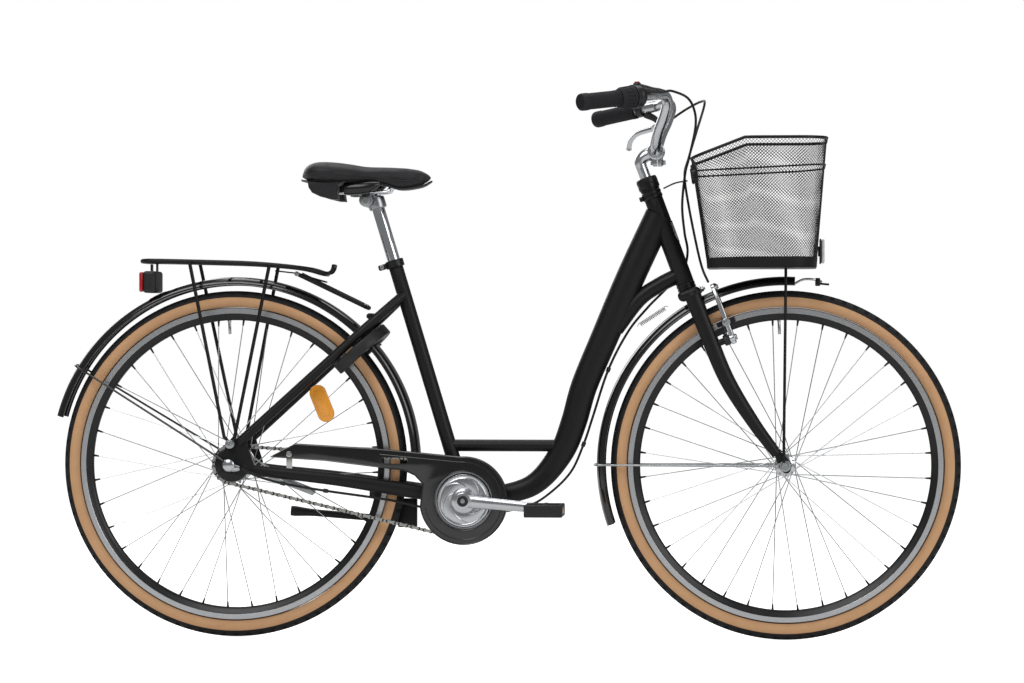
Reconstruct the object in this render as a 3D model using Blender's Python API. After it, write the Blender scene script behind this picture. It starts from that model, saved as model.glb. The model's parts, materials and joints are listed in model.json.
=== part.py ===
"""Step-through city bicycle with a front basket, a rear rack and a folding side stand.

Metres, +X forward, +Y to the rider's left, +Z up. Every shape is drawn from the point of the ground
below the rear axle, and one empty puts that point where the origin is below the middle of the bicycle.
"""

import bmesh
import bpy
from math import acos, atan2, cos, pi, radians, sin, sqrt
from mathutils import Euler, Matrix, Vector

for leftover in list(bpy.data.objects):
    bpy.data.objects.remove(leftover)

# Driving dimensions of the frame.
WHEEL_GAP = 0.410
HEAD_ANGLE = radians(69.5)
FORK_RAKE = 0.060
SEAT_ANGLE = radians(73.2)
TYRE_TO_BRACKET = 0.118
BRACKET_DROP = 0.071
HEAD_TUBE_LENGTH = 0.180
HEAD_TUBE_RADIUS = 0.0185
HEAD_BORE_RADIUS = 0.0150
SEAT_TUBE_WALL = 0.0012
SEAT_TUBE_ABOVE_TYRE = 0.059
SEATPOST_SHOWN = 0.131
BRACKET_SHELL_RADIUS = 0.0210
BRACKET_SHELL_HALF = 0.0340
BRACKET_BORE_RADIUS = 0.0165
DROPOUT_SPACING = 0.127
FORK_END_SPACING = 0.100
DROPOUT_THICKNESS = 0.005

# Wheels. The tyre section stands on the rim, and the fenders follow the tyre.
TYRE_RADIUS = 0.349
TYRE_WIDTH = 0.040
RIM_RADIUS = 0.3155
RIM_DEPTH = 0.026
RIM_WIDTH = 0.024
SPOKE_COUNT = 36
SPOKE_RADIUS = 0.0011
FENDER_GAP = 0.0280
FENDER_DEPTH = 0.016
FENDER_WIDTH = 0.054
FENDER_SHEET = 0.0016
WHEEL_STEPS = 44

# Controls and seat.
STEERER_RADIUS = 0.0127
QUILL_RADIUS = 0.0111
BAR_RADIUS = 0.0110
GRIP_RADIUS = 0.0170
BAR_HALF_WIDTH = 0.290
BAR_RISE = 0.103
SEATPOST_RADIUS = 0.0127
SADDLE_LENGTH = 0.259
SADDLE_WIDTH = 0.200

# Drive.
CHAIN_PITCH = 0.0127
RING_TEETH = 38
SPROCKET_TEETH = 19
CHAIN_LINE = 0.043
CRANK_LENGTH = 0.168
CRANK_DROP = radians(4.9)

# Clearances.
GAP = 0.0003
RUNNING_GAP = 0.0006

# Sizes and places that follow from the dimensions above. The wheels stand apart, and the bracket stands
# clear of the rear tyre, whatever the tyre's size is.
AXLE_HEIGHT = TYRE_RADIUS
WHEEL_BASE = 2 * TYRE_RADIUS + WHEEL_GAP
CHAINSTAY_RUN = TYRE_RADIUS + TYRE_TO_BRACKET
SEAT_BORE_RADIUS = SEATPOST_RADIUS + RUNNING_GAP
SEAT_TUBE_RADIUS = SEAT_BORE_RADIUS + SEAT_TUBE_WALL
SEAT_TUBE_TOP = 2 * TYRE_RADIUS + SEAT_TUBE_ABOVE_TYRE
BRACKET = Vector((CHAINSTAY_RUN, 0.0, AXLE_HEIGHT - BRACKET_DROP))
REAR_AXLE = Vector((0.0, 0.0, AXLE_HEIGHT))
FRONT_AXLE = Vector((WHEEL_BASE, 0.0, AXLE_HEIGHT))
HEAD_LEAN = pi / 2 - HEAD_ANGLE
SEAT_LEAN = pi / 2 - SEAT_ANGLE
STEER_UP = Vector((-sin(HEAD_LEAN), 0.0, cos(HEAD_LEAN)))
STEER_FORWARD = Vector((cos(HEAD_LEAN), 0.0, sin(HEAD_LEAN)))
STEER_FOOT = FRONT_AXLE - FORK_RAKE * STEER_FORWARD
STEER_FRAME = Matrix.Translation(STEER_FOOT) @ Matrix.Rotation(-HEAD_LEAN, 4, "Y")
FENDER_RADIUS = TYRE_RADIUS + FENDER_GAP
CROWN_BOTTOM = sqrt(FENDER_RADIUS**2 - FORK_RAKE**2) + 0.005
CROWN_TOP = CROWN_BOTTOM + 0.020
LOWER_CUP_HEIGHT = 0.013
UPPER_CUP_HEIGHT = 0.021
HEAD_BOTTOM = CROWN_TOP + GAP + LOWER_CUP_HEIGHT + GAP
HEAD_TOP = HEAD_BOTTOM + HEAD_TUBE_LENGTH
RING_RADIUS = CHAIN_PITCH / (2 * sin(pi / RING_TEETH))
SPROCKET_RADIUS = CHAIN_PITCH / (2 * sin(pi / SPROCKET_TEETH))
DROPOUT_INNER = DROPOUT_SPACING / 2
DROPOUT_OUTER = DROPOUT_INNER + DROPOUT_THICKNESS
FORK_END_INNER = FORK_END_SPACING / 2
FORK_END_OUTER = FORK_END_INNER + DROPOUT_THICKNESS
REAR_FENDER_START = radians(165.0)
REAR_REACH = -FENDER_RADIUS * cos(REAR_FENDER_START)
FRONT_REACH = WHEEL_BASE + TYRE_RADIUS

bicycle = bpy.data.objects.new("bicycle", None)
bpy.context.scene.collection.objects.link(bicycle)
bicycle.location = ((REAR_REACH - FRONT_REACH) / 2, 0.0, 0.0)


def look(name, colour, roughness, metallic=0.0):
    """A plain Principled material."""
    material = bpy.data.materials.new(name)
    material.use_nodes = True
    shader = material.node_tree.nodes["Principled BSDF"]
    shader.inputs["Base Color"].default_value = (*colour, 1.0)
    shader.inputs["Roughness"].default_value = roughness
    shader.inputs["Metallic"].default_value = metallic
    return material


FRAME_PAINT = ("frame_paint", (0.012, 0.012, 0.013), 0.55, 0.0)
GLOSS_BLACK = ("gloss_black_paint", (0.008, 0.008, 0.009), 0.18, 0.0)
BLACK_PLASTIC = ("black_plastic", (0.014, 0.014, 0.015), 0.5, 0.0)
BLACK_RUBBER = ("black_rubber", (0.015, 0.015, 0.015), 0.8, 0.0)
TYRE_RUBBER = ("tyre_rubber", (0.016, 0.016, 0.016), 0.75, 0.0)
BLACK_ALLOY = ("black_alloy", (0.013, 0.013, 0.014), 0.4, 0.5)
POLISHED_ALLOY = ("polished_alloy", (0.60, 0.61, 0.63), 0.22, 1.0)
CHROME = ("chrome", (0.70, 0.71, 0.73), 0.08, 1.0)
STEEL = ("zinc_steel", (0.45, 0.46, 0.47), 0.35, 1.0)
AMBER_PLASTIC = ("amber_plastic", (0.80, 0.30, 0.02), 0.2, 0.0)
RED_PLASTIC = ("red_plastic", (0.45, 0.01, 0.01), 0.15, 0.0)
SEAT_SKIN = ("seat_skin", (0.013, 0.013, 0.014), 0.6, 0.0)


def node(name, mesh, paint, pivot=(0.0, 0.0, 0.0), turn=None):
    """One sub-part, drawn where it is on the bicycle, with its origin moved to its pivot."""
    part = bpy.data.objects.new(name, mesh)
    bpy.context.scene.collection.objects.link(part)
    part.parent = bicycle
    part.location = pivot
    if turn is None:
        mesh.transform(Matrix.Translation(-Vector(pivot)))
    else:
        part.rotation_euler = turn
    mesh.materials.clear()
    mesh.materials.append(look(f"{name}_{paint[0]}", *paint[1:]))
    mesh.shade_smooth()
    mesh.set_sharp_from_angle(angle=radians(35))
    return part


def helper(mesh, like):
    """A hidden solid that a Boolean of another object uses, in the same place as that object."""
    guide = bpy.data.objects.new("helper", mesh)
    bpy.context.scene.collection.objects.link(guide)
    guide.parent = bicycle
    guide.location = like.location
    guide.rotation_euler = like.rotation_euler
    if like.rotation_euler == Euler((0.0, 0.0, 0.0)):
        mesh.transform(Matrix.Translation(-like.location))
    guide.hide_render = True
    guide.display_type = "WIRE"
    return guide


def combine(part, operation, meshes, solver="EXACT"):
    """Adds or cuts solids, drawn in the same coordinates as the part's own mesh was."""
    for mesh in meshes:
        modifier = part.modifiers.new(operation.lower(), "BOOLEAN")
        modifier.operation = operation
        modifier.solver = solver
        modifier.object = helper(mesh, part)
    return part


def to_mesh(bm, frame=None):
    """The finished mesh of a bmesh, with its faces turned outward."""
    bmesh.ops.remove_doubles(bm, verts=bm.verts, dist=1e-6)
    bmesh.ops.recalc_face_normals(bm, faces=bm.faces)
    mesh = bpy.data.meshes.new("shape")
    bm.to_mesh(mesh)
    bm.free()
    if frame is not None:
        mesh.transform(frame)
    return mesh


def turned(profile, steps=20, centre=(0.0, 0.0, 0.0), along="Y", ring=False):
    """A solid of revolution. Its profile is (radius, place along the axis), and a ring's profile closes."""
    bm = bmesh.new()
    corners = [bm.verts.new((radius, 0.0, place)) for radius, place in profile]
    pairs = list(zip(corners, corners[1:]))
    if ring:
        pairs.append((corners[-1], corners[0]))
    edges = [bm.edges.new(pair) for pair in pairs]
    bmesh.ops.spin(
        bm, geom=corners + edges, cent=(0, 0, 0), axis=(0, 0, 1), dvec=(0, 0, 0),
        angle=2 * pi, steps=steps, use_merge=True,
    )
    frames = {
        "Z": Matrix.Identity(4),
        "Y": Matrix.Rotation(-pi / 2, 4, "X"),
        "X": Matrix.Rotation(pi / 2, 4, "Y"),
    }
    frame = frames[along] if isinstance(along, str) else along.to_track_quat("Z", "Y").to_matrix().to_4x4()
    return to_mesh(bm, Matrix.Translation(Vector(centre)) @ frame)


def cylinder(radius, start, end, steps=20, flat=None):
    """A round bar between two points."""
    start = Vector(start)
    end = Vector(end)
    length = (end - start).length
    mesh = turned([(0.0, 0.0), (radius, 0.0), (radius, length), (0.0, length)], steps, along="Z")
    if flat is not None:
        mesh.transform(Matrix.Scale(flat, 4, (0, 1, 0)))
    turn = (end - start).to_track_quat("Z", "Y").to_matrix().to_4x4()
    mesh.transform(Matrix.Translation(start) @ turn)
    return mesh


def plate(outline, inner, outer):
    """A flat plate of an (x, z) outline, between two places across the bicycle."""
    bm = bmesh.new()
    face = bm.faces.new([bm.verts.new((x, inner, z)) for x, z in outline])
    grown = bmesh.ops.extrude_face_region(bm, geom=[face])
    moved = [item for item in grown["geom"] if isinstance(item, bmesh.types.BMVert)]
    bmesh.ops.translate(bm, verts=moved, vec=(0.0, outer - inner, 0.0))
    return to_mesh(bm)


def block(low, high, bevel=0.0, frame=None):
    """A box between two corners, with its edges taken off."""
    bm = bmesh.new()
    bmesh.ops.create_cube(bm, size=1.0)
    low = Vector(low)
    high = Vector(high)
    for vert in bm.verts:
        vert.co = Vector(low[i] + (vert.co[i] + 0.5) * (high[i] - low[i]) for i in range(3))
    if bevel:
        bmesh.ops.bevel(
            bm, geom=bm.edges, offset=bevel, segments=1, profile=0.5, affect="EDGES", material=-1
        )
    return to_mesh(bm, frame)


def smooth_route(points, per_span=4):
    """A smooth curve through the points, which may carry a radius as their fourth number."""
    rows = [Vector(point) for point in points]
    rows = [2 * rows[0] - rows[1]] + rows + [2 * rows[-1] - rows[-2]]
    route = []
    for i in range(1, len(rows) - 2):
        before, start, end, after = rows[i - 1 : i + 3]
        for step in range(per_span):
            t = step / per_span
            bend = 2 * before - 5 * start + 4 * end - after
            twist = 3 * start - before - 3 * end + after
            route.append(0.5 * (2 * start + (end - before) * t + bend * t * t + twist * t**3))
    route.append(rows[-2])
    return route


def curve_of(points, radius, resolution, closed=False):
    """A round rod along the points, as curve data with filled ends."""
    data = bpy.data.curves.new("route", "CURVE")
    data.dimensions = "3D"
    data.render_resolution_u = 0
    data.bevel_depth = radius
    data.bevel_resolution = resolution
    data.use_fill_caps = not closed
    spline = data.splines.new("POLY")
    spline.points.add(len(points) - 1)
    spline.use_cyclic_u = closed
    for place, point in zip(spline.points, points):
        place.co = (*point[:3], 1.0)
        place.radius = point[3] / radius if len(point) > 3 else 1.0
    return data


def rod(points, radius, resolution=2, flat=None, closed=False):
    """A round rod along the points, as a mesh. A flat below 1 makes it narrower across the bicycle."""
    if flat is not None:
        points = [(point[0], point[1] / flat, *point[2:]) for point in points]
    carrier = bpy.data.objects.new("carrier", curve_of(points, radius, resolution, closed))
    bm = bmesh.new()
    bm.from_mesh(bpy.data.meshes.new_from_object(carrier))
    bpy.data.objects.remove(carrier)
    mesh = to_mesh(bm)
    if flat is not None:
        mesh.transform(Matrix.Scale(flat, 4, (0, 1, 0)))
    return mesh


def moved(mesh, offset):
    """The same mesh, moved."""
    mesh.transform(Matrix.Translation(offset))
    return mesh


def mirrored(point):
    """The point on the other side of the bicycle."""
    return (point[0], -point[1], *point[2:])


def steer_point(forward, across, up):
    """A point given along the steering axis, as a point of the bicycle."""
    return STEER_FRAME @ Vector((forward, across, up))


def arc(centre, radius, start, end, count):
    """Points of an arc in the (x, z) plane."""
    turns = [start + (end - start) * i / (count - 1) for i in range(count)]
    return [(centre[0] + radius * cos(turn), centre[1] + radius * sin(turn)) for turn in turns]


# ---------------------------------------------------------------- frame
# Welded aluminium tubes: one large curved tube from the head to the bracket, a cross tube, a seat tube
# and two pairs of stays that end in plates for the rear axle.
SEAT_UP = Vector((-sin(SEAT_LEAN), 0.0, cos(SEAT_LEAN)))
SEAT_TOP = BRACKET + SEAT_UP * ((SEAT_TUBE_TOP - BRACKET.z) / cos(SEAT_LEAN))
CROSS_HEIGHT = AXLE_HEIGHT + 0.038
CROSS_RADIUS = 0.012
STAY_RADIUS = 0.0095
SEAT_BORE_DEPTH = 0.270


def on_seat_tube(height):
    """The point of the seat tube's axis at a height above the ground."""
    return BRACKET + SEAT_UP * ((height - BRACKET.z) / cos(SEAT_LEAN))


def main_tube():
    """The large tube, taller than it is wide, from the head tube's top down to the bracket."""
    head = steer_point(0.0, 0.0, HEAD_TOP - 0.034)
    head_low = head + Vector((-0.0588, 0.0, -0.1260))
    points = [
        (head.x, 0.0, head.z, 0.0290),
        (head_low.x, 0.0, head_low.z, 0.0290),
        (BRACKET.x + 0.279, 0.0, BRACKET.z + 0.325, 0.0278),
        (BRACKET.x + 0.239, 0.0, BRACKET.z + 0.230, 0.0268),
        (BRACKET.x + 0.218, 0.0, BRACKET.z + 0.157, 0.0262),
        (BRACKET.x + 0.194, 0.0, BRACKET.z + 0.097, 0.0250),
        (BRACKET.x + 0.150, 0.0, BRACKET.z + 0.041, 0.0225),
        (BRACKET.x + 0.100, 0.0, BRACKET.z + 0.016, 0.0205),
        (BRACKET.x + 0.007, 0.0, BRACKET.z + 0.001, 0.0190),
    ]
    return rod(smooth_route(points, 2), 0.027, resolution=4, flat=0.78)


def head_brace():
    """The shorter tube from the head tube's bottom, which runs into the main tube and leaves a gap above."""
    low = steer_point(0.0, 0.0, HEAD_BOTTOM + 0.021)
    offsets = [(0.002, 0.0), (-0.044, -0.023), (-0.086, -0.053), (-0.131, -0.112)]
    points = [(low.x + x, 0.0, low.z + z, 0.0155) for x, z in offsets]
    return rod(smooth_route(points, 2), 0.0155, resolution=3)


def chainstay(side):
    """One stay between the bracket and a dropout, bent round the tyre and behind the chainring."""
    points = [
        (BRACKET.x - 0.004, side * 0.020, BRACKET.z + 0.002, 0.0150),
        (BRACKET.x - 0.075, side * 0.0280, BRACKET.z + 0.014, 0.0150),
        (BRACKET.x - 0.140, side * 0.0330, BRACKET.z + 0.024, 0.0145),
        (BRACKET.x - 0.260, side * 0.0470, BRACKET.z + 0.042, 0.0125),
        (REAR_AXLE.x + 0.070, side * (DROPOUT_INNER - 0.0055), REAR_AXLE.z - 0.014, 0.0105),
        (REAR_AXLE.x + 0.022, side * (DROPOUT_INNER + 0.0023), REAR_AXLE.z - 0.006, 0.0100),
    ]
    return rod(smooth_route(points, 2), 0.015, resolution=2, flat=0.60)


def seatstay(side):
    """One stay between the seat tube and a dropout, wide enough apart for the fender."""
    shares = ((0.0, DROPOUT_INNER + 0.0023), (0.30, 0.0585), (0.62, 0.0500), (0.83, 0.0405), (0.94, 0.0250),
              (1.0, 0.0100))
    points = []
    for share, across in shares:
        place = STAY_FOOT.lerp(STAY_TOP, share)
        points.append((place.x, side * across, place.z))
    return rod(smooth_route(points, 2), STAY_RADIUS, resolution=2)


def dropout_plate(side):
    """The plate that the rear axle is bolted through."""
    x, z = REAR_AXLE.x, REAR_AXLE.z
    outline = [
        (x - 0.022, z - 0.016), (x + 0.024, z - 0.022), (x + 0.042, z - 0.014), (x + 0.046, z + 0.002),
        (x + 0.036, z + 0.034), (x + 0.030, z + 0.056), (x + 0.012, z + 0.054), (x - 0.006, z + 0.042),
        (x - 0.024, z + 0.012),
    ]
    return plate(outline, side * DROPOUT_INNER, side * DROPOUT_OUTER)


AXLE_RADIUS = 0.005
STAY_FOOT = REAR_AXLE + Vector((0.016, 0.0, 0.044))
STAY_TOP = on_seat_tube(SEAT_TUBE_TOP - 0.067)
LOCK_ANGLE = atan2(STAY_TOP.z - STAY_FOOT.z, STAY_TOP.x - STAY_FOOT.x) - radians(0.5)
stay_way = (STAY_TOP - STAY_FOOT).normalized()
stay_over = Vector((-stay_way.z, 0.0, stay_way.x))
STAY_BRIDGE = STAY_FOOT + stay_way * (FENDER_RADIUS - 0.0138) + stay_over * 0.0130
FRAME_ADDITIONS = [
    rod([(x, y, z) for x, y, z in (
        on_seat_tube(CROSS_HEIGHT), (BRACKET.x + 0.190, 0.0, CROSS_HEIGHT))], CROSS_RADIUS, resolution=3),
    cylinder(SEAT_TUBE_RADIUS, BRACKET + SEAT_UP * 0.012, SEAT_TOP, 20),
    head_brace(),
    main_tube(),
    cylinder(BRACKET_SHELL_RADIUS, BRACKET - Vector((0, BRACKET_SHELL_HALF, 0)),
             BRACKET + Vector((0, BRACKET_SHELL_HALF, 0)), 18),
    cylinder(0.006, (BRACKET.x - 0.082, -0.026, BRACKET.z + 0.016),
             (BRACKET.x - 0.082, 0.026, BRACKET.z + 0.016), 10),
    cylinder(0.006, STAY_BRIDGE - Vector((0, 0.036, 0)), STAY_BRIDGE + Vector((0, 0.036, 0)), 10),
]
for side in (-1, 1):
    FRAME_ADDITIONS += [chainstay(side), seatstay(side), dropout_plate(side)]
frame = node(
    "frame",
    cylinder(HEAD_TUBE_RADIUS, steer_point(0, 0, HEAD_BOTTOM), steer_point(0, 0, HEAD_TOP), 20),
    FRAME_PAINT,
)
combine(frame, "UNION", FRAME_ADDITIONS, "MANIFOLD")
combine(frame, "DIFFERENCE", [
    cylinder(HEAD_BORE_RADIUS, steer_point(0, 0, HEAD_BOTTOM - 0.01), steer_point(0, 0, HEAD_TOP + 0.01), 16),
    cylinder(SEAT_BORE_RADIUS, SEAT_TOP - SEAT_UP * SEAT_BORE_DEPTH, SEAT_TOP + SEAT_UP * 0.01, 20),
    cylinder(BRACKET_BORE_RADIUS, BRACKET - Vector((0, 0.05, 0)), BRACKET + Vector((0, 0.05, 0)), 18),
    cylinder(AXLE_RADIUS + GAP, REAR_AXLE - Vector((0, 0.1, 0)), REAR_AXLE + Vector((0, 0.1, 0)), 16),
], "MANIFOLD")

# ---------------------------------------------------------------- headset and seat clamp
# The lower and upper bearing cups are pressed to the head tube's ends and the steerer runs through them.
STEERER_GAP = STEERER_RADIUS + GAP
for name, low, high, radius in (
    ("headset_lower_cup", CROWN_TOP + GAP, HEAD_BOTTOM - GAP, 0.0190),
    ("headset_upper_cup", HEAD_TOP + GAP, HEAD_TOP + GAP + UPPER_CUP_HEIGHT, 0.0200),
):
    cup = [(STEERER_GAP, low), (radius - 0.002, low), (radius, low + 0.003), (radius, high - 0.003),
           (radius - 0.002, high), (STEERER_GAP, high)]
    mesh = turned(cup, 18, along="Z", ring=True)
    mesh.transform(STEER_FRAME)
    node(name, mesh, BLACK_ALLOY)

clamp_mesh = turned(
    [(SEAT_TUBE_RADIUS + GAP, -0.012), (SEAT_TUBE_RADIUS + 0.004, -0.012), (SEAT_TUBE_RADIUS + 0.004, 0.003),
     (SEAT_BORE_RADIUS, 0.003), (SEAT_BORE_RADIUS, GAP), (SEAT_TUBE_RADIUS + GAP, GAP)],
    20, along="Z", ring=True)
clamp_mesh.transform(Matrix.Translation(SEAT_TOP) @ Matrix.Rotation(-SEAT_LEAN, 4, "Y"))
seat_clamp = node("seat_clamp", clamp_mesh, BLACK_ALLOY)
lug = block((-SEAT_TUBE_RADIUS - 0.0195, -0.008, -0.010), (-SEAT_TUBE_RADIUS - 0.0015, 0.008, 0.001), 0.002)
lug.transform(Matrix.Translation(SEAT_TOP) @ Matrix.Rotation(-SEAT_LEAN, 4, "Y"))
combine(seat_clamp, "UNION", [lug])

# ---------------------------------------------------------------- fork
# A crown on the steerer with two blades that bend forward to flat ends, and a stud on each for a brake arm.
STEERER_TOP = HEAD_TOP + 0.046
QUILL_BORE_BOTTOM = HEAD_TOP - 0.075
BLADE_TOP = 0.046
BRAKE_ACROSS = BLADE_TOP - 0.003
BRAKE_UP = 0.275
BRAKE_NEAR = 0.0450
BRAKE_FAR = 0.0560
BRAKE_STUD_RADIUS = 0.0040
fork_parts = []
for side in (-1, 1):
    blade = [
        steer_point(0.006, side * BLADE_TOP, CROWN_BOTTOM + 0.010),
        steer_point(0.007, side * BLADE_TOP, 0.300),
        steer_point(0.011, side * (BLADE_TOP + 0.002), 0.200),
        steer_point(0.031, side * (BLADE_TOP + 0.005), 0.100),
        steer_point(0.052, side * (FORK_END_INNER + 0.0026), 0.027),
    ]
    radii = (0.0160, 0.0155, 0.0145, 0.0118, 0.0095)
    points = smooth_route([(*place, radius) for place, radius in zip(blade, radii)], 3)
    fork_parts.append(rod(points, 0.016, resolution=2, flat=0.62))
    tip = [(0.047, 0.036), (0.060, 0.034), (0.072, 0.004), (0.066, -0.013), (0.054, -0.013), (0.048, 0.004)]
    outline = [steer_point(forward, 0, up) for forward, up in tip]
    fork_parts.append(plate([(p.x, p.z) for p in outline], side * FORK_END_INNER, side * FORK_END_OUTER))
    boss = (side * BRAKE_ACROSS, BRAKE_UP)
    fork_parts.append(cylinder(0.0065, steer_point(0.006, *boss), steer_point(BRAKE_NEAR - GAP, *boss), 12))
    fork_parts.append(cylinder(BRAKE_STUD_RADIUS, steer_point(0.008, *boss), steer_point(BRAKE_FAR + 0.001, *boss), 12))
crown = block((-0.022, -0.0555, CROWN_BOTTOM), (0.024, 0.0555, CROWN_TOP), 0.004, STEER_FRAME)
steerer = cylinder(STEERER_RADIUS, steer_point(0, 0, CROWN_BOTTOM + 0.006), steer_point(0, 0, STEERER_TOP), 20)
fork = node("fork", crown, FRAME_PAINT, pivot=STEER_FOOT)
combine(fork, "UNION", [steerer] + fork_parts)
FRONT_AXLE_RADIUS = 0.0045
combine(fork, "DIFFERENCE", [
    cylinder(QUILL_RADIUS + GAP, steer_point(0, 0, QUILL_BORE_BOTTOM), steer_point(0, 0, STEERER_TOP + 0.01), 20),
    cylinder(FRONT_AXLE_RADIUS + GAP, FRONT_AXLE - Vector((0, 0.1, 0)), FRONT_AXLE + Vector((0, 0.1, 0)), 16),
])

# ---------------------------------------------------------------- steering head, stem and bar
# The top nut closes the headset, the quill stem is wedged inside the steerer and clamps the bar.
nut_low = HEAD_TOP + GAP + UPPER_CUP_HEIGHT + GAP
nut_mesh = turned([(STEERER_GAP, nut_low), (0.0205, nut_low), (0.0215, nut_low + 0.004),
                   (0.0215, STEERER_TOP - 0.006), (0.0195, STEERER_TOP - 0.001), (STEERER_GAP, STEERER_TOP - 0.001)],
                  20, along="Z", ring=True)
nut_mesh.transform(STEER_FRAME)
node("headset_top_nut", nut_mesh, BLACK_ALLOY, pivot=STEER_FOOT)

BAR_CLAMP = steer_point(0.0, 0.0, STEERER_TOP + 0.052) + Vector((0.0393, 0.0, 0.0038))
quill_top = steer_point(0.0, 0.0, STEERER_TOP + 0.030)
stem_route = smooth_route([
    (*steer_point(0.0, 0.0, QUILL_BORE_BOTTOM + GAP), QUILL_RADIUS),
    (*steer_point(0.0, 0.0, STEERER_TOP + 0.004), QUILL_RADIUS),
    (*quill_top, QUILL_RADIUS),
    (quill_top.x + 0.0035, 0.0, BAR_CLAMP.z - 0.006, 0.0120),
    (BAR_CLAMP.x - 0.002, 0.0, BAR_CLAMP.z, 0.0125),
], 3)
stem = node("stem", rod(stem_route, QUILL_RADIUS, resolution=4), POLISHED_ALLOY, pivot=STEER_FOOT)
CLAMP_HALF = 0.019
combine(stem, "UNION", [
    cylinder(BAR_RADIUS + 0.0065, BAR_CLAMP - Vector((0, CLAMP_HALF, 0)), BAR_CLAMP + Vector((0, CLAMP_HALF, 0)), 20),
], "MANIFOLD")
combine(stem, "DIFFERENCE", [
    cylinder(BAR_RADIUS + GAP, BAR_CLAMP - Vector((0, 0.05, 0)), BAR_CLAMP + Vector((0, 0.05, 0)), 20),
], "MANIFOLD")

# The bar is level through the clamp, rises, turns back and ends in the grips.
GRIP_LENGTH = 0.116
BAR_TOP = BAR_CLAMP.z + BAR_RISE
GRIP_WAY = Vector((-0.750, 0.650, -0.120)).normalized()
GRIP_END = Vector((BAR_CLAMP.x - 0.1360, BAR_HALF_WIDTH, BAR_TOP - 0.0223))
GRIP_START = GRIP_END - GRIP_WAY * GRIP_LENGTH
CONTROL_START = GRIP_START - GRIP_WAY * 0.060
half_bar = [
    (BAR_CLAMP.x, 0.0, BAR_CLAMP.z),
    (BAR_CLAMP.x, 0.010, BAR_CLAMP.z),
    (BAR_CLAMP.x, 0.020, BAR_CLAMP.z),
    (BAR_CLAMP.x, 0.030, BAR_CLAMP.z),
    (BAR_CLAMP.x + 0.001, 0.050, BAR_CLAMP.z + 0.010),
    (BAR_CLAMP.x + 0.0080, 0.072, BAR_CLAMP.z + 0.037),
    (BAR_CLAMP.x + 0.0200, 0.090, BAR_TOP - 0.036),
    (BAR_CLAMP.x + 0.0260, 0.105, BAR_TOP - 0.011),
    (BAR_CLAMP.x + 0.0200, 0.121, BAR_TOP + 0.001),
    (BAR_CLAMP.x + 0.0065, 0.145, BAR_TOP + 0.002),
    tuple(CONTROL_START),
]
side_route = smooth_route(half_bar, 2)
side_route = side_route + [GRIP_START, GRIP_END - GRIP_WAY * 0.004]
bar_route = [mirrored(tuple(point)) for point in reversed(side_route[1:])] + [tuple(point) for point in side_route]
bar_data = curve_of([Vector(point) - STEER_FOOT for point in bar_route], BAR_RADIUS, 2)
handlebar = bpy.data.objects.new("handlebar", bar_data)
bpy.context.scene.collection.objects.link(handlebar)
handlebar.parent = bicycle
handlebar.location = STEER_FOOT
bar_data.materials.append(look("handlebar_polished_alloy", *POLISHED_ALLOY[1:]))
for spline in bar_data.splines:
    spline.use_smooth = True


def sleeve(start, way, profile, steps=16):
    """A hollow turned piece round the bar. Its profile is (radius, distance from the start), as a ring."""
    mesh = turned(profile, steps, along="Z", ring=True)
    mesh.transform(Matrix.Translation(start) @ way.to_track_quat("Z", "Y").to_matrix().to_4x4())
    return mesh


def grip_mesh(start, way, length):
    """A rubber grip, closed over the bar's end."""
    bore = BAR_RADIUS + GAP
    profile = [(0.0, length), (0.013, length), (GRIP_RADIUS, length - 0.004), (GRIP_RADIUS - 0.0008, length * 0.5),
               (GRIP_RADIUS, 0.004), (0.0155, 0.0), (bore, 0.0), (bore, length - 0.0035), (0.0, length - 0.0035)]
    mesh = turned(profile, 16, along="Z")
    mesh.transform(Matrix.Translation(start) @ way.to_track_quat("Z", "Y").to_matrix().to_4x4())
    return mesh


RIGHT_WAY = Vector(mirrored(tuple(GRIP_WAY)))
RIGHT_START = Vector(mirrored(tuple(GRIP_START)))
TWIST_LENGTH = 0.034
HOUSING_LENGTH = 0.026
SHIFTER_GAP = 0.0006
node("left_grip", grip_mesh(GRIP_START, GRIP_WAY, GRIP_LENGTH), BLACK_RUBBER, pivot=STEER_FOOT)
right_grip_start = RIGHT_START + RIGHT_WAY * 0.022
node("right_grip", grip_mesh(right_grip_start, RIGHT_WAY, GRIP_LENGTH - 0.022), BLACK_RUBBER, pivot=STEER_FOOT)
twist_start = right_grip_start - RIGHT_WAY * (TWIST_LENGTH + SHIFTER_GAP)
SLEEVE_BORE = BAR_RADIUS + GAP
twist_profile = [(SLEEVE_BORE, 0.0), (0.0215, 0.0), (0.0225, 0.003), (0.0210, TWIST_LENGTH - 0.006),
                 (0.0175, TWIST_LENGTH), (SLEEVE_BORE, TWIST_LENGTH)]
twist_mesh = turned(twist_profile, 18, along="Z", ring=True)
twist = node("shifter_twist_grip", twist_mesh, BLACK_RUBBER, pivot=twist_start,
             turn=RIGHT_WAY.to_track_quat("Z", "Y").to_euler())
housing_start = twist_start - RIGHT_WAY * (HOUSING_LENGTH + SHIFTER_GAP)
housing_profile = [(SLEEVE_BORE, 0.0), (0.0170, 0.0), (0.0225, 0.006), (0.0235, HOUSING_LENGTH),
                   (SLEEVE_BORE, HOUSING_LENGTH)]
housing = node("shifter_housing", sleeve(housing_start, RIGHT_WAY, housing_profile, 18), BLACK_PLASTIC,
               pivot=STEER_FOOT)
housing_middle = housing_start + RIGHT_WAY * 0.014
NOZZLE_START = housing_middle + Vector((0.016, 0.0, 0.014))
NOZZLE_END = NOZZLE_START + Vector((0.036, 0.012, -0.004))
combine(housing, "UNION", [
    cylinder(0.0055, NOZZLE_START, NOZZLE_END, 10),
    block((-0.0075, -0.0075, 0.010), (0.0075, 0.0075, 0.0285), 0.003, Matrix.Translation(housing_middle)),
], "MANIFOLD")
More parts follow.
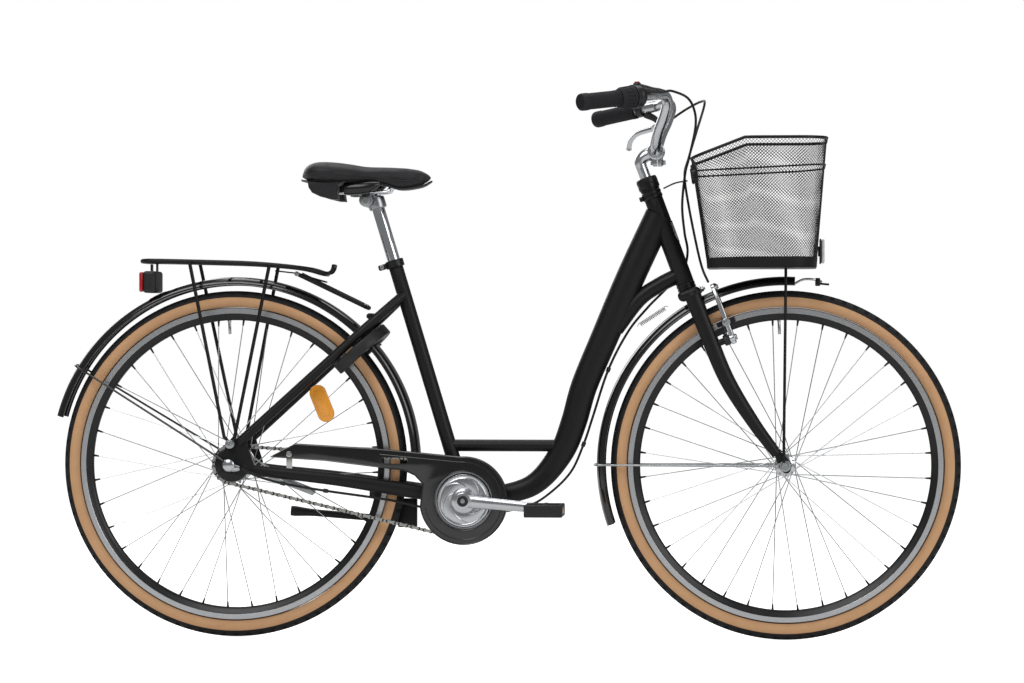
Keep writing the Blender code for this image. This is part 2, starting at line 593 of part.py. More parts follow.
combine(housing, "DIFFERENCE", [
    cylinder(SLEEVE_BORE, housing_start - RIGHT_WAY * 0.03, housing_start + RIGHT_WAY * 0.05, 18),
], "MANIFOLD")

# Brake lever on the left: a clamp and bracket on the bar, and a blade that turns on a pin under it.
LEVER_PLACE = GRIP_START - GRIP_WAY * 0.016
LEVER_PIVOT = LEVER_PLACE + Vector((0.030, -0.020, -0.040))
lever_clamp = [(BAR_RADIUS + GAP, 0.0), (0.0155, 0.0), (0.0155, 0.014), (BAR_RADIUS + GAP, 0.014)]
lever_body = node("brake_lever_body", sleeve(GRIP_START - GRIP_WAY * 0.0226, GRIP_WAY, lever_clamp, 16),
                  BLACK_PLASTIC, pivot=STEER_FOOT)
LEVER_WAY = Vector((-0.615, 0.785, -0.065))
SQUEEZE_WAY = Vector((-0.376, -0.200, 0.905))
LEVER_AXIS = LEVER_WAY.cross(SQUEEZE_WAY).normalized()
bracket_route = [
    LEVER_PLACE + Vector((0.008, -0.0075, -0.010)),
    LEVER_PLACE + Vector((0.020, -0.016, -0.026)) + LEVER_AXIS * 0.0125,
    LEVER_PIVOT + LEVER_AXIS * 0.0128,
]
CABLE_STOP = LEVER_PIVOT + Vector((0.024, -0.020, 0.011))
combine(lever_body, "UNION", [
    rod([(*point, radius) for point, radius in zip(bracket_route, (0.0080, 0.0060, 0.0050))], 0.0085, 2),
    cylinder(0.0095, LEVER_PIVOT + LEVER_AXIS * 0.0066, LEVER_PIVOT + LEVER_AXIS * 0.0150, 12),
    cylinder(0.0045, LEVER_PIVOT + LEVER_AXIS * 0.0125, CABLE_STOP, 10),
], "MANIFOLD")
combine(lever_body, "DIFFERENCE", [
    cylinder(BAR_RADIUS + GAP, LEVER_PLACE - GRIP_WAY * 0.03, LEVER_PLACE + GRIP_WAY * 0.03, 16),
], "MANIFOLD")
blade_points = [(0.0, 0.0, 0.0, 0.0054), (-0.020, 0.028, -0.003, 0.0054), (-0.041, 0.056, -0.0085, 0.0052),
                (-0.054, 0.080, -0.019, 0.0050), (-0.059, 0.098, -0.031, 0.0048), (-0.060, 0.104, -0.038, 0.0056)]
blade_route = smooth_route([(*(LEVER_PIVOT + Vector(row[:3])), row[3]) for row in blade_points], 2)
blade = node("brake_lever_blade", rod(blade_route, 0.0055, 2), POLISHED_ALLOY, pivot=LEVER_PIVOT)
combine(blade, "UNION", [
    cylinder(0.0085, LEVER_PIVOT - LEVER_AXIS * 0.0060, LEVER_PIVOT + LEVER_AXIS * 0.0060, 12),
], "MANIFOLD")

# ---------------------------------------------------------------- wheels
# Each wheel is a tyre, a rim, and a hub with its crossed spokes, and turns on a fixed axle.


def tyre_mesh():
    """The tyre as one turned ring that sits on the rim."""
    half = TYRE_WIDTH / 2
    bead = RIM_RADIUS + RUNNING_GAP
    middle = TYRE_RADIUS - half
    side = [(bead, -RIM_WIDTH / 2 + 0.002), (middle - 0.007, -half * 0.93), (middle + 0.004, -half),
            (TYRE_RADIUS - 0.006, -half * 0.66)]
    profile = side + [(TYRE_RADIUS, 0.0)] + [(radius, -place) for radius, place in reversed(side)]
    return turned(profile, WHEEL_STEPS, along="Y", ring=True)


def rim_mesh():
    """The rim: two flat brake tracks and a shallow bed toward the hub."""
    half = RIM_WIDTH / 2
    inner = RIM_RADIUS - RIM_DEPTH
    side = [(RIM_RADIUS, -half), (RIM_RADIUS - 0.013, -half), (inner, -0.0045)]
    return turned(side + [(radius, -place) for radius, place in reversed(side)], WHEEL_STEPS, along="Y", ring=True)


def spokes_mesh(flange_radius, flange_place, first, lead):
    """Every spoke of a wheel, crossed three times, from the flanges to just inside the rim."""
    bm = bmesh.new()
    outer_end = (RIM_RADIUS - RIM_DEPTH) * cos(pi / WHEEL_STEPS) - RUNNING_GAP
    for number in range(SPOKE_COUNT):
        side = -1 if number % 2 else 1
        lean = lead if number % 4 < 2 else -lead
        at_rim = first + 2 * pi * number / SPOKE_COUNT
        at_hub = at_rim + lean
        offset = 0.0017 if lean > 0 else -0.0017
        start = Vector((flange_radius * cos(at_hub), side * (flange_place + offset), flange_radius * sin(at_hub)))
        end = Vector((outer_end * cos(at_rim), side * 0.0022, outer_end * sin(at_rim)))
        turn = (end - start).to_track_quat("Z", "Y").to_matrix().to_4x4()
        frame = Matrix.Translation((start + end) / 2) @ turn
        bmesh.ops.create_cone(bm, cap_ends=True, segments=3, radius1=SPOKE_RADIUS, radius2=SPOKE_RADIUS,
                              depth=(end - start).length, matrix=frame)
    return to_mesh(bm)


def hub_mesh(half_side, bore):
    """A turned hub from its half profile, given from the outer end inward."""
    left = [(bore, half_side[0][1])] + half_side
    return turned(left + [(radius, -place) for radius, place in reversed(left)], 16, along="Y", ring=True)


FRONT_FLANGE = (0.0190, 0.0330)
REAR_FLANGE = (0.0330, 0.0290)
front_hub = [(0.0090, -0.0450), (0.0110, -0.0360), (0.0215, -0.0345), (0.0215, -0.0315), (0.0145, -0.0300)]
rear_hub = [(0.0140, -0.0362), (0.0260, -0.0310), (0.0355, -0.0305), (0.0355, -0.0275), (0.0275, -0.0265)]
SPOKE_STEP = 2 * pi / SPOKE_COUNT
for prefix, centre, half_side, bore, flange, first in (
    ("front", FRONT_AXLE, front_hub, FRONT_AXLE_RADIUS + GAP, FRONT_FLANGE, radians(5.0)),
    ("rear", REAR_AXLE, rear_hub, AXLE_RADIUS + GAP, REAR_FLANGE, LOCK_ANGLE + SPOKE_STEP / 2),
):
    node(f"{prefix}_tyre", moved(tyre_mesh(), centre), TYRE_RUBBER, pivot=centre)
    node(f"{prefix}_rim", moved(rim_mesh(), centre), BLACK_ALLOY, pivot=centre)
    hub = node(f"{prefix}_hub_spokes", moved(hub_mesh(half_side, bore), centre), POLISHED_ALLOY, pivot=centre)
    spokes = spokes_mesh(flange[0], flange[1], first, 6 * SPOKE_STEP)
    combine(hub, "UNION", [moved(spokes, centre)], "MANIFOLD")

# The front axle has a disc inside and a nut outside each fork end.
front_axle_half = [
    (0.0, -0.0655), (0.0045, -0.0655), (0.0045, -0.0640), (0.0085, -0.0640), (0.0085, -FORK_END_OUTER - GAP),
    (FRONT_AXLE_RADIUS, -FORK_END_OUTER - GAP), (FRONT_AXLE_RADIUS, -FORK_END_INNER + GAP),
    (0.0085, -FORK_END_INNER + GAP), (0.0085, -0.0456), (FRONT_AXLE_RADIUS, -0.0456),
]
front_axle_profile = front_axle_half + [(radius, -place) for radius, place in reversed(front_axle_half)]
node("front_axle", turned(front_axle_profile, 12, FRONT_AXLE, "Y"), STEEL, pivot=STEER_FOOT)

# The rear axle also carries the sprocket's driver on its right and the brake arm on its left.
SPROCKET_HALF = 0.0011
DRIVER_OUTER = 0.0480
ARM_INNER = 0.0460
ARM_OUTER = 0.0490
rear_axle_profile = [
    (0.0, -0.0800), (AXLE_RADIUS, -0.0800), (AXLE_RADIUS, -DROPOUT_OUTER - GAP - 0.003),
    (0.0085, -DROPOUT_OUTER - GAP - 0.003), (0.0085, -DROPOUT_OUTER - GAP), (AXLE_RADIUS, -DROPOUT_OUTER - GAP),
    (AXLE_RADIUS, -DROPOUT_INNER + GAP), (0.0095, -DROPOUT_INNER + GAP), (0.0095, -DRIVER_OUTER - RUNNING_GAP),
    (AXLE_RADIUS, -DRIVER_OUTER - RUNNING_GAP), (AXLE_RADIUS, ARM_OUTER + GAP), (0.0095, ARM_OUTER + GAP),
    (0.0095, DROPOUT_INNER - GAP), (AXLE_RADIUS, DROPOUT_INNER - GAP), (AXLE_RADIUS, DROPOUT_OUTER + GAP),
    (0.0090, DROPOUT_OUTER + GAP), (0.0090, DROPOUT_OUTER + 0.009), (AXLE_RADIUS, DROPOUT_OUTER + 0.009),
    (AXLE_RADIUS, DROPOUT_OUTER + 0.013), (0.0, DROPOUT_OUTER + 0.013),
]
node("rear_axle", turned(rear_axle_profile, 12, REAR_AXLE, "Y"), STEEL, pivot=REAR_AXLE)
arm_outline = [(0.010, -0.014), (0.150, -0.066), (0.157, -0.060), (0.155, -0.052), (0.020, 0.000),
               (0.006, 0.016), (-0.012, 0.014), (-0.018, 0.0), (-0.010, -0.014)]
arm = node("brake_arm_rear", plate([(x, AXLE_HEIGHT + z) for x, z in arm_outline], ARM_INNER, ARM_OUTER), STEEL,
           pivot=REAR_AXLE)
combine(arm, "DIFFERENCE", [
    cylinder(AXLE_RADIUS + GAP, REAR_AXLE - Vector((0, 0.1, 0)), REAR_AXLE + Vector((0, 0.1, 0)), 16)])
BOX_INNER = DROPOUT_OUTER + 0.0036
box_profile = [(0.0, -0.0985), (0.0080, -0.0980), (0.0125, -0.0930), (0.0135, -0.0800), (0.0125, -BOX_INNER),
               (0.0, -BOX_INNER)]
click_box = node("click_box", turned(box_profile, 18, REAR_AXLE, "Y"), POLISHED_ALLOY, pivot=REAR_AXLE)
combine(click_box, "UNION", [
    block((0.006, -0.0930, AXLE_HEIGHT - 0.0125), (0.022, -0.0800, AXLE_HEIGHT + 0.0010), 0.002)], "MANIFOLD")
combine(click_box, "DIFFERENCE", [
    cylinder(AXLE_RADIUS + GAP, REAR_AXLE - Vector((0, 0.0803, 0)), REAR_AXLE + Vector((0, 0.01, 0)), 16)],
    "MANIFOLD")

reflector_centre = REAR_AXLE + Vector((cos(radians(34.5)), 0.0, sin(radians(34.5)))) * 0.216
reflector = block((-0.039, -0.0040, -0.017), (0.039, 0.0040, 0.017), 0.004)
turn_reflector = Matrix.Rotation(atan2(0.928, 0.372), 4, "Y")
reflector.transform(Matrix.Translation(reflector_centre + Vector((0, -0.0180, 0))) @ turn_reflector)
node("spoke_reflector", reflector, AMBER_PLASTIC, pivot=REAR_AXLE)

# ---------------------------------------------------------------- fenders
# Rolled sheet over each wheel with turned-down sides. Each is held by its middle and by a wire stay.


def fender_mesh(centre, start, end, steps):
    """A channel of sheet swept round the wheel from one angle to another."""
    crown = FENDER_RADIUS
    edge = FENDER_RADIUS - FENDER_DEPTH
    half = FENDER_WIDTH / 2
    outer = [(edge, -half), (crown - 0.0065, -half * 0.90), (crown - 0.0015, -half * 0.55), (crown, 0.0)]
    outer += [(radius, -place) for radius, place in reversed(outer[:-1])]
    inner = [(radius - FENDER_SHEET * (1 if abs(place) < half * 0.8 else 0),
              place * (1 - FENDER_SHEET / half)) for radius, place in reversed(outer)]
    inner = [(radius - (FENDER_SHEET * 0.4 if half * 0.8 < abs(place) and radius > edge else 0), place)
             for radius, place in inner]
    bm = bmesh.new()
    corners = [bm.verts.new((radius * cos(start), place, radius * sin(start))) for radius, place in outer + inner]
    face = bm.faces.new(corners)
    bmesh.ops.spin(bm, geom=[face], cent=(0, 0, 0), axis=(0, -1, 0), dvec=(0, 0, 0), angle=end - start,
                   steps=steps, use_merge=False, use_duplicate=False)
    mesh = to_mesh(bm)
    mesh.transform(Matrix.Translation(centre))
    return mesh


FRONT_FENDER_START = radians(87.0)
FRONT_FENDER_END = radians(199.0)
REAR_FENDER_END = radians(-2.0)
node("front_fender", fender_mesh(FRONT_AXLE, FRONT_FENDER_START, FRONT_FENDER_END, 17), GLOSS_BLACK,
     pivot=STEER_FOOT)
node("rear_fender", fender_mesh(REAR_AXLE, REAR_FENDER_END, REAR_FENDER_START, 24), GLOSS_BLACK)


def fender_stay(centre, angle, hub_across, hub_offset):
    """One bent wire: from an axle end over the fender's outside to the other axle end."""
    way = Vector((cos(angle), 0.0, sin(angle)))
    half = FENDER_WIDTH / 2 + 0.0035
    over = FENDER_RADIUS + 0.0035
    low = centre + way * hub_offset
    points = [(low.x, hub_across, low.z)]
    for radius, across in ((0.150, 0.5 * (hub_across + half) + 0.002), (TYRE_RADIUS - 0.02, half + 0.001),
                           (over - 0.012, half), (over - 0.004, half * 0.86), (over, half * 0.55)):
        place = centre + way * radius
        points.append((place.x, across, place.z))
    place = centre + way * (over + 0.0002)
    points = points + [(place.x, 0.0, place.z)] + [mirrored(point) for point in reversed(points)]
    return rod(smooth_route(points, 1), 0.0022, 2)


node("rear_fender_stay", fender_stay(REAR_AXLE, radians(148.5), DROPOUT_OUTER + 0.004, 0.016), GLOSS_BLACK)
node("front_fender_stay", fender_stay(FRONT_AXLE, radians(180.0), FORK_END_OUTER + 0.0031, 0.014), STEEL,
     pivot=STEER_FOOT)

# ---------------------------------------------------------------- drive
# The chainring turns with the right crank, and the chain takes its turn to the hub's sprocket.
SPINDLE_RADIUS = 0.0082
PEDAL_SPINDLE_RADIUS = 0.0055
CRANK_WAY = Vector((cos(CRANK_DROP), 0.0, -sin(CRANK_DROP)))
CRANK_BOSS = (0.0510, 0.0720)
CRANK_EYE = (0.0690, 0.0830)
PEDAL_INNER = 0.0880
PEDAL_OUTER = 0.1790
CUP_OUTER = BRACKET_SHELL_HALF + 0.0040
cup_half = [(SPINDLE_RADIUS + RUNNING_GAP, -CUP_OUTER), (0.0195, -CUP_OUTER), (0.0195, -BRACKET_SHELL_HALF - GAP),
            (BRACKET_BORE_RADIUS - GAP, -BRACKET_SHELL_HALF - GAP)]
cup_profile = cup_half + [(radius, -place) for radius, place in reversed(cup_half)]
node("bottom_bracket", turned(cup_profile, 18, BRACKET, "Y", ring=True), BLACK_ALLOY)
node("crank_axle", cylinder(SPINDLE_RADIUS, BRACKET - Vector((0, CRANK_BOSS[1] - 0.004, 0)),
                            BRACKET + Vector((0, CRANK_BOSS[1] - 0.004, 0)), 16), STEEL, pivot=BRACKET)


def toothed_plate(centre, pitch_radius, teeth):
    """A flat plate with one point for each tooth tip and each root."""
    outline = []
    for number in range(2 * teeth):
        turn = pi * number / teeth
        radius = pitch_radius + (0.0026 if number % 2 else -0.0034)
        outline.append((centre.x + radius * cos(turn), centre.z + radius * sin(turn)))
    return plate(outline, -CHAIN_LINE - SPROCKET_HALF, -CHAIN_LINE + SPROCKET_HALF)


COVER_RADIUS = 0.0550
cover_profile = [(0.0, -0.0505), (0.0300, -0.0500), (COVER_RADIUS - 0.0020, -0.0480), (COVER_RADIUS, -0.0465),
                 (COVER_RADIUS, -CHAIN_LINE), (0.0, -CHAIN_LINE)]
chainring = node("chainring", toothed_plate(BRACKET, RING_RADIUS, RING_TEETH), POLISHED_ALLOY, pivot=BRACKET)
combine(chainring, "UNION", [turned(cover_profile, 32, BRACKET, "Y")], "MANIFOLD")
combine(chainring, "DIFFERENCE", [
    cylinder(SPINDLE_RADIUS + GAP, BRACKET - Vector((0, 0.1, 0)), BRACKET + Vector((0, 0.1, 0)), 16)], "MANIFOLD")
sprocket = node("sprocket", toothed_plate(REAR_AXLE, SPROCKET_RADIUS, SPROCKET_TEETH), STEEL, pivot=REAR_AXLE)
combine(sprocket, "UNION", [
    cylinder(0.0165, REAR_AXLE - Vector((0, DRIVER_OUTER, 0)), REAR_AXLE - Vector((0, 0.0368, 0)), 18)], "MANIFOLD")
combine(sprocket, "DIFFERENCE", [
    cylinder(AXLE_RADIUS + GAP, REAR_AXLE - Vector((0, 0.1, 0)), REAR_AXLE + Vector((0, 0.1, 0)), 16)], "MANIFOLD")


def crank(name, side):
    """A forged arm: a boss on the axle, a tapered bar and an eye with the pedal's spindle."""
    way = -side * CRANK_WAY
    eye = BRACKET + way * CRANK_LENGTH
    along = Vector((0.0, side, 0.0))
    bar = [(*(BRACKET + along * 0.0640 + way * 0.004), 0.0130), (*(BRACKET + along * 0.0700 + way * 0.084), 0.0115),
           (*(eye + along * 0.0760), 0.0100)]
    arm = node(name, cylinder(0.0165, BRACKET + along * CRANK_BOSS[0], BRACKET + along * CRANK_BOSS[1], 18),
               POLISHED_ALLOY, pivot=BRACKET)
    combine(arm, "UNION", [
        rod(bar, 0.012, 3, flat=0.5),
        cylinder(0.0125, eye + along * CRANK_EYE[0], eye + along * CRANK_EYE[1], 16),
        cylinder(PEDAL_SPINDLE_RADIUS, eye + along * 0.0760, eye + along * (PEDAL_OUTER - 0.006), 12),
    ], "MANIFOLD")
    combine(arm, "DIFFERENCE", [
        cylinder(SPINDLE_RADIUS + GAP, BRACKET - along * 0.03, BRACKET + along * (CRANK_BOSS[1] - 0.0037), 16)],
        "MANIFOLD")
    return eye


def pedal(name, side, eye):
    """A flat platform that turns on the crank's spindle."""
    along = Vector((0.0, side, 0.0))
    low = eye + Vector((-0.0380, side * PEDAL_INNER, -0.0125))
    high = eye + Vector((0.0380, side * PEDAL_OUTER, 0.0125))
    bounds = sorted((low.y, high.y))
    platform = block((low.x, bounds[0], low.z), (high.x, bounds[1], high.z), 0.004)
    body = node(name, platform, BLACK_PLASTIC, pivot=eye)
    combine(body, "DIFFERENCE", [
        cylinder(PEDAL_SPINDLE_RADIUS + RUNNING_GAP, eye + along * 0.05, eye + along * (PEDAL_OUTER - 0.0055), 12)],
        "MANIFOLD")


pedal("right_pedal", -1, crank("right_crank", -1))
pedal("left_pedal", 1, crank("left_crank", 1))


def chain_mesh():
    """The closed chain as a channel that is open toward the teeth it runs over."""
    run = BRACKET - REAR_AXLE
    slope = atan2(run.z, run.x)
    spread = acos((RING_RADIUS - SPROCKET_RADIUS) / run.length)
    stations = []
    for centre, radius, start, end, count in (
        (BRACKET, RING_RADIUS, slope - spread, slope + spread, 13),
        (REAR_AXLE, SPROCKET_RADIUS, slope + spread, slope - spread + 2 * pi, 9),
    ):
        for step in range(count):
            turn = start + (end - start) * step / (count - 1)
            outward = Vector((cos(turn), 0.0, sin(turn)))
            stations.append((centre + outward * radius, outward))
    web, lip, wall, slot = 0.0058, -0.0040, 0.0042, 0.0024
    section = [(lip, -wall), (web, -wall), (web, wall), (lip, wall), (lip, slot), (0.0044, slot), (0.0044, -slot),
               (lip, -slot)]
    bm = bmesh.new()
    rows = []
    for place, outward in stations:
        rows.append([bm.verts.new(place + outward * u + Vector((0, y - CHAIN_LINE, 0))) for u, y in section])
    for row, after in zip(rows, rows[1:] + rows[:1]):
        for i in range(len(section)):
            j = (i + 1) % len(section)
            bm.faces.new((row[i], row[j], after[j], after[i]))
    return to_mesh(bm)


node("chain", chain_mesh(), STEEL)

# The guard is one pressed sheet over the chain's outer side, with a lip over the chain's top run.
GUARD_RADIUS = 0.0885
GUARD_SHEET = 0.0020
GUARD_INNER = 0.0535
GUARD_OUTER = GUARD_INNER + 0.0025
bx, bz = BRACKET.x, BRACKET.z
guard_top = [(bx - 0.389, bz + 0.0860), (bx - 0.340, bz + 0.1135), (bx - 0.167, bz + 0.1035)]
guard_front = [(bx + GUARD_RADIUS * cos(turn), bz + GUARD_RADIUS * sin(turn))
               for turn in [radians(94 - 14 * step) for step in range(20)]]
guard_low = [(bx - 0.082, bz + 0.0330), (bx - 0.120, bz + 0.0600), (bx - 0.167, bz + 0.0655), (bx - 0.279, bz + 0.0790)]
guard = node("chain_guard", plate(guard_top + guard_front + guard_low, -GUARD_INNER, -GUARD_OUTER), GLOSS_BLACK)


def sheet_along(points, thickness, near, far):
    """A strip of sheet that follows (x, z) points, on their right-hand side."""
    inner = []
    for i, (x, z) in enumerate(points):
        before = points[max(i - 1, 0)]
        after = points[min(i + 1, len(points) - 1)]
        way = Vector((after[0] - before[0], after[1] - before[1])).normalized()
        inner.append((x + way.y * thickness, z - way.x * thickness))
    return plate(points + inner[::-1], near, far)


lip_line = guard_top[1:] + guard_front[:9]
combine(guard, "UNION", [sheet_along(lip_line, GUARD_SHEET, -0.0360, -GUARD_OUTER + 0.0004)], "MANIFOLD")
combine(guard, "DIFFERENCE", [
    cylinder(0.0580, BRACKET - Vector((0, 0.1, 0)), BRACKET + Vector((0, 0.1, 0)), 28),
    block((bx - 0.166, -0.07, bz + 0.0740), (bx - 0.112, -0.05, bz + 0.0860), 0.002),
], "MANIFOLD")

# ---------------------------------------------------------------- rack and tail light
RAIL_ACROSS = 0.056
RAIL_RADIUS = 0.0048
RAIL_HEIGHT = AXLE_HEIGHT + TYRE_RADIUS + 0.058
LEG_RADIUS = 0.0036
rail = [(0.186, 0.012, RAIL_HEIGHT - 0.024), (0.180, 0.030, RAIL_HEIGHT - 0.023), (0.140, 0.050, RAIL_HEIGHT - 0.013),
        (0.048, RAIL_ACROSS, RAIL_HEIGHT - 0.004), (-0.068, RAIL_ACROSS, RAIL_HEIGHT),
        (-0.155, RAIL_ACROSS, RAIL_HEIGHT + 0.002), (-0.179, 0.047, RAIL_HEIGHT + 0.002),
        (-0.185, 0.026, RAIL_HEIGHT + 0.002)]
loop = smooth_route(rail + [mirrored(point) for point in reversed(rail)], 1)
rack = node("rack_platform", rod(loop, RAIL_RADIUS, 2, closed=True), FRAME_PAINT)
cross_bars = []
for x, drop in ((-0.150, -0.0015), (-0.085, 0.0), (-0.015, 0.0015), (0.055, 0.0045), (0.115, 0.0095)):
    half = RAIL_ACROSS - 0.002 if x < 0.1 else 0.0505
    cross_bars.append(cylinder(0.0038, (x, -half, RAIL_HEIGHT - drop), (x, half, RAIL_HEIGHT - drop), 6))
for across in (-0.019, 0.019):
    cross_bars.append(rod([(0.1840, across, RAIL_HEIGHT - 0.0232), (0.115, across, RAIL_HEIGHT - 0.0090),
                           (0.048, across, RAIL_HEIGHT - 0.0038), (-0.1840, across, RAIL_HEIGHT + 0.0018)], 0.0036, 1))
combine(rack, "UNION", cross_bars, "MANIFOLD")
for name, side in (("rack_leg_left", 1), ("rack_leg_right", -1)):
    foot_across = side * (DROPOUT_OUTER + 0.0112)
    top_across = side * (RAIL_ACROSS + RAIL_RADIUS + LEG_RADIUS + 0.0005)
    leg = [(-0.084, top_across, RAIL_HEIGHT + 0.001), (-0.011, foot_across, AXLE_HEIGHT + 0.056),
           (0.0, foot_across, AXLE_HEIGHT + 0.046), (0.010, foot_across, AXLE_HEIGHT + 0.056),
           (0.078, top_across, RAIL_HEIGHT - 0.006)]
    node(name, rod(leg, LEG_RADIUS, 2), FRAME_PAINT)
front_stay = [(0.130, 0.0360, RAIL_HEIGHT - 0.024), (STAY_BRIDGE.x - 0.026, 0.0250, STAY_BRIDGE.z + 0.027),
              (STAY_BRIDGE.x - 0.008, 0.0150, STAY_BRIDGE.z + 0.018), (STAY_BRIDGE.x - 0.006, 0.0, STAY_BRIDGE.z + 0.0165)]
hairpin = smooth_route(front_stay + [mirrored(point) for point in reversed(front_stay[:-1])], 2)
node("rack_front_stay", rod(hairpin, 0.0042, 2), FRAME_PAINT)
LIGHT_FRONT = 0.1560
LIGHT_LOW = AXLE_HEIGHT + sqrt(FENDER_RADIUS**2 - LIGHT_FRONT**2) + 0.0018
light_case = block((-0.1820, -0.045, LIGHT_LOW), (-LIGHT_FRONT, 0.045, LIGHT_LOW + 0.044), 0.005)
light_body = node("tail_light_body", light_case, BLACK_PLASTIC)
combine(light_body, "UNION", [
    block((-0.1720, -0.012, RAIL_HEIGHT - 0.022), (-0.1640, 0.012, RAIL_HEIGHT - 0.0065), 0.001)], "MANIFOLD")
node("tail_light_lens", block((-0.1900, -0.043, LIGHT_LOW + 0.002), (-0.1823, 0.043, LIGHT_LOW + 0.042), 0.003),
     RED_PLASTIC)

# ---------------------------------------------------------------- ring lock and stand
# The lock is a horseshoe case round the rear tyre, and its steel bar turns inside it to close the ring.
LOCK_CENTRE_RADIUS = TYRE_RADIUS - 0.009
LOCK_MEAN = 0.062
LOCK_WALL = 0.0100
LOCK_HALF_THICK = 0.0115
LOCK_OPENING = radians(40)
SHACKLE_RADIUS = 0.0045
lock_out = Vector((cos(LOCK_ANGLE), 0.0, sin(LOCK_ANGLE)))
LOCK_CENTRE = REAR_AXLE + lock_out * LOCK_CENTRE_RADIUS
lock_side = Vector((sin(LOCK_ANGLE), 0.0, -cos(LOCK_ANGLE)))
LOCK_FRAME = Matrix((
    (lock_out.x, lock_side.x, 0.0, LOCK_CENTRE.x),
    (0.0, 0.0, 1.0, 0.0),
    (lock_out.z, lock_side.z, 0.0, LOCK_CENTRE.z),
    (0.0, 0.0, 0.0, 1.0),
))
lock_start = pi + LOCK_OPENING
lock_end = 3 * pi - LOCK_OPENING
case_outline = arc((0, 0), LOCK_MEAN + LOCK_WALL, lock_start, lock_end, 18)
case_outline += arc((0, 0), LOCK_MEAN - LOCK_WALL, lock_end, lock_start, 18)
case = plate(case_outline, -LOCK_HALF_THICK, LOCK_HALF_THICK)
case.transform(LOCK_FRAME)
lock_body = node("ring_lock_body", case, BLACK_PLASTIC)


def ring_bar(radius, start, end, steps):
    """A round bar along an arc of the lock's ring."""
    bar = rod([(x, 0.0, z) for x, z in arc((0, 0), LOCK_MEAN, start, end, steps)], radius, 2)
    bar.transform(LOCK_FRAME)
    return bar


combine(lock_body, "DIFFERENCE", [
    ring_bar(SHACKLE_RADIUS + 0.0010, lock_start - radians(4), lock_end + radians(4), 24)], "MANIFOLD")
shackle_start = lock_start + radians(2)
node("lock_shackle", ring_bar(SHACKLE_RADIUS, shackle_start, shackle_start + radians(130), 15), CHROME,
     pivot=LOCK_CENTRE)

STAND_PIVOT = BRACKET + Vector((-0.1215, 0.0545, -0.046))
STAND_TILT = radians(18)
STAND_REST = radians(5)
STAND_LENGTH = 0.240
STAND_OUT = Vector((0.0, cos(STAND_TILT), sin(STAND_TILT)))
BRACKET_FACE = 0.0425
stay_under = BRACKET.z + 0.0005
stand_bracket = node("kickstand_bracket", block((STAND_PIVOT.x - 0.019, 0.0250, STAND_PIVOT.z - 0.012),
                                                (STAND_PIVOT.x + 0.020, BRACKET_FACE, stay_under), 0.003), FRAME_PAINT)
combine(stand_bracket, "UNION", [
    cylinder(0.0050, STAND_PIVOT - STAND_OUT * 0.020, STAND_PIVOT + STAND_OUT * 0.0062, 12)], "MANIFOLD")
stand_turn = Matrix.Rotation(STAND_TILT, 3, "X") @ Matrix.Rotation(STAND_REST, 3, "Y")
leg_mesh = turned([(0.0056, -0.0055), (0.0120, -0.0055), (0.0120, 0.0055), (0.0056, 0.0055)], 16, along="Y", ring=True)
stand_leg = node("kickstand_leg", leg_mesh, FRAME_PAINT, pivot=STAND_PIVOT, turn=stand_turn.to_euler())
leg_route = [(-0.0085, 0.0, 0.0, 0.0050), (-0.020, 0.0, 0.0, 0.0072), (-0.190, 0.0, 0.0, 0.0072),
             (-STAND_LENGTH, 0.0, 0.0, 0.0105)]
combine(stand_leg, "UNION", [rod(leg_route, 0.0075, 2)], "MANIFOLD")

# ---------------------------------------------------------------- seatpost and saddle
POST_TOP = on_seat_tube(SEAT_TUBE_TOP + SEATPOST_SHOWN)
node("seatpost", cylinder(SEATPOST_RADIUS, SEAT_TOP - SEAT_UP * 0.180, POST_TOP, 20), CHROME, pivot=SEAT_TOP)
SEAT_X = POST_TOP.x
SEAT_Z = POST_TOP.z
CLAMP_RADIUS = SEATPOST_RADIUS + 0.0053
clamp_ring = turned([(SEATPOST_RADIUS + GAP, -0.026), (CLAMP_RADIUS - 0.001, -0.026), (CLAMP_RADIUS, -0.022),
                     (CLAMP_RADIUS, -0.004), (SEATPOST_RADIUS + GAP, -0.002)], 18, along="Z", ring=True)
clamp_ring.transform(Matrix.Translation(POST_TOP) @ Matrix.Rotation(-SEAT_LEAN, 4, "Y"))
saddle_clamp = node("saddle_clamp", clamp_ring, STEEL, pivot=SEAT_TOP)
ear = Vector((SEAT_X - 0.0150, 0.0, SEAT_Z - 0.0080))
combine(saddle_clamp, "UNION", [
    cylinder(0.0125, ear - Vector((0, 0.028, 0)), ear + Vector((0, 0.028, 0)), 16)], "MANIFOLD")
combine(saddle_clamp, "DIFFERENCE", [
    cylinder(SEATPOST_RADIUS + GAP, POST_TOP - SEAT_UP * 0.05, POST_TOP + SEAT_UP * 0.03, 20)], "MANIFOLD")
RAIL_WIRE = 0.0035
rail_level = SEAT_Z - 0.0080 + 0.0125 + RAIL_WIRE + GAP
rail_side = [(SEAT_X - 0.114, 0.022, rail_level + 0.0105), (SEAT_X - 0.097, 0.022, rail_level + 0.0035),
             (SEAT_X - 0.075, 0.022, rail_level), (SEAT_X + 0.026, 0.022, rail_level),
             (SEAT_X + 0.062, 0.017, rail_level + 0.0018), (SEAT_X + 0.086, 0.009, rail_level + 0.0030)]
rail_route = smooth_route(rail_side + [mirrored(point) for point in reversed(rail_side)], 2)
node("saddle_rails", rod(rail_route, RAIL_WIRE, 2), CHROME, pivot=SEAT_TOP)

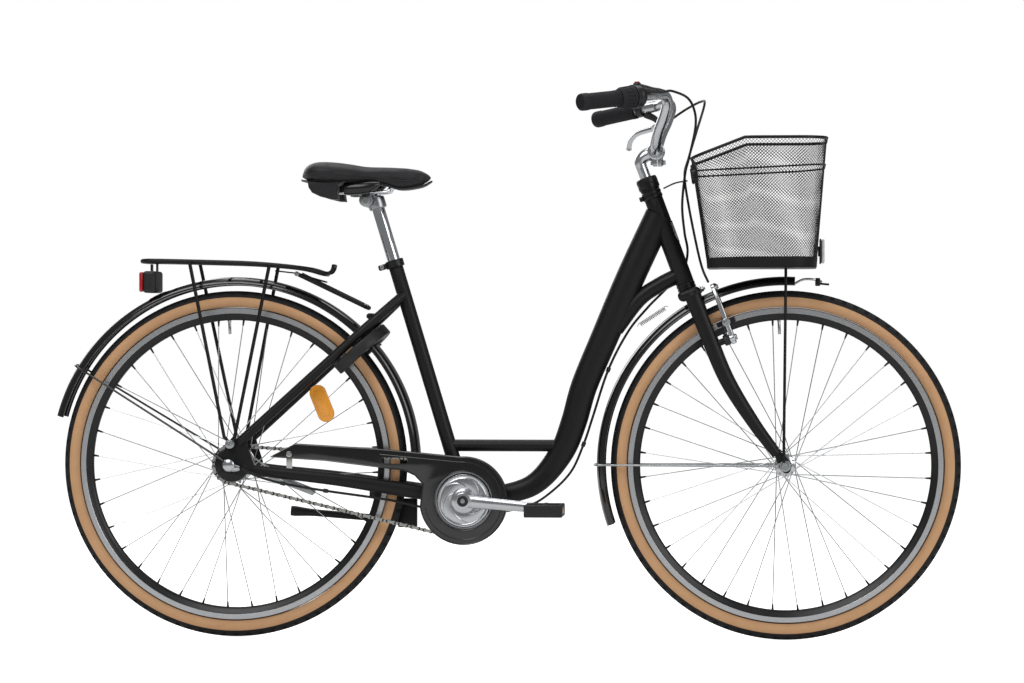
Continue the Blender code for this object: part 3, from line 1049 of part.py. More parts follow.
SADDLE_REAR = SEAT_X - 0.1434
SADDLE_ROWS = [
    (0.000, 0.45, 0.0440, 0.0335), (0.042, 0.80, 0.0580, 0.0315), (0.118, 0.97, 0.0650, 0.0310),
    (0.253, 1.00, 0.0645, 0.0305), (0.389, 0.83, 0.0605, 0.0300), (0.505, 0.60, 0.0560, 0.0295),
    (0.660, 0.40, 0.0555, 0.0270), (0.815, 0.31, 0.0535, 0.0240), (0.930, 0.25, 0.0490, 0.0260),
    (1.000, 0.10, 0.0400, 0.0320),
]


def saddle_loft(shape):
    """A body swept from the saddle's back to its nose. The shape gives each row's outline points."""
    bm = bmesh.new()
    rows = []
    for share, width, top, bottom in SADDLE_ROWS:
        x = SADDLE_REAR + share * SADDLE_LENGTH
        rows.append([bm.verts.new((x, y, SEAT_Z + z)) for y, z in shape(width * SADDLE_WIDTH / 2, top, bottom)])
    for row, after in zip(rows, rows[1:]):
        for i in range(len(row)):
            j = (i + 1) % len(row)
            bm.faces.new((row[i], row[j], after[j], after[i]))
    bm.faces.new(rows[0])
    bm.faces.new(rows[-1])
    return to_mesh(bm)


def cover_row(half, top, bottom):
    """The cushion's section: flat below and domed above."""
    tall = top - bottom
    right = [(half * 0.92, bottom), (half, bottom + tall * 0.40), (half * 0.86, top - tall * 0.16),
             (half * 0.45, top - tall * 0.02)]
    return right + [(-y, z) for y, z in reversed(right)]


def base_row(half, top, bottom):
    """The plastic shell's section, just below the cushion."""
    high = bottom - GAP
    low = bottom - 0.0065
    return [(half * 0.86, high), (half * 0.80, low), (-half * 0.80, low), (-half * 0.86, high)]


node("saddle_cover", saddle_loft(cover_row), SEAT_SKIN, pivot=SEAT_TOP)
saddle_base = node("saddle_base", saddle_loft(base_row), BLACK_PLASTIC, pivot=SEAT_TOP)
lobes = []
for side in (-1, 1):
    across = sorted((side * 0.034, side * 0.072))
    lobes.append(block((SADDLE_REAR + 0.020, across[0], SEAT_Z - 0.0040),
                       (SADDLE_REAR + 0.079, across[1], SEAT_Z + 0.0275), 0.008))
combine(saddle_base, "UNION", lobes, "MANIFOLD")

# ---------------------------------------------------------------- front brake
# Two upright arms on the fork's studs, each with a pad beside the rim's flat track.
PAD_GAP = 0.0018


def brake_arm(name, side):
    """One arm with its pad, in the steering frame and then in the bicycle's."""
    near, far = BRAKE_NEAR, BRAKE_FAR
    outline = [(BRAKE_ACROSS - 0.0075, -0.012), (BRAKE_ACROSS + 0.0075, -0.012), (BRAKE_ACROSS + 0.0075, 0.040),
               (BRAKE_ACROSS + 0.0045, 0.085), (BRAKE_ACROSS - 0.0035, 0.112), (BRAKE_ACROSS - 0.0125, 0.112),
               (BRAKE_ACROSS - 0.0065, 0.080), (BRAKE_ACROSS - 0.0055, 0.040)]
    bm = bmesh.new()
    face = bm.faces.new([bm.verts.new((near, side * y, BRAKE_UP + z)) for y, z in outline])
    grown = bmesh.ops.extrude_face_region(bm, geom=[face])
    verts = [item for item in grown["geom"] if isinstance(item, bmesh.types.BMVert)]
    bmesh.ops.translate(bm, verts=verts, vec=(far - near, 0.0, 0.0))
    pivot = steer_point((near + far) / 2, side * BRAKE_ACROSS, BRAKE_UP)
    arm = node(name, to_mesh(bm, STEER_FRAME), POLISHED_ALLOY, pivot=pivot)
    pad_height = RIM_RADIUS - 0.0068
    middle = (near + far) / 2
    pad_ends = sorted((side * (RIM_WIDTH / 2 + PAD_GAP), side * (RIM_WIDTH / 2 + PAD_GAP + 0.009)))
    combine(arm, "UNION", [
        block((middle - 0.020, pad_ends[0], pad_height - 0.0050), (middle + 0.018, pad_ends[1], pad_height + 0.0050),
              0.0015, STEER_FRAME),
        cylinder(0.0032, steer_point(middle, side * (RIM_WIDTH / 2 + PAD_GAP + 0.005), pad_height),
                 steer_point(middle, side * (BRAKE_ACROSS + 0.0105), pad_height), 10),
    ], "MANIFOLD")
    bore = (side * BRAKE_ACROSS, BRAKE_UP)
    combine(arm, "DIFFERENCE", [
        cylinder(BRAKE_STUD_RADIUS + RUNNING_GAP, steer_point(near - 0.02, *bore), steer_point(far + 0.02, *bore), 12)],
        "MANIFOLD")


brake_arm("brake_arm_left", 1)
brake_arm("brake_arm_right", -1)

# ---------------------------------------------------------------- basket
BASKET_WALL = 0.0020
BASKET_BOTTOM = 2 * TYRE_RADIUS + FENDER_GAP + 0.016
BASKET_BACK = WHEEL_BASE - 0.153
BASKET_FRONT = WHEEL_BASE + 0.062


def basket_ring(bm, low, inset):
    """One rounded outline of the basket, at its bottom or along its sloping rim."""
    grow = 0.0 if low else 1.0
    back = BASKET_BACK - 0.033 * grow + inset
    front = BASKET_FRONT + 0.021 * grow - inset
    half = 0.120 + 0.025 * grow - inset
    ring = []
    for corner_x, corner_y, start, radius in ((front, half, 0, 0.055), (back, half, 90, 0.030),
                                              (back, -half, 180, 0.030), (front, -half, 270, 0.055)):
        centre_x = corner_x - radius * (1 if corner_x == front else -1)
        centre_y = corner_y - radius * (1 if corner_y > 0 else -1)
        for step in range(4):
            turn = radians(start + 30 * step)
            x = centre_x + radius * cos(turn)
            rise = 0.258 - 0.042 * max(0.0, (BASKET_BACK + 0.075 - x) / 0.108) if grow else 0.0
            floor = inset if low else 0.0
            ring.append(bm.verts.new((x, centre_y + radius * sin(turn), BASKET_BOTTOM + rise + floor)))
    return ring


basket_bm = bmesh.new()
rings = [basket_ring(basket_bm, True, 0.0), basket_ring(basket_bm, False, 0.0),
         basket_ring(basket_bm, False, BASKET_WALL), basket_ring(basket_bm, True, BASKET_WALL)]
for lower, upper in zip(rings, rings[1:]):
    for i in range(16):
        j = (i + 1) % 16
        basket_bm.faces.new((lower[i], lower[j], upper[j], upper[i]))
basket_bm.faces.new(rings[0])
basket_bm.faces.new(rings[3])
node("basket", to_mesh(basket_bm), FRAME_PAINT, pivot=STEER_FOOT)
SUPPORT_RADIUS = 0.0030
support_across = FORK_END_OUTER + 0.0062
support_side = [(WHEEL_BASE - 0.003, support_across, AXLE_HEIGHT + 0.013),
                (WHEEL_BASE + 0.001, support_across, BASKET_BOTTOM - 0.025),
                (WHEEL_BASE + 0.001, support_across - 0.004, BASKET_BOTTOM - 0.009),
                (WHEEL_BASE + 0.001, support_across - 0.016, BASKET_BOTTOM - SUPPORT_RADIUS - GAP)]
support_route = support_side + [mirrored(point) for point in reversed(support_side)]
node("basket_support", rod(support_route, SUPPORT_RADIUS, 2), FRAME_PAINT, pivot=STEER_FOOT)
# ---------------------------------------------------------------- cables
# Each cable is held along its whole way, so it is made whole here.


def cable(name, route, radius, per_span, pivot=(0.0, 0.0, 0.0)):
    """A round cable along its own route."""
    points = [point - Vector(pivot) for point in smooth_route(route, per_span)]
    data = curve_of([tuple(point) for point in points], radius, 2)
    data.materials.append(look(f"{name}_black_rubber", *BLACK_RUBBER[1:]))
    part = bpy.data.objects.new(name, data)
    bpy.context.scene.collection.objects.link(part)
    part.parent = bicycle
    part.location = pivot


CABLE_RADIUS = 0.0025
CABLE_END_GAP = 0.0012
cable_top = BAR_TOP
brake_route = [
    CABLE_STOP + (CABLE_STOP - (LEVER_PIVOT + LEVER_AXIS * 0.010)).normalized() * CABLE_END_GAP,
    Vector((0.905, 0.130, cable_top - 0.012)),
    Vector((0.938, 0.090, cable_top + 0.002)),
    Vector((0.945, 0.065, cable_top - 0.006)),
    Vector((0.930, 0.045, cable_top - 0.060)),
    Vector((0.914, 0.034, cable_top - 0.115)),
    Vector((0.906, 0.030, cable_top - 0.150)),
    Vector((0.914, 0.031, 0.870)),
    Vector((0.931, 0.031, 0.785)),
    Vector((0.9420, 0.028, 0.742)),
    Vector(steer_point(0.044, 0.013, BRAKE_UP + 0.122)),
]
cable("brake_cable", brake_route, CABLE_RADIUS, 4, STEER_FOOT)
nozzle_way = (NOZZLE_END - NOZZLE_START).normalized()
shift_route = [
    NOZZLE_END + nozzle_way * CABLE_END_GAP,
    Vector((0.888, -0.175, cable_top + 0.006)),
    Vector((0.916, -0.125, cable_top - 0.004)),
    Vector((0.929, -0.090, cable_top - 0.028)),
    Vector((0.930, -0.065, cable_top - 0.060)),
    Vector((0.917, -0.045, cable_top - 0.118)),
    Vector((0.909, -0.038, cable_top - 0.150)),
    Vector((0.903, -0.032, 0.868)),
    Vector((0.907, -0.014, 0.815)),
    Vector((0.9125, 0.013, 0.775)),
    Vector((0.901, 0.031, 0.735)),
    Vector((0.862, 0.033, 0.695)),
    Vector((0.832, 0.020, 0.664)),
    Vector((0.7935, 0.008, 0.616)),
    Vector((0.754, 0.003, 0.5395)),
    Vector((0.7230, 0.000, 0.4450)),
    Vector((0.7045, 0.000, 0.390)),
    Vector((0.678, -0.002, 0.333)),
    Vector((0.632, -0.006, 0.2880)),
    Vector((0.590, -0.009, 0.2650)),
    Vector((0.530, -0.012, 0.2530)),
    Vector((0.467, -0.018, 0.2520)),
    Vector((0.400, -0.030, 0.2600)),
    Vector((0.320, -0.041, 0.2780)),
    Vector((0.190, -0.053, 0.2970)),
    Vector((0.105, -0.064, 0.3120)),
    Vector((0.056, -0.080, 0.3270)),
    Vector((0.0240, -0.0865, AXLE_HEIGHT - 0.0058)),
]
cable("shift_cable", shift_route, CABLE_RADIUS, 2)
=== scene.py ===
import json
from math import acos, atan2, cos, pi, radians, sin, sqrt

import bmesh
import bpy
from mathutils import Matrix, Vector


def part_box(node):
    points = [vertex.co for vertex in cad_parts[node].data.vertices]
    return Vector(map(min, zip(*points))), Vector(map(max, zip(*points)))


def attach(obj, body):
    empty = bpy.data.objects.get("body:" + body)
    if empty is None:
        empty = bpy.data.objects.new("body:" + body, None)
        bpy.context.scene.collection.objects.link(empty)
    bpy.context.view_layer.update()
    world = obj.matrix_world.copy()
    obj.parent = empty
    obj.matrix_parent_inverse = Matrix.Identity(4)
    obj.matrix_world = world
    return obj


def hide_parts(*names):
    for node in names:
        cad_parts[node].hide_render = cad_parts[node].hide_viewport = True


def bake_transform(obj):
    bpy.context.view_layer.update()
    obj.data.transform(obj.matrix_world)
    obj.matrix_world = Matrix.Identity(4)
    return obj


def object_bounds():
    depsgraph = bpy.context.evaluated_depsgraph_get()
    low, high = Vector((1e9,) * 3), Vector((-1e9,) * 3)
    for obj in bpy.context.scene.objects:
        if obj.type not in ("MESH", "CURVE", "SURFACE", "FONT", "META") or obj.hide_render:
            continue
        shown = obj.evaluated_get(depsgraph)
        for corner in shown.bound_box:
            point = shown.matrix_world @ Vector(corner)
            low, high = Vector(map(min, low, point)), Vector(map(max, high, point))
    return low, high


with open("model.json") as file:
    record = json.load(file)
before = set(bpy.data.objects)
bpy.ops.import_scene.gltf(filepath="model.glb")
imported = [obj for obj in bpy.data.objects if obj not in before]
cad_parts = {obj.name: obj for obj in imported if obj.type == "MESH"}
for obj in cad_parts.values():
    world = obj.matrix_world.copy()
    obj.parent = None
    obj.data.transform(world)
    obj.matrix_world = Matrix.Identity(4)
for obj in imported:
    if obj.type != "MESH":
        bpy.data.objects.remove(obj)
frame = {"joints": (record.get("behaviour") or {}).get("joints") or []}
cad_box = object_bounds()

# ---------------------------------------------------------------- studio
# A pale floor just under the tyres and three large soft lamps. The camera stands level with the
# wheels, on the chain's side, far enough back for a long lens.
joints = {joint["name"]: joint for joint in frame["joints"]}


def joint_place(name):
    """The point that a joint turns about."""
    return Vector(joints[name]["pos_m"])


REAR = joint_place("rear_wheel_spin")
FRONT = joint_place("front_wheel_spin")
BRACKET = joint_place("crank_spin")


def linear(colour):
    """An sRGB hex colour as linear numbers with an alpha of 1."""
    parts = [int(colour[i : i + 2], 16) / 255 for i in (1, 3, 5)]
    return (*(c / 12.92 if c <= 0.04045 else ((c + 0.055) / 1.055) ** 2.4 for c in parts), 1.0)


def add(tree, kind, inputs=None, **settings):
    """Adds a node, with its settings, and fills its inputs with values or with other nodes' outputs."""
    fresh = tree.nodes.new(kind)
    for name, value in settings.items():
        setattr(fresh, name, value)
    for name, value in (inputs or {}).items():
        if isinstance(value, bpy.types.NodeSocket):
            tree.links.new(value, fresh.inputs[name])
        else:
            fresh.inputs[name].default_value = value
    return fresh


def new_material(name, colour, roughness, metallic=0.0, **sockets):
    """A material with a Principled shader. It returns the material, its tree, its shader and Object coordinates."""
    material = bpy.data.materials.new(name)
    material.use_nodes = True
    tree = material.node_tree
    shader = tree.nodes["Principled BSDF"]
    shader.inputs["Base Color"].default_value = linear(colour)
    shader.inputs["Roughness"].default_value = roughness
    shader.inputs["Metallic"].default_value = metallic
    for socket, value in sockets.items():
        shader.inputs[socket.replace("_", " ")].default_value = value
    place = add(tree, "ShaderNodeTexCoord").outputs["Object"]
    return material, tree, shader, place


def studio_floor():
    """Matt painted board, with the faint unevenness of a rolled coat."""
    material, tree, shader, place = new_material("rolled_matt_board_paint", "#F4F4F3", 0.9)
    uneven = add(tree, "ShaderNodeTexNoise", {"Vector": place, "Scale": 14.0, "Detail": 3.0})
    tone = add(tree, "ShaderNodeMix", {
        "Factor": uneven.outputs["Fac"], "A": linear("#F2F2F1"), "B": linear("#F7F7F6")}, data_type="RGBA")
    tree.links.new(tone.outputs[2], shader.inputs["Base Color"])
    shader.inputs["Emission Color"].default_value = (1.0, 1.0, 1.0, 1.0)
    tree.links.new(add(tree, "ShaderNodeMath", {0: add(tree, "ShaderNodeLightPath").outputs["Is Camera Ray"],
                                                1: BOARD_GLOW}, operation="MULTIPLY").outputs["Value"],
                   shader.inputs["Emission Strength"])
    return material


BOARD_GLOW = 0.86
FLOOR_HALF = 30.0
floor_bm = bmesh.new()
bmesh.ops.create_grid(floor_bm, x_segments=2, y_segments=2, size=FLOOR_HALF)
floor_mesh = bpy.data.meshes.new("studio_floor")
floor_bm.to_mesh(floor_mesh)
floor_bm.free()
floor_mesh.transform(Matrix.Translation((0.0, 0.0, cad_box[0].z - 0.001)))
floor_mesh.materials.append(studio_floor())
floor = bpy.data.objects.new("studio_floor", floor_mesh)
bpy.context.scene.collection.objects.link(floor)

MIDDLE = (cad_box[0] + cad_box[1]) / 2
for name, offset, size, power in (
    ("key_lamp", (-1.6, -3.6, 3.6), 3.0, 115.0),
    ("fill_lamp", (3.4, -3.0, 1.8), 2.6, 60.0),
    ("top_lamp", (0.2, 1.2, 4.2), 3.6, 90.0),
    ("back_lamp", (-2.4, 3.8, 2.0), 2.6, 50.0),
):
    lamp_data = bpy.data.lights.new(name, "AREA")
    lamp_data.shape = "SQUARE"
    lamp_data.size = size
    lamp_data.energy = power
    lamp = bpy.data.objects.new(name, lamp_data)
    bpy.context.scene.collection.objects.link(lamp)
    lamp.location = MIDDLE + Vector(offset)
    lamp.rotation_euler = (MIDDLE - lamp.location).to_track_quat("-Z", "Y").to_euler()

world = bpy.data.worlds.new("studio")
world.use_nodes = True
sky = world.node_tree.nodes["Background"]
sky.inputs["Color"].default_value = (1.0, 1.0, 1.0, 1.0)
seen = add(world.node_tree, "ShaderNodeLightPath").outputs["Is Camera Ray"]
strength = add(world.node_tree, "ShaderNodeMapRange", {"Value": seen, "To Min": 0.22, "To Max": 1.0})
world.node_tree.links.new(strength.outputs["Result"], sky.inputs["Strength"])
bpy.context.scene.world = world
bpy.context.scene.view_settings.view_transform = "Standard"

CAMERA_BACK = 7.2
CAMERA_HEIGHT = 0.620
CAMERA_TURN = radians(4.358)
CAMERA_DIP = radians(0.190)
camera_data = bpy.data.cameras.new("camera")
camera_data.lens = 126.3
camera_data.sensor_width = 36.0
camera = bpy.data.objects.new("camera", camera_data)
bpy.context.scene.collection.objects.link(camera)
camera.location = (FRONT.x + 0.001, -CAMERA_BACK, CAMERA_HEIGHT)
camera.rotation_euler = (pi / 2 - CAMERA_DIP, 0.0, CAMERA_TURN)
bpy.context.scene.camera = camera

# ---------------------------------------------------------------- frame
# Butt-welded aluminium tubes: one large tube bent from the head to the bracket shell, a short brace at
# the head, a cross tube, a seat tube and two pairs of stays with plate ends. Powder coated matt black.


def grain(tree, place, size_mm, depth_mm, shader, detail=2.0, normal=None):
    """A fine bump of noise whose lumps are size_mm wide and depth_mm high."""
    lumps = add(tree, "ShaderNodeTexNoise", {"Vector": place, "Scale": 1000.0 / size_mm, "Detail": detail})
    bump = add(tree, "ShaderNodeBump", {"Height": lumps.outputs["Fac"], "Distance": depth_mm / 1000.0,
                                        "Strength": 0.6})
    if normal is not None:
        tree.links.new(normal, bump.inputs["Normal"])
    tree.links.new(bump.outputs["Normal"], shader.inputs["Normal"])
    return bump.outputs["Normal"]


def mottle(tree, place, size_mm, colours, roughness, shader):
    """Slow changes of tone and gloss across a surface, as handling and dust leave them."""
    cloud = add(tree, "ShaderNodeTexNoise", {"Vector": place, "Scale": 1000.0 / size_mm, "Detail": 5.0,
                                             "Roughness": 0.6})
    tone = add(tree, "ShaderNodeMix", {"Factor": cloud.outputs["Fac"], "A": linear(colours[0]),
                                       "B": linear(colours[1])}, data_type="RGBA")
    tree.links.new(tone.outputs[2], shader.inputs["Base Color"])
    gloss = add(tree, "ShaderNodeMapRange", {"Value": cloud.outputs["Fac"], "From Min": 0.3, "From Max": 0.7,
                                             "To Min": roughness[0], "To Max": roughness[1]})
    tree.links.new(gloss.outputs["Result"], shader.inputs["Roughness"])
    return cloud.outputs["Fac"]


def powder_coat():
    """Baked polyester powder: matt black with a fine orange-peel texture that breaks up its highlights."""
    material, tree, shader, place = new_material("matt_black_powder_coat", "#0F0F11", 0.42, IOR=1.5, Specular_IOR_Level=0.28)
    mottle(tree, place, 90.0, ("#0D0D0F", "#131316"), (0.38, 0.47), shader)
    grain(tree, place, 1.6, 0.06, shader)
    return material


POWDER_COAT = powder_coat()


def as_mesh(bm, frame_matrix=None):
    """The finished mesh of a bmesh, merged, with its faces turned outward."""
    bmesh.ops.remove_doubles(bm, verts=bm.verts, dist=1e-6)
    bmesh.ops.recalc_face_normals(bm, faces=bm.faces)
    mesh = bpy.data.meshes.new("piece")
    bm.to_mesh(mesh)
    bm.free()
    if frame_matrix is not None:
        mesh.transform(frame_matrix)
    return mesh


def join(meshes):
    """Several meshes as one."""
    bm = bmesh.new()
    for mesh in meshes:
        bm.from_mesh(mesh)
        bpy.data.meshes.remove(mesh)
    joined = bpy.data.meshes.new("piece")
    bm.to_mesh(joined)
    bm.free()
    return joined


def piece(name, mesh, material, body, replaces=(), sharp=32.0):
    """One visible piece at the origin, which rides on a body of the model and may stand for its nodes."""
    if isinstance(mesh, list):
        mesh = join(mesh)
    mesh.name = name
    mesh.materials.clear()
    mesh.materials.append(material)
    mesh.shade_smooth()
    mesh.set_sharp_from_angle(angle=radians(sharp))
    made = bpy.data.objects.new(name, mesh)
    bpy.context.scene.collection.objects.link(made)
    if body is not None:
        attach(made, body)
    if replaces:
        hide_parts(*([replaces] if isinstance(replaces, str) else replaces))
    return made


def smooth_route(points, per_span=6):
    """A smooth curve through the points, which may carry a radius as their fourth number."""
    rows = [Vector(point) for point in points]
    rows = [2 * rows[0] - rows[1]] + rows + [2 * rows[-1] - rows[-2]]
    route = []
    for i in range(1, len(rows) - 2):
        before, start, end, after = rows[i - 1 : i + 3]
        for step in range(per_span):
            t = step / per_span
            bend = 2 * before - 5 * start + 4 * end - after
            twist = 3 * start - before - 3 * end + after
            route.append(0.5 * (2 * start + (end - before) * t + bend * t * t + twist * t**3))
    route.append(rows[-2])
    return route


def rod(points, radius, sides=20, flat=None, closed=False, smooth=0):
    """A round rod along the points. A flat below 1 makes it narrower across the bicycle."""
    if smooth:
        points = smooth_route(points, smooth)
    if flat is not None:
        points = [(point[0], point[1] / flat, *point[2:]) for point in points]
    data = bpy.data.curves.new("route", "CURVE")
    data.dimensions = "3D"
    data.bevel_depth = radius
    data.bevel_resolution = max(0, sides // 2 - 2)
    data.use_fill_caps = not closed
    spline = data.splines.new("POLY")
    spline.points.add(len(points) - 1)
    spline.use_cyclic_u = closed
    for spot, point in zip(spline.points, points):
        spot.co = (*point[:3], 1.0)
        spot.radius = point[3] / radius if len(point) > 3 else 1.0
    carrier = bpy.data.objects.new("route", data)
    bm = bmesh.new()
    bm.from_mesh(bpy.data.meshes.new_from_object(carrier))
    bpy.data.objects.remove(carrier)
    mesh = as_mesh(bm)
    if flat is not None:
        mesh.transform(Matrix.Scale(flat, 4, (0, 1, 0)))
    return mesh


TURNS = {
    "Z": Matrix.Identity(4),
    "Y": Matrix.Rotation(-pi / 2, 4, "X"),
    "X": Matrix.Rotation(pi / 2, 4, "Y"),
}


def turned(profile, steps=48, centre=(0.0, 0.0, 0.0), along="Y", ring=False):
    """A solid of revolution. Its profile is (radius, place along the axis), and a ring's profile closes."""
    bm = bmesh.new()
    corners = [bm.verts.new((radius, 0.0, place)) for radius, place in profile]
    pairs = list(zip(corners, corners[1:]))
    if ring:
        pairs.append((corners[-1], corners[0]))
    edges = [bm.edges.new(pair) for pair in pairs]
    bmesh.ops.spin(bm, geom=corners + edges, cent=(0, 0, 0), axis=(0, 0, 1), dvec=(0, 0, 0), angle=2 * pi,
                   steps=steps, use_merge=True)
    turn = TURNS[along] if isinstance(along, str) else along.to_track_quat("Z", "Y").to_matrix().to_4x4()
    return as_mesh(bm, Matrix.Translation(Vector(centre)) @ turn)


def bar(radius, start, end, sides=24, round_over=0.0006):
    """A straight round bar between two points, with its end edges rounded over."""
    start = Vector(start)
    way = Vector(end) - start
    length = way.length
    soft = min(round_over, radius * 0.45, length * 0.3)
    profile = [(0.0, 0.0), (radius - soft, 0.0), (radius - soft * 0.3, soft * 0.3), (radius, soft),
               (radius, length - soft), (radius - soft * 0.3, length - soft * 0.3), (radius - soft, length),
               (0.0, length)]
    return turned(profile, sides, start, way.normalized())


def solid(outline, low, high, bevel=0.0, segments=2, frame_matrix=None):
    """A plate of an (x, z) outline between two places across the bicycle, with its rims rounded."""
    bm = bmesh.new()
    face = bm.faces.new([bm.verts.new((x, low, z)) for x, z in outline])
    grown = bmesh.ops.extrude_face_region(bm, geom=[face])
    far = [item for item in grown["geom"] if isinstance(item, bmesh.types.BMVert)]
    bmesh.ops.translate(bm, verts=far, vec=(0.0, high - low, 0.0))
    if bevel:
        rims = [edge for edge in bm.edges if abs(edge.verts[0].co.y - edge.verts[1].co.y) < 1e-7]
        bmesh.ops.bevel(bm, geom=rims, offset=bevel, segments=segments, profile=0.5, affect="EDGES", material=-1)
    return as_mesh(bm, frame_matrix)


def box_of(low, high, bevel=0.001, segments=2, frame_matrix=None):
    """A block between two corners with rounded edges."""
    low, high = Vector(low), Vector(high)
    bm = bmesh.new()
    size = Matrix.Diagonal((*(high - low), 1.0))
    bmesh.ops.create_cube(bm, size=1.0, matrix=Matrix.Translation((low + high) / 2) @ size)
    if bevel:
        bmesh.ops.bevel(bm, geom=bm.edges, offset=bevel, segments=segments, profile=0.5, affect="EDGES",
                        material=-1)
    return as_mesh(bm, frame_matrix)


def combined(base, others, operation="UNION"):
    """One solid from several, by a Boolean that is applied."""
    carrier = bpy.data.objects.new("carrier", base)
    bpy.context.scene.collection.objects.link(carrier)
    guides = []
    for mesh in others:
        guide = bpy.data.objects.new("guide", mesh)
        bpy.context.scene.collection.objects.link(guide)
        modifier = carrier.modifiers.new("shape", "BOOLEAN")
        modifier.operation = operation
        modifier.solver = "MANIFOLD"
        modifier.object = guide
        guides.append(guide)
    bpy.context.view_layer.update()
    result = bpy.data.meshes.new_from_object(carrier.evaluated_get(bpy.context.evaluated_depsgraph_get()))
    for guide in [carrier] + guides:
        bpy.data.objects.remove(guide)
    return result


def arc(centre, radius, start, end, count):
    """Points of an arc in the (x, z) plane."""
    turns = [start + (end - start) * i / (count - 1) for i in range(count)]
    return [(centre[0] + radius * cos(turn), centre[1] + radius * sin(turn)) for turn in turns]


STEER_FOOT = joint_place("steering_turn")
STEER_UP = Vector(joints["steering_turn"]["axis"])
STEER_FORWARD = Vector((STEER_UP.z, 0.0, -STEER_UP.x))
STEER_FRAME = Matrix.Translation(STEER_FOOT) @ Matrix.Rotation(-atan2(-STEER_UP.x, STEER_UP.z), 4, "Y")
SEAT_UP = Vector(joints["seatpost_slide"]["axis"])


def steer_point(forward, across, up):
    """A point given along the steering axis."""
    return STEER_FRAME @ Vector((forward, across, up))


def on_seat_tube(height):
    """The point of the seat tube's axis at a height above the ground."""
    return BRACKET + SEAT_UP * ((height - BRACKET.z) / SEAT_UP.z)


def mirrored(point):
    """The point on the other side of the bicycle."""
    return (point[0], -point[1], *point[2:])


HEAD_BOTTOM = 0.4108
HEAD_TOP = 0.5908
HEAD_TUBE_RADIUS = 0.0185
SEAT_TUBE_RADIUS = 0.0145
SEAT_TOP_HEIGHT = 0.757
SHELL_RADIUS = 0.0210
SHELL_HALF = 0.0340
DROPOUT_INNER = 0.0635
DROPOUT_OUTER = DROPOUT_INNER + 0.005
HEAD_MIDDLE = steer_point(0.0, 0.0, HEAD_TOP - 0.034)
main_route = [
    (HEAD_MIDDLE.x, 0.0, HEAD_MIDDLE.z, 0.0290),
    (HEAD_MIDDLE.x - 0.0588, 0.0, HEAD_MIDDLE.z - 0.1260, 0.0290),
    (BRACKET.x + 0.279, 0.0, BRACKET.z + 0.325, 0.0278),
    (BRACKET.x + 0.239, 0.0, BRACKET.z + 0.230, 0.0268),
    (BRACKET.x + 0.218, 0.0, BRACKET.z + 0.157, 0.0262),
    (BRACKET.x + 0.194, 0.0, BRACKET.z + 0.097, 0.0250),
    (BRACKET.x + 0.150, 0.0, BRACKET.z + 0.041, 0.0225),
    (BRACKET.x + 0.100, 0.0, BRACKET.z + 0.016, 0.0205),
    (BRACKET.x + 0.007, 0.0, BRACKET.z + 0.001, 0.0190),
]
brace_foot = steer_point(0.0, 0.0, HEAD_BOTTOM + 0.021)
brace_route = [(brace_foot.x + x, 0.0, brace_foot.z + z, 0.0155)
               for x, z in ((0.002, 0.0), (-0.044, -0.023), (-0.086, -0.053), (-0.131, -0.112))]
cross_height = REAR.z + 0.038
STAY_FOOT = REAR + Vector((0.016, 0.0, 0.044))
STAY_TOP = on_seat_tube(0.690)


def frame_stay_meshes(side):
    """The chainstay, the seat stay and the axle plate of one side."""
    chainstay = [
        (BRACKET.x - 0.004, side * 0.020, BRACKET.z + 0.002, 0.0150),
        (BRACKET.x - 0.075, side * 0.0280, BRACKET.z + 0.014, 0.0150),
        (BRACKET.x - 0.140, side * 0.0330, BRACKET.z + 0.024, 0.0145),
        (BRACKET.x - 0.260, side * 0.0470, BRACKET.z + 0.042, 0.0125),
        (REAR.x + 0.070, side * (DROPOUT_INNER - 0.0055), REAR.z - 0.014, 0.0105),
        (REAR.x + 0.022, side * (DROPOUT_INNER + 0.0023), REAR.z - 0.006, 0.0100),
    ]
    seatstay = []
    for share, across in ((0.0, DROPOUT_INNER + 0.0023), (0.30, 0.0585), (0.62, 0.0500), (0.83, 0.0405),
                          (0.94, 0.0250), (1.0, 0.0100)):
        spot = STAY_FOOT.lerp(STAY_TOP, share)
        seatstay.append((spot.x, side * across, spot.z))
    corners = [(-0.022, -0.016), (0.024, -0.022), (0.042, -0.014), (0.046, 0.002), (0.036, 0.034),
               (0.030, 0.056), (0.012, 0.054), (-0.006, 0.042), (-0.024, 0.012)]
    outline = [(REAR.x + x, REAR.z + z) for x, z in corners]
    inner, outer = sorted((side * DROPOUT_INNER, side * DROPOUT_OUTER))
    return [
        rod(chainstay, 0.015, 20, flat=0.60, smooth=6),
        rod(seatstay, 0.0095, 20, smooth=6),
        solid(outline, inner, outer, bevel=0.0008),
    ]


frame_bars = [
    rod(main_route, 0.027, 32, flat=0.78, smooth=6),
    rod(brace_route, 0.0155, 24, smooth=5),
    rod([on_seat_tube(cross_height), (BRACKET.x + 0.190, 0.0, cross_height)], 0.012, 24),
    bar(SEAT_TUBE_RADIUS, BRACKET + SEAT_UP * 0.012, on_seat_tube(SEAT_TOP_HEIGHT), 32),
    bar(SHELL_RADIUS, BRACKET - Vector((0, SHELL_HALF, 0)), BRACKET + Vector((0, SHELL_HALF, 0)), 40),
    bar(0.006, BRACKET + Vector((-0.082, -0.026, 0.016)), BRACKET + Vector((-0.082, 0.026, 0.016))),
    bar(0.006, REAR + Vector((0.2760, -0.036, 0.2980)), REAR + Vector((0.2760, 0.036, 0.2980))),
]
for side in (-1, 1):
    frame_bars += frame_stay_meshes(side)
head_tube = bar(HEAD_TUBE_RADIUS, steer_point(0, 0, HEAD_BOTTOM), steer_point(0, 0, HEAD_TOP), 40)
frame_mesh = combined(head_tube, frame_bars)
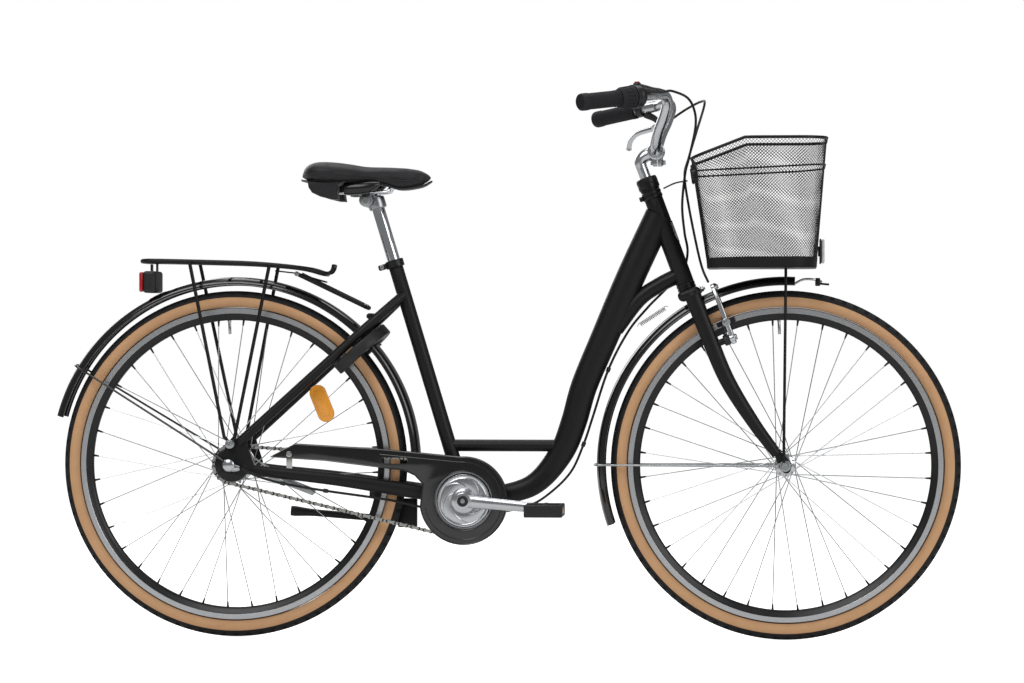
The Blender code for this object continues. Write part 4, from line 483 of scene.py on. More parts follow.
frame_mesh = combined(frame_mesh, [
    bar(0.0150, steer_point(0, 0, HEAD_BOTTOM - 0.01), steer_point(0, 0, HEAD_TOP + 0.01), 32),
    bar(0.0133, on_seat_tube(SEAT_TOP_HEIGHT) - SEAT_UP * 0.270, on_seat_tube(SEAT_TOP_HEIGHT + 0.01), 32),
    bar(0.0165, BRACKET - Vector((0, 0.05, 0)), BRACKET + Vector((0, 0.05, 0)), 32),
    bar(0.0053, REAR - Vector((0, 0.1, 0)), REAR + Vector((0, 0.1, 0))),
], "DIFFERENCE")
piece("frame_tubes", frame_mesh, POWDER_COAT, "frame", "frame")

# ---------------------------------------------------------------- tyres
# City tyres of black tread rubber on a woven casing, with bare tan side walls. The tread is moulded in
# blocks, and the tan wall shows the casing's threads as a faint rib.
TYRE_RADIUS = REAR.z
TREAD_EDGE = TYRE_RADIUS - 0.0130


def wheel_radius(tree, place, centre):
    """The distance from a wheel's axis, for patterns that go round it."""
    flat = add(tree, "ShaderNodeMapping", {"Vector": place, "Location": (-centre.x, 0.0, -centre.z),
                                           "Scale": (1.0, 0.0, 1.0)})
    return add(tree, "ShaderNodeVectorMath", {0: flat.outputs["Vector"]}, operation="LENGTH").outputs["Value"]


def tyre_rubber(name, centre):
    """Vulcanised rubber: near black and dull on the tread, tan and slightly waxy on the walls."""
    material, tree, shader, place = new_material(name, "#1A1A1B", 0.75, IOR=1.52, Specular_IOR_Level=0.28)
    radius = wheel_radius(tree, place, centre)
    wall = add(tree, "ShaderNodeMapRange", {"Value": radius, "From Min": TREAD_EDGE - 0.0004,
                                            "From Max": TREAD_EDGE + 0.0004, "To Min": 1.0, "To Max": 0.0})
    cloud = add(tree, "ShaderNodeTexNoise", {"Vector": place, "Scale": 28.0, "Detail": 6.0, "Roughness": 0.65})
    tan = add(tree, "ShaderNodeMix", {"Factor": cloud.outputs["Fac"], "A": linear("#BC8F68"),
                                      "B": linear("#D0A57C")}, data_type="RGBA")
    black = add(tree, "ShaderNodeMix", {"Factor": cloud.outputs["Fac"], "A": linear("#161617"),
                                        "B": linear("#222223")}, data_type="RGBA")
    both = add(tree, "ShaderNodeMix", {"Factor": wall.outputs["Result"], "A": black.outputs[2],
                                       "B": tan.outputs[2]}, data_type="RGBA")
    tree.links.new(both.outputs[2], shader.inputs["Base Color"])
    rings = add(tree, "ShaderNodeMath", {0: radius, 1: 2 * pi / 0.0016}, operation="MULTIPLY")
    ribs = add(tree, "ShaderNodeMath", {0: rings.outputs["Value"]}, operation="SINE")
    ribbed = add(tree, "ShaderNodeBump", {"Height": ribs.outputs["Value"], "Distance": 0.00008, "Strength": 0.5})
    grain(tree, place, 0.9, 0.08, shader, normal=ribbed.outputs["Normal"])
    return material


def tyre_mesh(centre):
    """The tyre: bulging walls on the rim's hooks, a shoulder, two grooves and rows of tread blocks."""
    side = [(0.3161, -0.0095), (0.3180, -0.0118), (0.3212, -0.0158), (0.3252, -0.0186), (0.3300, -0.0199),
            (0.3345, -0.0192), (0.3362, -0.0186), (0.3368, -0.0190), (0.3405, -0.0176), (0.3436, -0.0148),
            (0.3458, -0.0112), (0.3470, -0.0082), (0.3462, -0.0070), (0.3462, -0.0058), (0.3480, -0.0048),
            (0.3488, -0.0022)]
    profile = side + [(TYRE_RADIUS, 0.0)] + [(radius, -place) for radius, place in reversed(side)]
    mesh = turned(profile, 264, centre, "Y", ring=True)
    bm = bmesh.new()
    bm.from_mesh(mesh)
    bpy.data.meshes.remove(mesh)
    sipes = []
    for face in bm.faces:
        spot = face.calc_center_median() - centre
        radius = sqrt(spot.x**2 + spot.z**2)
        column = int((atan2(spot.z, spot.x) + pi) / (2 * pi) * 264)
        shoulder = 0.3405 < radius < 0.3468 and abs(spot.y) > 0.0095
        crown = radius > 0.3472 and abs(spot.y) < 0.0045
        if (shoulder and column % 3 == 0) or (crown and column % 4 == 0):
            sipes.append(face)
    bmesh.ops.inset_individual(bm, faces=sipes, thickness=0.0006, depth=-0.0012)
    return as_mesh(bm)


piece("front_tyre_rubber", tyre_mesh(FRONT), tyre_rubber("tan_wall_rubber_front", FRONT), "front_wheel", "front_tyre")
piece("rear_tyre_rubber", tyre_mesh(REAR), tyre_rubber("tan_wall_rubber_rear", REAR), "rear_wheel", "rear_tyre")

# ---------------------------------------------------------------- rims
# Extruded aluminium, rolled into a ring and pinned, anodised black. The brake tracks are turned bare
# after that, so they shine in fine rings. Each has a valve with a plastic cap.
RIM_RADIUS = 0.3155
RIM_HALF = 0.0120
TRACK_INNER = 0.3030


def black_anodised():
    """Anodised aluminium: a dyed oxide skin, black and satin, with the extrusion's faint lines."""
    material, tree, shader, place = new_material("black_anodised_aluminium", "#131315", 0.33, IOR=1.6, Specular_IOR_Level=0.28)
    mottle(tree, place, 60.0, ("#101012", "#19191B"), (0.27, 0.38), shader)
    grain(tree, place, 1.0, 0.03, shader)
    return material


def turned_aluminium(name, centre):
    """Bare aluminium cut on a lathe: bright, with fine rings that spread the light."""
    material, tree, shader, place = new_material(name, "#C9CBCE", 0.26, metallic=1.0)
    radius = wheel_radius(tree, place, centre)
    stretched = add(tree, "ShaderNodeMath", {0: radius, 1: 1000.0}, operation="MULTIPLY")
    rings = add(tree, "ShaderNodeTexNoise", {"W": stretched.outputs["Value"], "Scale": 3.0, "Detail": 2.0},
                noise_dimensions="1D")
    bump = add(tree, "ShaderNodeBump", {"Height": rings.outputs["Fac"], "Distance": 0.00004, "Strength": 0.5})
    tree.links.new(bump.outputs["Normal"], shader.inputs["Normal"])
    gloss = add(tree, "ShaderNodeMapRange", {"Value": rings.outputs["Fac"], "To Min": 0.2, "To Max": 0.36})
    tree.links.new(gloss.outputs["Result"], shader.inputs["Roughness"])
    return material


BLACK_ANODISED = black_anodised()


def nickel_steel():
    """Nickel-plated brass and steel: warm grey, smooth, a little clouded."""
    material, tree, shader, place = new_material("nickel_plated_steel", "#B9B9B6", 0.22, metallic=1.0)
    mottle(tree, place, 12.0, ("#A9AAA8", "#C6C6C2"), (0.16, 0.3), shader)
    grain(tree, place, 0.8, 0.01, shader)
    return material


NICKEL = nickel_steel()
for prefix, centre in (("front", FRONT), ("rear", REAR)):
    body = f"{prefix}_wheel"
    side = [(RIM_RADIUS - 0.0012, -0.0100), (RIM_RADIUS, -RIM_HALF + 0.0002), (RIM_RADIUS - 0.0012, -RIM_HALF),
            (TRACK_INNER + 0.0004, -RIM_HALF), (TRACK_INNER - 0.0010, -RIM_HALF + 0.0010),
            (0.2960, -0.0084), (0.2915, -0.0062), (0.2899, -0.0040)]
    profile = side + [(radius, -place) for radius, place in reversed(side)]
    piece(f"{prefix}_rim_ring", turned(profile, 180, centre, "Y", ring=True), BLACK_ANODISED, body, f"{prefix}_rim")
    tracks = []
    for face in (-1, 1):
        strip = [(TRACK_INNER + 0.0008, face * RIM_HALF), (RIM_RADIUS - 0.0014, face * RIM_HALF),
                 (RIM_RADIUS - 0.0018, face * (RIM_HALF + 0.0003)),
                 (TRACK_INNER + 0.0012, face * (RIM_HALF + 0.0003))]
        tracks.append(turned(strip, 180, centre, "Y", ring=True))
    piece(f"{prefix}_brake_track", tracks, turned_aluminium(f"lathe_turned_aluminium_{prefix}", centre), body)
    away = Vector((cos(radians(92.5)), 0.0, sin(radians(92.5))))
    valve = [bar(0.0030, centre + away * 0.2905, centre + away * 0.262, 16),
             bar(0.0042, centre + away * 0.2895, centre + away * 0.2862, 6)]
    piece(f"{prefix}_valve", valve, NICKEL, body)

# ---------------------------------------------------------------- hubs and spokes
# Stainless spokes, crossed three times, hook into the flanges of a polished aluminium hub and are drawn
# tight at the rim by dark nipples. The rear hub is the fat one, with its gears inside.
SPOKE_COUNT = 36
SPOKE_STEP = 2 * pi / SPOKE_COUNT
SPOKE_RADIUS = 0.0010
LOCK_ANGLE = atan2(STAY_TOP.z - STAY_FOOT.z, STAY_TOP.x - STAY_FOOT.x) - radians(0.5)


def stainless_wire():
    """Drawn stainless wire: bright grey with lines along its length too fine to see."""
    material, tree, shader, place = new_material("drawn_stainless_steel", "#B4B6B8", 0.28, metallic=1.0)
    mottle(tree, place, 25.0, ("#A2A5A8", "#C2C4C6"), (0.22, 0.36), shader)
    return material


def polished_aluminium():
    """Forged aluminium polished on a mop: bright, with soft streaks and small nicks from handling."""
    material, tree, shader, place = new_material("mop_polished_aluminium", "#C6C8CC", 0.2, metallic=1.0)
    mottle(tree, place, 35.0, ("#B7BABE", "#D2D4D7"), (0.14, 0.28), shader)
    streaks = add(tree, "ShaderNodeMapping", {"Vector": place, "Scale": (60.0, 900.0, 300.0)})
    lines = add(tree, "ShaderNodeTexNoise", {"Vector": streaks.outputs["Vector"], "Scale": 1.0, "Detail": 2.0})
    bump = add(tree, "ShaderNodeBump", {"Height": lines.outputs["Fac"], "Distance": 0.00003, "Strength": 0.5})
    tree.links.new(bump.outputs["Normal"], shader.inputs["Normal"])
    return material


STAINLESS = stainless_wire()
POLISHED = polished_aluminium()


def wheel_wires(flange_radius, flange_place, first):
    """(spokes, nipples, heads) of a wheel about the origin."""
    spokes, nipples, heads = bmesh.new(), bmesh.new(), bmesh.new()
    for number in range(SPOKE_COUNT):
        side = -1 if number % 2 else 1
        lean = 6 * SPOKE_STEP if number % 4 < 2 else -6 * SPOKE_STEP
        at_rim = first + 2 * pi * number / SPOKE_COUNT
        at_hub = at_rim + lean
        offset = 0.0017 if lean > 0 else -0.0017
        hook = Vector((flange_radius * cos(at_hub), side * (flange_place + offset), flange_radius * sin(at_hub)))
        rim_end = Vector((0.2898 * cos(at_rim), side * 0.0022, 0.2898 * sin(at_rim)))
        way = (rim_end - hook).normalized()
        turn = way.to_track_quat("Z", "Y").to_matrix().to_4x4()
        bmesh.ops.create_cone(spokes, cap_ends=True, segments=8, radius1=SPOKE_RADIUS, radius2=SPOKE_RADIUS,
                              depth=(rim_end - hook).length,
                              matrix=Matrix.Translation((hook + rim_end) / 2) @ turn)
        bmesh.ops.create_cone(nipples, cap_ends=True, segments=10, radius1=0.0016, radius2=0.0024, depth=0.011,
                              matrix=Matrix.Translation(rim_end - way * 0.0050) @ turn)
        head = Matrix.Translation(hook - Vector((0, side * 0.0006 * (1 if lean > 0 else -1), 0))) @ TURNS["Y"]
        bmesh.ops.create_cone(heads, cap_ends=True, segments=10, radius1=0.0020, radius2=0.0020, depth=0.0042,
                              matrix=head)
    return as_mesh(spokes), as_mesh(nipples), as_mesh(heads)


front_shell = [(0.0048, -0.0452), (0.0085, -0.0452), (0.0095, -0.0440), (0.0105, -0.0395), (0.0125, -0.0368),
               (0.0205, -0.0348), (0.0216, -0.0340), (0.0216, -0.0318), (0.0205, -0.0310), (0.0150, -0.0295),
               (0.0125, -0.0260), (0.0110, -0.0160), (0.0106, 0.0)]
rear_shell = [(0.0053, -0.0364), (0.0135, -0.0364), (0.0150, -0.0355), (0.0240, -0.0322), (0.0345, -0.0308),
              (0.0357, -0.0300), (0.0357, -0.0280), (0.0345, -0.0272), (0.0290, -0.0262), (0.0278, -0.0230),
              (0.0275, -0.0120), (0.0275, 0.0)]
for prefix, centre, shell, flange, first in (
    ("front", FRONT, front_shell, (0.0190, 0.0330), radians(5.0)),
    ("rear", REAR, rear_shell, (0.0330, 0.0290), LOCK_ANGLE + SPOKE_STEP / 2),
):
    body = f"{prefix}_wheel"
    profile = shell + [(radius, -place) for radius, place in reversed(shell[:-1])]
    hub = turned(profile, 64, centre, "Y", ring=True)
    spokes, nipples, heads = wheel_wires(*flange, first)
    for mesh in (spokes, nipples, heads):
        mesh.transform(Matrix.Translation(centre))
    piece(f"{prefix}_hub_shell", hub, POLISHED, body, f"{prefix}_hub_spokes")
    piece(f"{prefix}_spokes", [spokes, heads], STAINLESS, body)
    piece(f"{prefix}_nipples", nipples, BLACK_ANODISED, body)

# ---------------------------------------------------------------- spoke reflector
# Two moulded amber halves snapped over the spokes, with rows of small prisms behind a smooth face.
REFLECTOR_CENTRE = REAR + Vector((cos(radians(34.5)), 0.0, sin(radians(34.5)))) * 0.216
REFLECTOR_TURN = Matrix.Rotation(atan2(0.928, 0.372), 4, "Y")
REFLECTOR_FRAME = Matrix.Translation(REFLECTOR_CENTRE + Vector((0, -0.0180, 0))) @ REFLECTOR_TURN


def prism_plastic(name, colours, cell_mm, roughness):
    """Clear tinted acrylic over prisms: each cell's colour is painted lighter towards its rim, a painted glint on every
    prism, and the bump lets the cells catch the lamps as well.
    """
    material, tree, shader, place = new_material(name, colours[0], roughness, IOR=1.49, Coat_Weight=0.6,
                                                 Coat_Roughness=0.04)
    cells = add(tree, "ShaderNodeTexVoronoi", {"Vector": place, "Scale": 1000.0 / cell_mm, "Randomness": 0.15})
    # Painted highlight: the tint runs from the darker colour at each cell's middle to the lighter one at its rim.
    tone = add(tree, "ShaderNodeMix", {"Factor": cells.outputs["Distance"], "A": linear(colours[0]),
                                       "B": linear(colours[1])}, data_type="RGBA")
    tree.links.new(tone.outputs[2], shader.inputs["Base Color"])
    bump = add(tree, "ShaderNodeBump", {"Height": cells.outputs["Distance"], "Distance": 0.0008, "Strength": 0.7})
    tree.links.new(bump.outputs["Normal"], shader.inputs["Normal"])
    return material


AMBER = prism_plastic("amber_prism_acrylic", ("#E88A14", "#F7B23A"), 3.0, 0.18)
half_long, half_short = 0.039, 0.017
end_radius = half_short
outline = arc((half_long - end_radius, 0.0), end_radius, -pi / 2, pi / 2, 14)
outline += arc((-half_long + end_radius, 0.0), end_radius, pi / 2, 3 * pi / 2, 14)
window = [(x * 0.72, z * 0.62) for x, z in outline]
piece("spoke_reflector_lens", [
    solid(outline, -0.0036, 0.0036, 0.0014, 3, REFLECTOR_FRAME),
    solid(window, -0.0050, 0.0050, 0.0010, 2, REFLECTOR_FRAME),
], AMBER, "rear_wheel", "spoke_reflector")

# ---------------------------------------------------------------- fenders
# Rolled steel strip with folded edges, in gloss black stove enamel. Bent wire stays hold them to the
# axle ends, and a small clip closes over each stay at the middle.
FENDER_RADIUS = TYRE_RADIUS + 0.0280
FENDER_HALF = 0.027


def gloss_enamel():
    """Stove enamel: deep gloss black under a clear flow coat, with a slight waviness and a little dust."""
    material, tree, shader, place = new_material("gloss_black_stove_enamel", "#0B0B0C", 0.14, IOR=1.52,
                                                 Coat_Weight=0.5, Coat_Roughness=0.05)
    mottle(tree, place, 70.0, ("#090909", "#101012"), (0.1, 0.2), shader)
    grain(tree, place, 9.0, 0.05, shader)
    return material


GLOSS_ENAMEL = gloss_enamel()


def fender_mesh(centre, start, end, steps):
    """A channel of sheet with rolled edges, swept round the wheel."""
    half = FENDER_HALF
    crown = FENDER_RADIUS
    outer = [(crown - 0.0160, -half), (crown - 0.0120, -half * 0.985), (crown - 0.0085, -half * 0.94),
             (crown - 0.0055, -half * 0.84), (crown - 0.0030, -half * 0.68), (crown - 0.0014, -half * 0.46),
             (crown - 0.0004, -half * 0.22), (crown, 0.0)]
    outer += [(radius, -place) for radius, place in reversed(outer[:-1])]
    inner = [(radius - (0.0013 if radius > crown - 0.010 else 0.0), place * 0.955)
             for radius, place in reversed(outer)]
    bm = bmesh.new()
    corners = [bm.verts.new((radius * cos(start), place, radius * sin(start))) for radius, place in outer + inner]
    face = bm.faces.new(corners)
    bmesh.ops.spin(bm, geom=[face], cent=(0, 0, 0), axis=(0, -1, 0), dvec=(0, 0, 0), angle=end - start,
                   steps=steps, use_merge=False, use_duplicate=False)
    fender = as_mesh(bm, Matrix.Translation(centre))
    beads = []
    for side in (-1, 1):
        bead = [(centre.x + x, side * (half - 0.0009), centre.z + z)
                for x, z in arc((0, 0), crown - 0.0158, start, end, steps)]
        beads.append(rod(bead, 0.0016, 10))
    return [fender] + beads


REAR_FENDER_START = radians(165.0)
piece("front_fender_sheet", fender_mesh(FRONT, radians(87.0), radians(199.0), 90), GLOSS_ENAMEL, "steering",
      "front_fender")
piece("rear_fender_sheet", fender_mesh(REAR, radians(-2.0), REAR_FENDER_START, 130), GLOSS_ENAMEL, "frame",
      "rear_fender")


def zinc_plate():
    """Zinc-plated steel: soft blue-grey with a crystalline cloudiness."""
    material, tree, shader, place = new_material("bright_zinc_plated_steel", "#A9ACAE", 0.3, metallic=1.0)
    mottle(tree, place, 6.0, ("#95999C", "#B9BCBD"), (0.24, 0.4), shader)
    grain(tree, place, 0.7, 0.01, shader)
    return material


ZINC = zinc_plate()


def fender_stay(centre, angle, hub_across, hub_offset):
    """One bent wire, from an axle end over the fender's outside to the other axle end."""
    way = Vector((cos(angle), 0.0, sin(angle)))
    half = FENDER_HALF + 0.0035
    over = FENDER_RADIUS + 0.0035
    low = centre + way * hub_offset
    points = [(low.x, hub_across, low.z)]
    for radius, across in ((0.150, 0.5 * (hub_across + half) + 0.002), (TYRE_RADIUS - 0.02, half + 0.001),
                           (over - 0.012, half), (over - 0.004, half * 0.86), (over, half * 0.55)):
        spot = centre + way * radius
        points.append((spot.x, across, spot.z))
    spot = centre + way * (over + 0.0002)
    points = points + [(spot.x, 0.0, spot.z)] + [mirrored(point) for point in reversed(points)]
    wire = rod(points, 0.0022, 12, smooth=4)
    eyes = []
    for side in (-1, 1):
        eye = Vector((low.x, side * hub_across, low.z))
        ring = [(0.0026, -0.0014), (0.0062, -0.0014), (0.0062, 0.0014), (0.0026, 0.0014)]
        eyes.append(turned(ring, 20, eye - way * 0.004, "Y", ring=True))
    return [wire] + eyes


piece("rear_fender_wire", fender_stay(REAR, radians(148.5), DROPOUT_OUTER + 0.004, 0.016), GLOSS_ENAMEL, "frame",
      "rear_fender_stay")
piece("front_fender_wire", fender_stay(FRONT, radians(180.0), 0.0550 + 0.0031, 0.014), ZINC, "steering",
      "front_fender_stay")

# ---------------------------------------------------------------- basket
# Expanded steel mesh, formed into a tub round a thick wire rim, spot welded to a pressed tray and dipped
# black. A flat back band takes the bracket's wires.
BASKET_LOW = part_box("basket")[0]
BASKET_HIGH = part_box("basket")[1]
BASKET_BOTTOM = BASKET_LOW.z
BASKET_BACK = FRONT.x - 0.153
BASKET_FRONT = FRONT.x + 0.062


def basket_outline(t, inset, per_corner=7, per_side=12):
    """The tub's closed outline at a share t of its height, which grows from the tray to the rim."""
    back = BASKET_BACK - 0.033 * t + inset
    front = BASKET_FRONT + 0.021 * t - inset
    half = 0.120 + 0.025 * t - inset
    corners = ((front, half, 0, 0.055), (back, half, 90, 0.030), (back, -half, 180, 0.030), (front, -half, 270, 0.055))
    ring = []
    for index, (corner_x, corner_y, start, radius) in enumerate(corners):
        centre_x = corner_x - radius * (1 if corner_x == front else -1)
        centre_y = corner_y - radius * (1 if corner_y > 0 else -1)
        for step in range(per_corner):
            turn = radians(start + 90 * step / (per_corner - 1))
            ring.append((centre_x + radius * cos(turn), centre_y + radius * sin(turn)))
        next_x, next_y, next_start, next_radius = corners[(index + 1) % 4]
        to_x = next_x - next_radius * (1 if next_x == front else -1) + next_radius * cos(radians(next_start))
        to_y = next_y - next_radius * (1 if next_y > 0 else -1) + next_radius * sin(radians(next_start))
        from_x, from_y = ring[-1]
        for step in range(1, per_side):
            share = step / per_side
            ring.append((from_x + (to_x - from_x) * share, from_y + (to_y - from_y) * share))
    points = []
    for x, y in ring:
        rise = 0.258 - 0.042 * max(0.0, (BASKET_BACK + 0.075 - x) / 0.108)
        points.append(Vector((x, y, BASKET_BOTTOM + rise * t)))
    return points


def ring_spot(ring, share):
    """The point at a share of the way round an outline, by its corners' lengths."""
    lengths = [(ring[(i + 1) % len(ring)] - ring[i]).length for i in range(len(ring))]
    left = (share % 1.0) * sum(lengths)
    for i, length in enumerate(lengths):
        if left <= length:
            return ring[i].lerp(ring[(i + 1) % len(ring)], left / length)
        left -= length
    return ring[0].copy()


def dipped_black():
    """Black dip coating on steel wire: satin, thick enough to round every edge, with small runs."""
    material, tree, shader, place = new_material("black_dip_coating", "#0E0E0F", 0.36, IOR=1.5, Specular_IOR_Level=0.28)
    mottle(tree, place, 30.0, ("#0C0C0D", "#151516"), (0.3, 0.44), shader)
    grain(tree, place, 1.4, 0.05, shader)
    return material


DIPPED = dipped_black()
MESH_COLUMNS = 150
MESH_ROWS = 36
MESH_BOTTOM = 0.085
MESH_TOP = 0.985


def basket_wall():
    """The mesh wall: a grid whose squares are turned to diamonds, wrapped round the tub and made strands."""
    bm = bmesh.new()
    bmesh.ops.create_grid(bm, x_segments=MESH_COLUMNS, y_segments=MESH_ROWS, size=0.5)
    seams = list(bm.edges)
    bmesh.ops.poke(bm, faces=bm.faces)
    inner_seams = [edge for edge in seams if len(edge.link_faces) == 2]
    bmesh.ops.dissolve_edges(bm, edges=inner_seams, use_verts=False)
    low_ring = basket_outline(MESH_BOTTOM, 0.0012)
    high_ring = basket_outline(MESH_TOP, 0.0012)
    columns = 2 * MESH_COLUMNS
    low_row = [ring_spot(low_ring, c / columns) for c in range(columns)]
    high_row = [ring_spot(high_ring, c / columns) for c in range(columns)]
    for vert in bm.verts:
        column = round((vert.co.x + 0.5) * columns) % columns
        vert.co = low_row[column].lerp(high_row[column], vert.co.y + 0.5)
    return as_mesh(bm)


wall = piece("basket_mesh", basket_wall(), DIPPED, None)
strands = wall.modifiers.new("strands", "WIREFRAME")
strands.thickness = 0.0012
strands.use_even_offset = False
strands.use_boundary = True
bpy.context.view_layer.update()
wall_mesh = bpy.data.meshes.new_from_object(wall.evaluated_get(bpy.context.evaluated_depsgraph_get()))
wall.modifiers.clear()
wall.data = wall_mesh
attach(wall, "steering")
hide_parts("basket")

rim_ring = [tuple(point) for point in basket_outline(0.992, 0.0012)]
BAND_BACK = 0.9315
BAND_FRONT = 0.9455
second_ring = []
for foot, top in zip(basket_outline(0.0, 0.0002), basket_outline(1.0, 0.0002)):
    along = (foot.x - BASKET_BACK) / (BASKET_FRONT - BASKET_BACK)
    level = BAND_BACK + (BAND_FRONT - BAND_BACK) * along
    second_ring.append(tuple(foot.lerp(top, (level - foot.z) / (top.z - foot.z))))
tray_low = basket_outline(0.0, 0.0004)
tray_high = basket_outline(0.085, 0.0)
tray_bm = bmesh.new()
floor_face = tray_bm.faces.new([tray_bm.verts.new(point + Vector((0, 0, 0.0004))) for point in tray_low])
grown = bmesh.ops.extrude_face_region(tray_bm, geom=[floor_face])
tops = [item for item in grown["geom"] if isinstance(item, bmesh.types.BMVert)]
for vert in tops:
    nearest = min(range(len(tray_low)), key=lambda i: (tray_low[i] - vert.co).length)
    vert.co = tray_high[nearest]
top_face = [item for item in grown["geom"] if isinstance(item, bmesh.types.BMFace)][0]
well = bmesh.ops.inset_region(tray_bm, faces=[top_face], thickness=0.0016, depth=0.0)
bmesh.ops.translate(tray_bm, verts=top_face.verts, vec=(0, 0, -(0.258 * 0.085 - 0.0020)))
piece("basket_tray", as_mesh(tray_bm), DIPPED, "steering")
piece("basket_rim", [rod(rim_ring, 0.0031, 14, closed=True), rod(second_ring, 0.0019, 10, closed=True)], DIPPED,
      "steering")

# ---------------------------------------------------------------- basket fittings
# Two wire legs stand on the fork's ends and hold the tray. At the back a pressed band and a moulded block
# hook over the wires, and a clear reflector in a black holder is clipped to the front.
LEG_ACROSS = 0.0550 + 0.0062
leg_side = [
    (FRONT.x - 0.003, LEG_ACROSS, FRONT.z + 0.013),
    (FRONT.x + 0.001, LEG_ACROSS, BASKET_BOTTOM - 0.025),
    (FRONT.x + 0.001, LEG_ACROSS - 0.004, BASKET_BOTTOM - 0.009),
    (FRONT.x + 0.001, LEG_ACROSS - 0.016, BASKET_BOTTOM - 0.0033),
]
leg_wire = [rod(leg_side + [mirrored(point) for point in reversed(leg_side)], 0.0030, 14)]
for side in (-1, 1):
    foot = Vector((FRONT.x - 0.003, side * LEG_ACROSS, FRONT.z + 0.013))
    eye = turned([(0.0047, -0.0016), (0.0078, -0.0016), (0.0078, 0.0016), (0.0047, 0.0016)], 24,
                 FRONT + Vector((0.0, side * LEG_ACROSS, 0.0)), "Y", ring=True)
    leg_wire += [eye, bar(0.0030, foot, foot - Vector((0, 0, 0.007)), 14)]
piece("basket_legs", leg_wire, DIPPED, "steering", "basket_support")


def moulded_plastic(name="textured_black_polypropylene", colours=("#101011", "#191919"), gloss=(0.42, 0.56)):
    """Injection-moulded plastic with a fine spark-eroded texture that scatters its highlights."""
    material, tree, shader, place = new_material(name, colours[0], 0.5, IOR=1.49)
    mottle(tree, place, 25.0, colours, gloss, shader)
    grain(tree, place, 0.8, 0.04, shader)
    return material


PLASTIC = moulded_plastic()


band_lean = atan2(0.033, 0.216)
BAND_FRAME = Matrix.Translation((BASKET_BACK + 0.001, 0.0, BASKET_BOTTOM + 0.004)) @ Matrix.Rotation(-band_lean, 4, "Y")
band_long = sqrt(0.033**2 + 0.216**2) - 0.010
piece("basket_back_bands", [
    box_of((-0.0022, -0.074, 0.0), (0.0000, -0.052, band_long), 0.0008, 2, BAND_FRAME),
    box_of((-0.0022, 0.052, 0.0), (0.0000, 0.074, band_long), 0.0008, 2, BAND_FRAME),
    box_of((-0.0020, -0.074, band_long - 0.030), (0.0, 0.074, band_long - 0.014), 0.0008, 2, BAND_FRAME),
], DIPPED, "steering")
piece("basket_hook_block", [
    box_of((-0.0060, -0.050, band_long - 0.034), (0.0050, 0.050, band_long - 0.004), 0.0025, 3, BAND_FRAME),
    box_of((-0.0085, -0.022, band_long - 0.040), (-0.0040, 0.022, band_long - 0.010), 0.0018, 3, BAND_FRAME),
], PLASTIC, "steering")
CLEAR_PRISM = prism_plastic("clear_prism_acrylic", ("#B9BBBF", "#F1F1F3"), 3.0, 0.12)
reflector_x = BASKET_FRONT + 0.0060
reflector_z = BASKET_BOTTOM + 0.034
piece("basket_reflector_holder", [
    box_of((reflector_x, -0.026, reflector_z - 0.025), (reflector_x + 0.0035, 0.026, reflector_z + 0.025), 0.0014, 3),
    box_of((reflector_x - 0.0030, -0.010, reflector_z - 0.010), (reflector_x, 0.010, reflector_z + 0.010), 0.0008),
], PLASTIC, "steering")
piece("basket_reflector_lens", box_of((reflector_x + 0.0038, -0.0245, reflector_z - 0.0235),
                                      (reflector_x + 0.0100, 0.0245, reflector_z + 0.0235), 0.0026, 4),
      CLEAR_PRISM, "steering")

# ---------------------------------------------------------------- fork
# A steel steerer brazed in a wide crown over two oval blades, which bend forward to flattened ends.
# Each blade has a stud for a brake arm. It is powder coated with the frame.
CROWN_BOTTOM = HEAD_BOTTOM - 0.0336
CROWN_TOP = CROWN_BOTTOM + 0.020
STEERER_TOP = HEAD_TOP + 0.046
BLADE_TOP = 0.046
BRAKE_ACROSS = BLADE_TOP - 0.003
BRAKE_UP = 0.275
BRAKE_NEAR = 0.0450
BRAKE_FAR = 0.0560
FORK_END_INNER = 0.050
FORK_END_OUTER = 0.055
fork_bars = []
for side in (-1, 1):
    blade = [
        (*steer_point(0.006, side * BLADE_TOP, CROWN_BOTTOM + 0.010), 0.0160),
        (*steer_point(0.007, side * BLADE_TOP, 0.300), 0.0155),
        (*steer_point(0.011, side * (BLADE_TOP + 0.002), 0.200), 0.0145),
        (*steer_point(0.031, side * (BLADE_TOP + 0.005), 0.100), 0.0118),
        (*steer_point(0.052, side * (FORK_END_INNER + 0.0026), 0.027), 0.0095),
    ]
    fork_bars.append(rod(blade, 0.016, 28, flat=0.62, smooth=12))
    tip = [(0.047, 0.036), (0.060, 0.034), (0.068, 0.018), (0.072, 0.004), (0.071, -0.006), (0.066, -0.013),
           (0.060, -0.0155), (0.054, -0.013), (0.0495, -0.006), (0.048, 0.004)]
    outline = [steer_point(forward, 0, up) for forward, up in tip]
    inner, outer = sorted((side * FORK_END_INNER, side * FORK_END_OUTER))
    fork_bars.append(solid([(p.x, p.z) for p in outline], inner, outer, bevel=0.0008))
    boss = (side * BRAKE_ACROSS, BRAKE_UP)
    fork_bars.append(bar(0.0065, steer_point(0.006, *boss), steer_point(BRAKE_NEAR - 0.0003, *boss), 24))
    fork_bars.append(bar(0.0040, steer_point(0.008, *boss), steer_point(BRAKE_FAR + 0.001, *boss), 20))
fork_bars.append(box_of((-0.022, -0.0555, CROWN_BOTTOM), (0.024, 0.0555, CROWN_TOP), 0.0085, 5, STEER_FRAME))
fork_bars.append(bar(0.0185, steer_point(0, 0, CROWN_TOP - 0.010), steer_point(0, 0, CROWN_TOP), 40))
steerer = bar(0.0127, steer_point(0, 0, CROWN_BOTTOM + 0.006), steer_point(0, 0, STEERER_TOP), 32)
fork_mesh = combined(steerer, fork_bars)
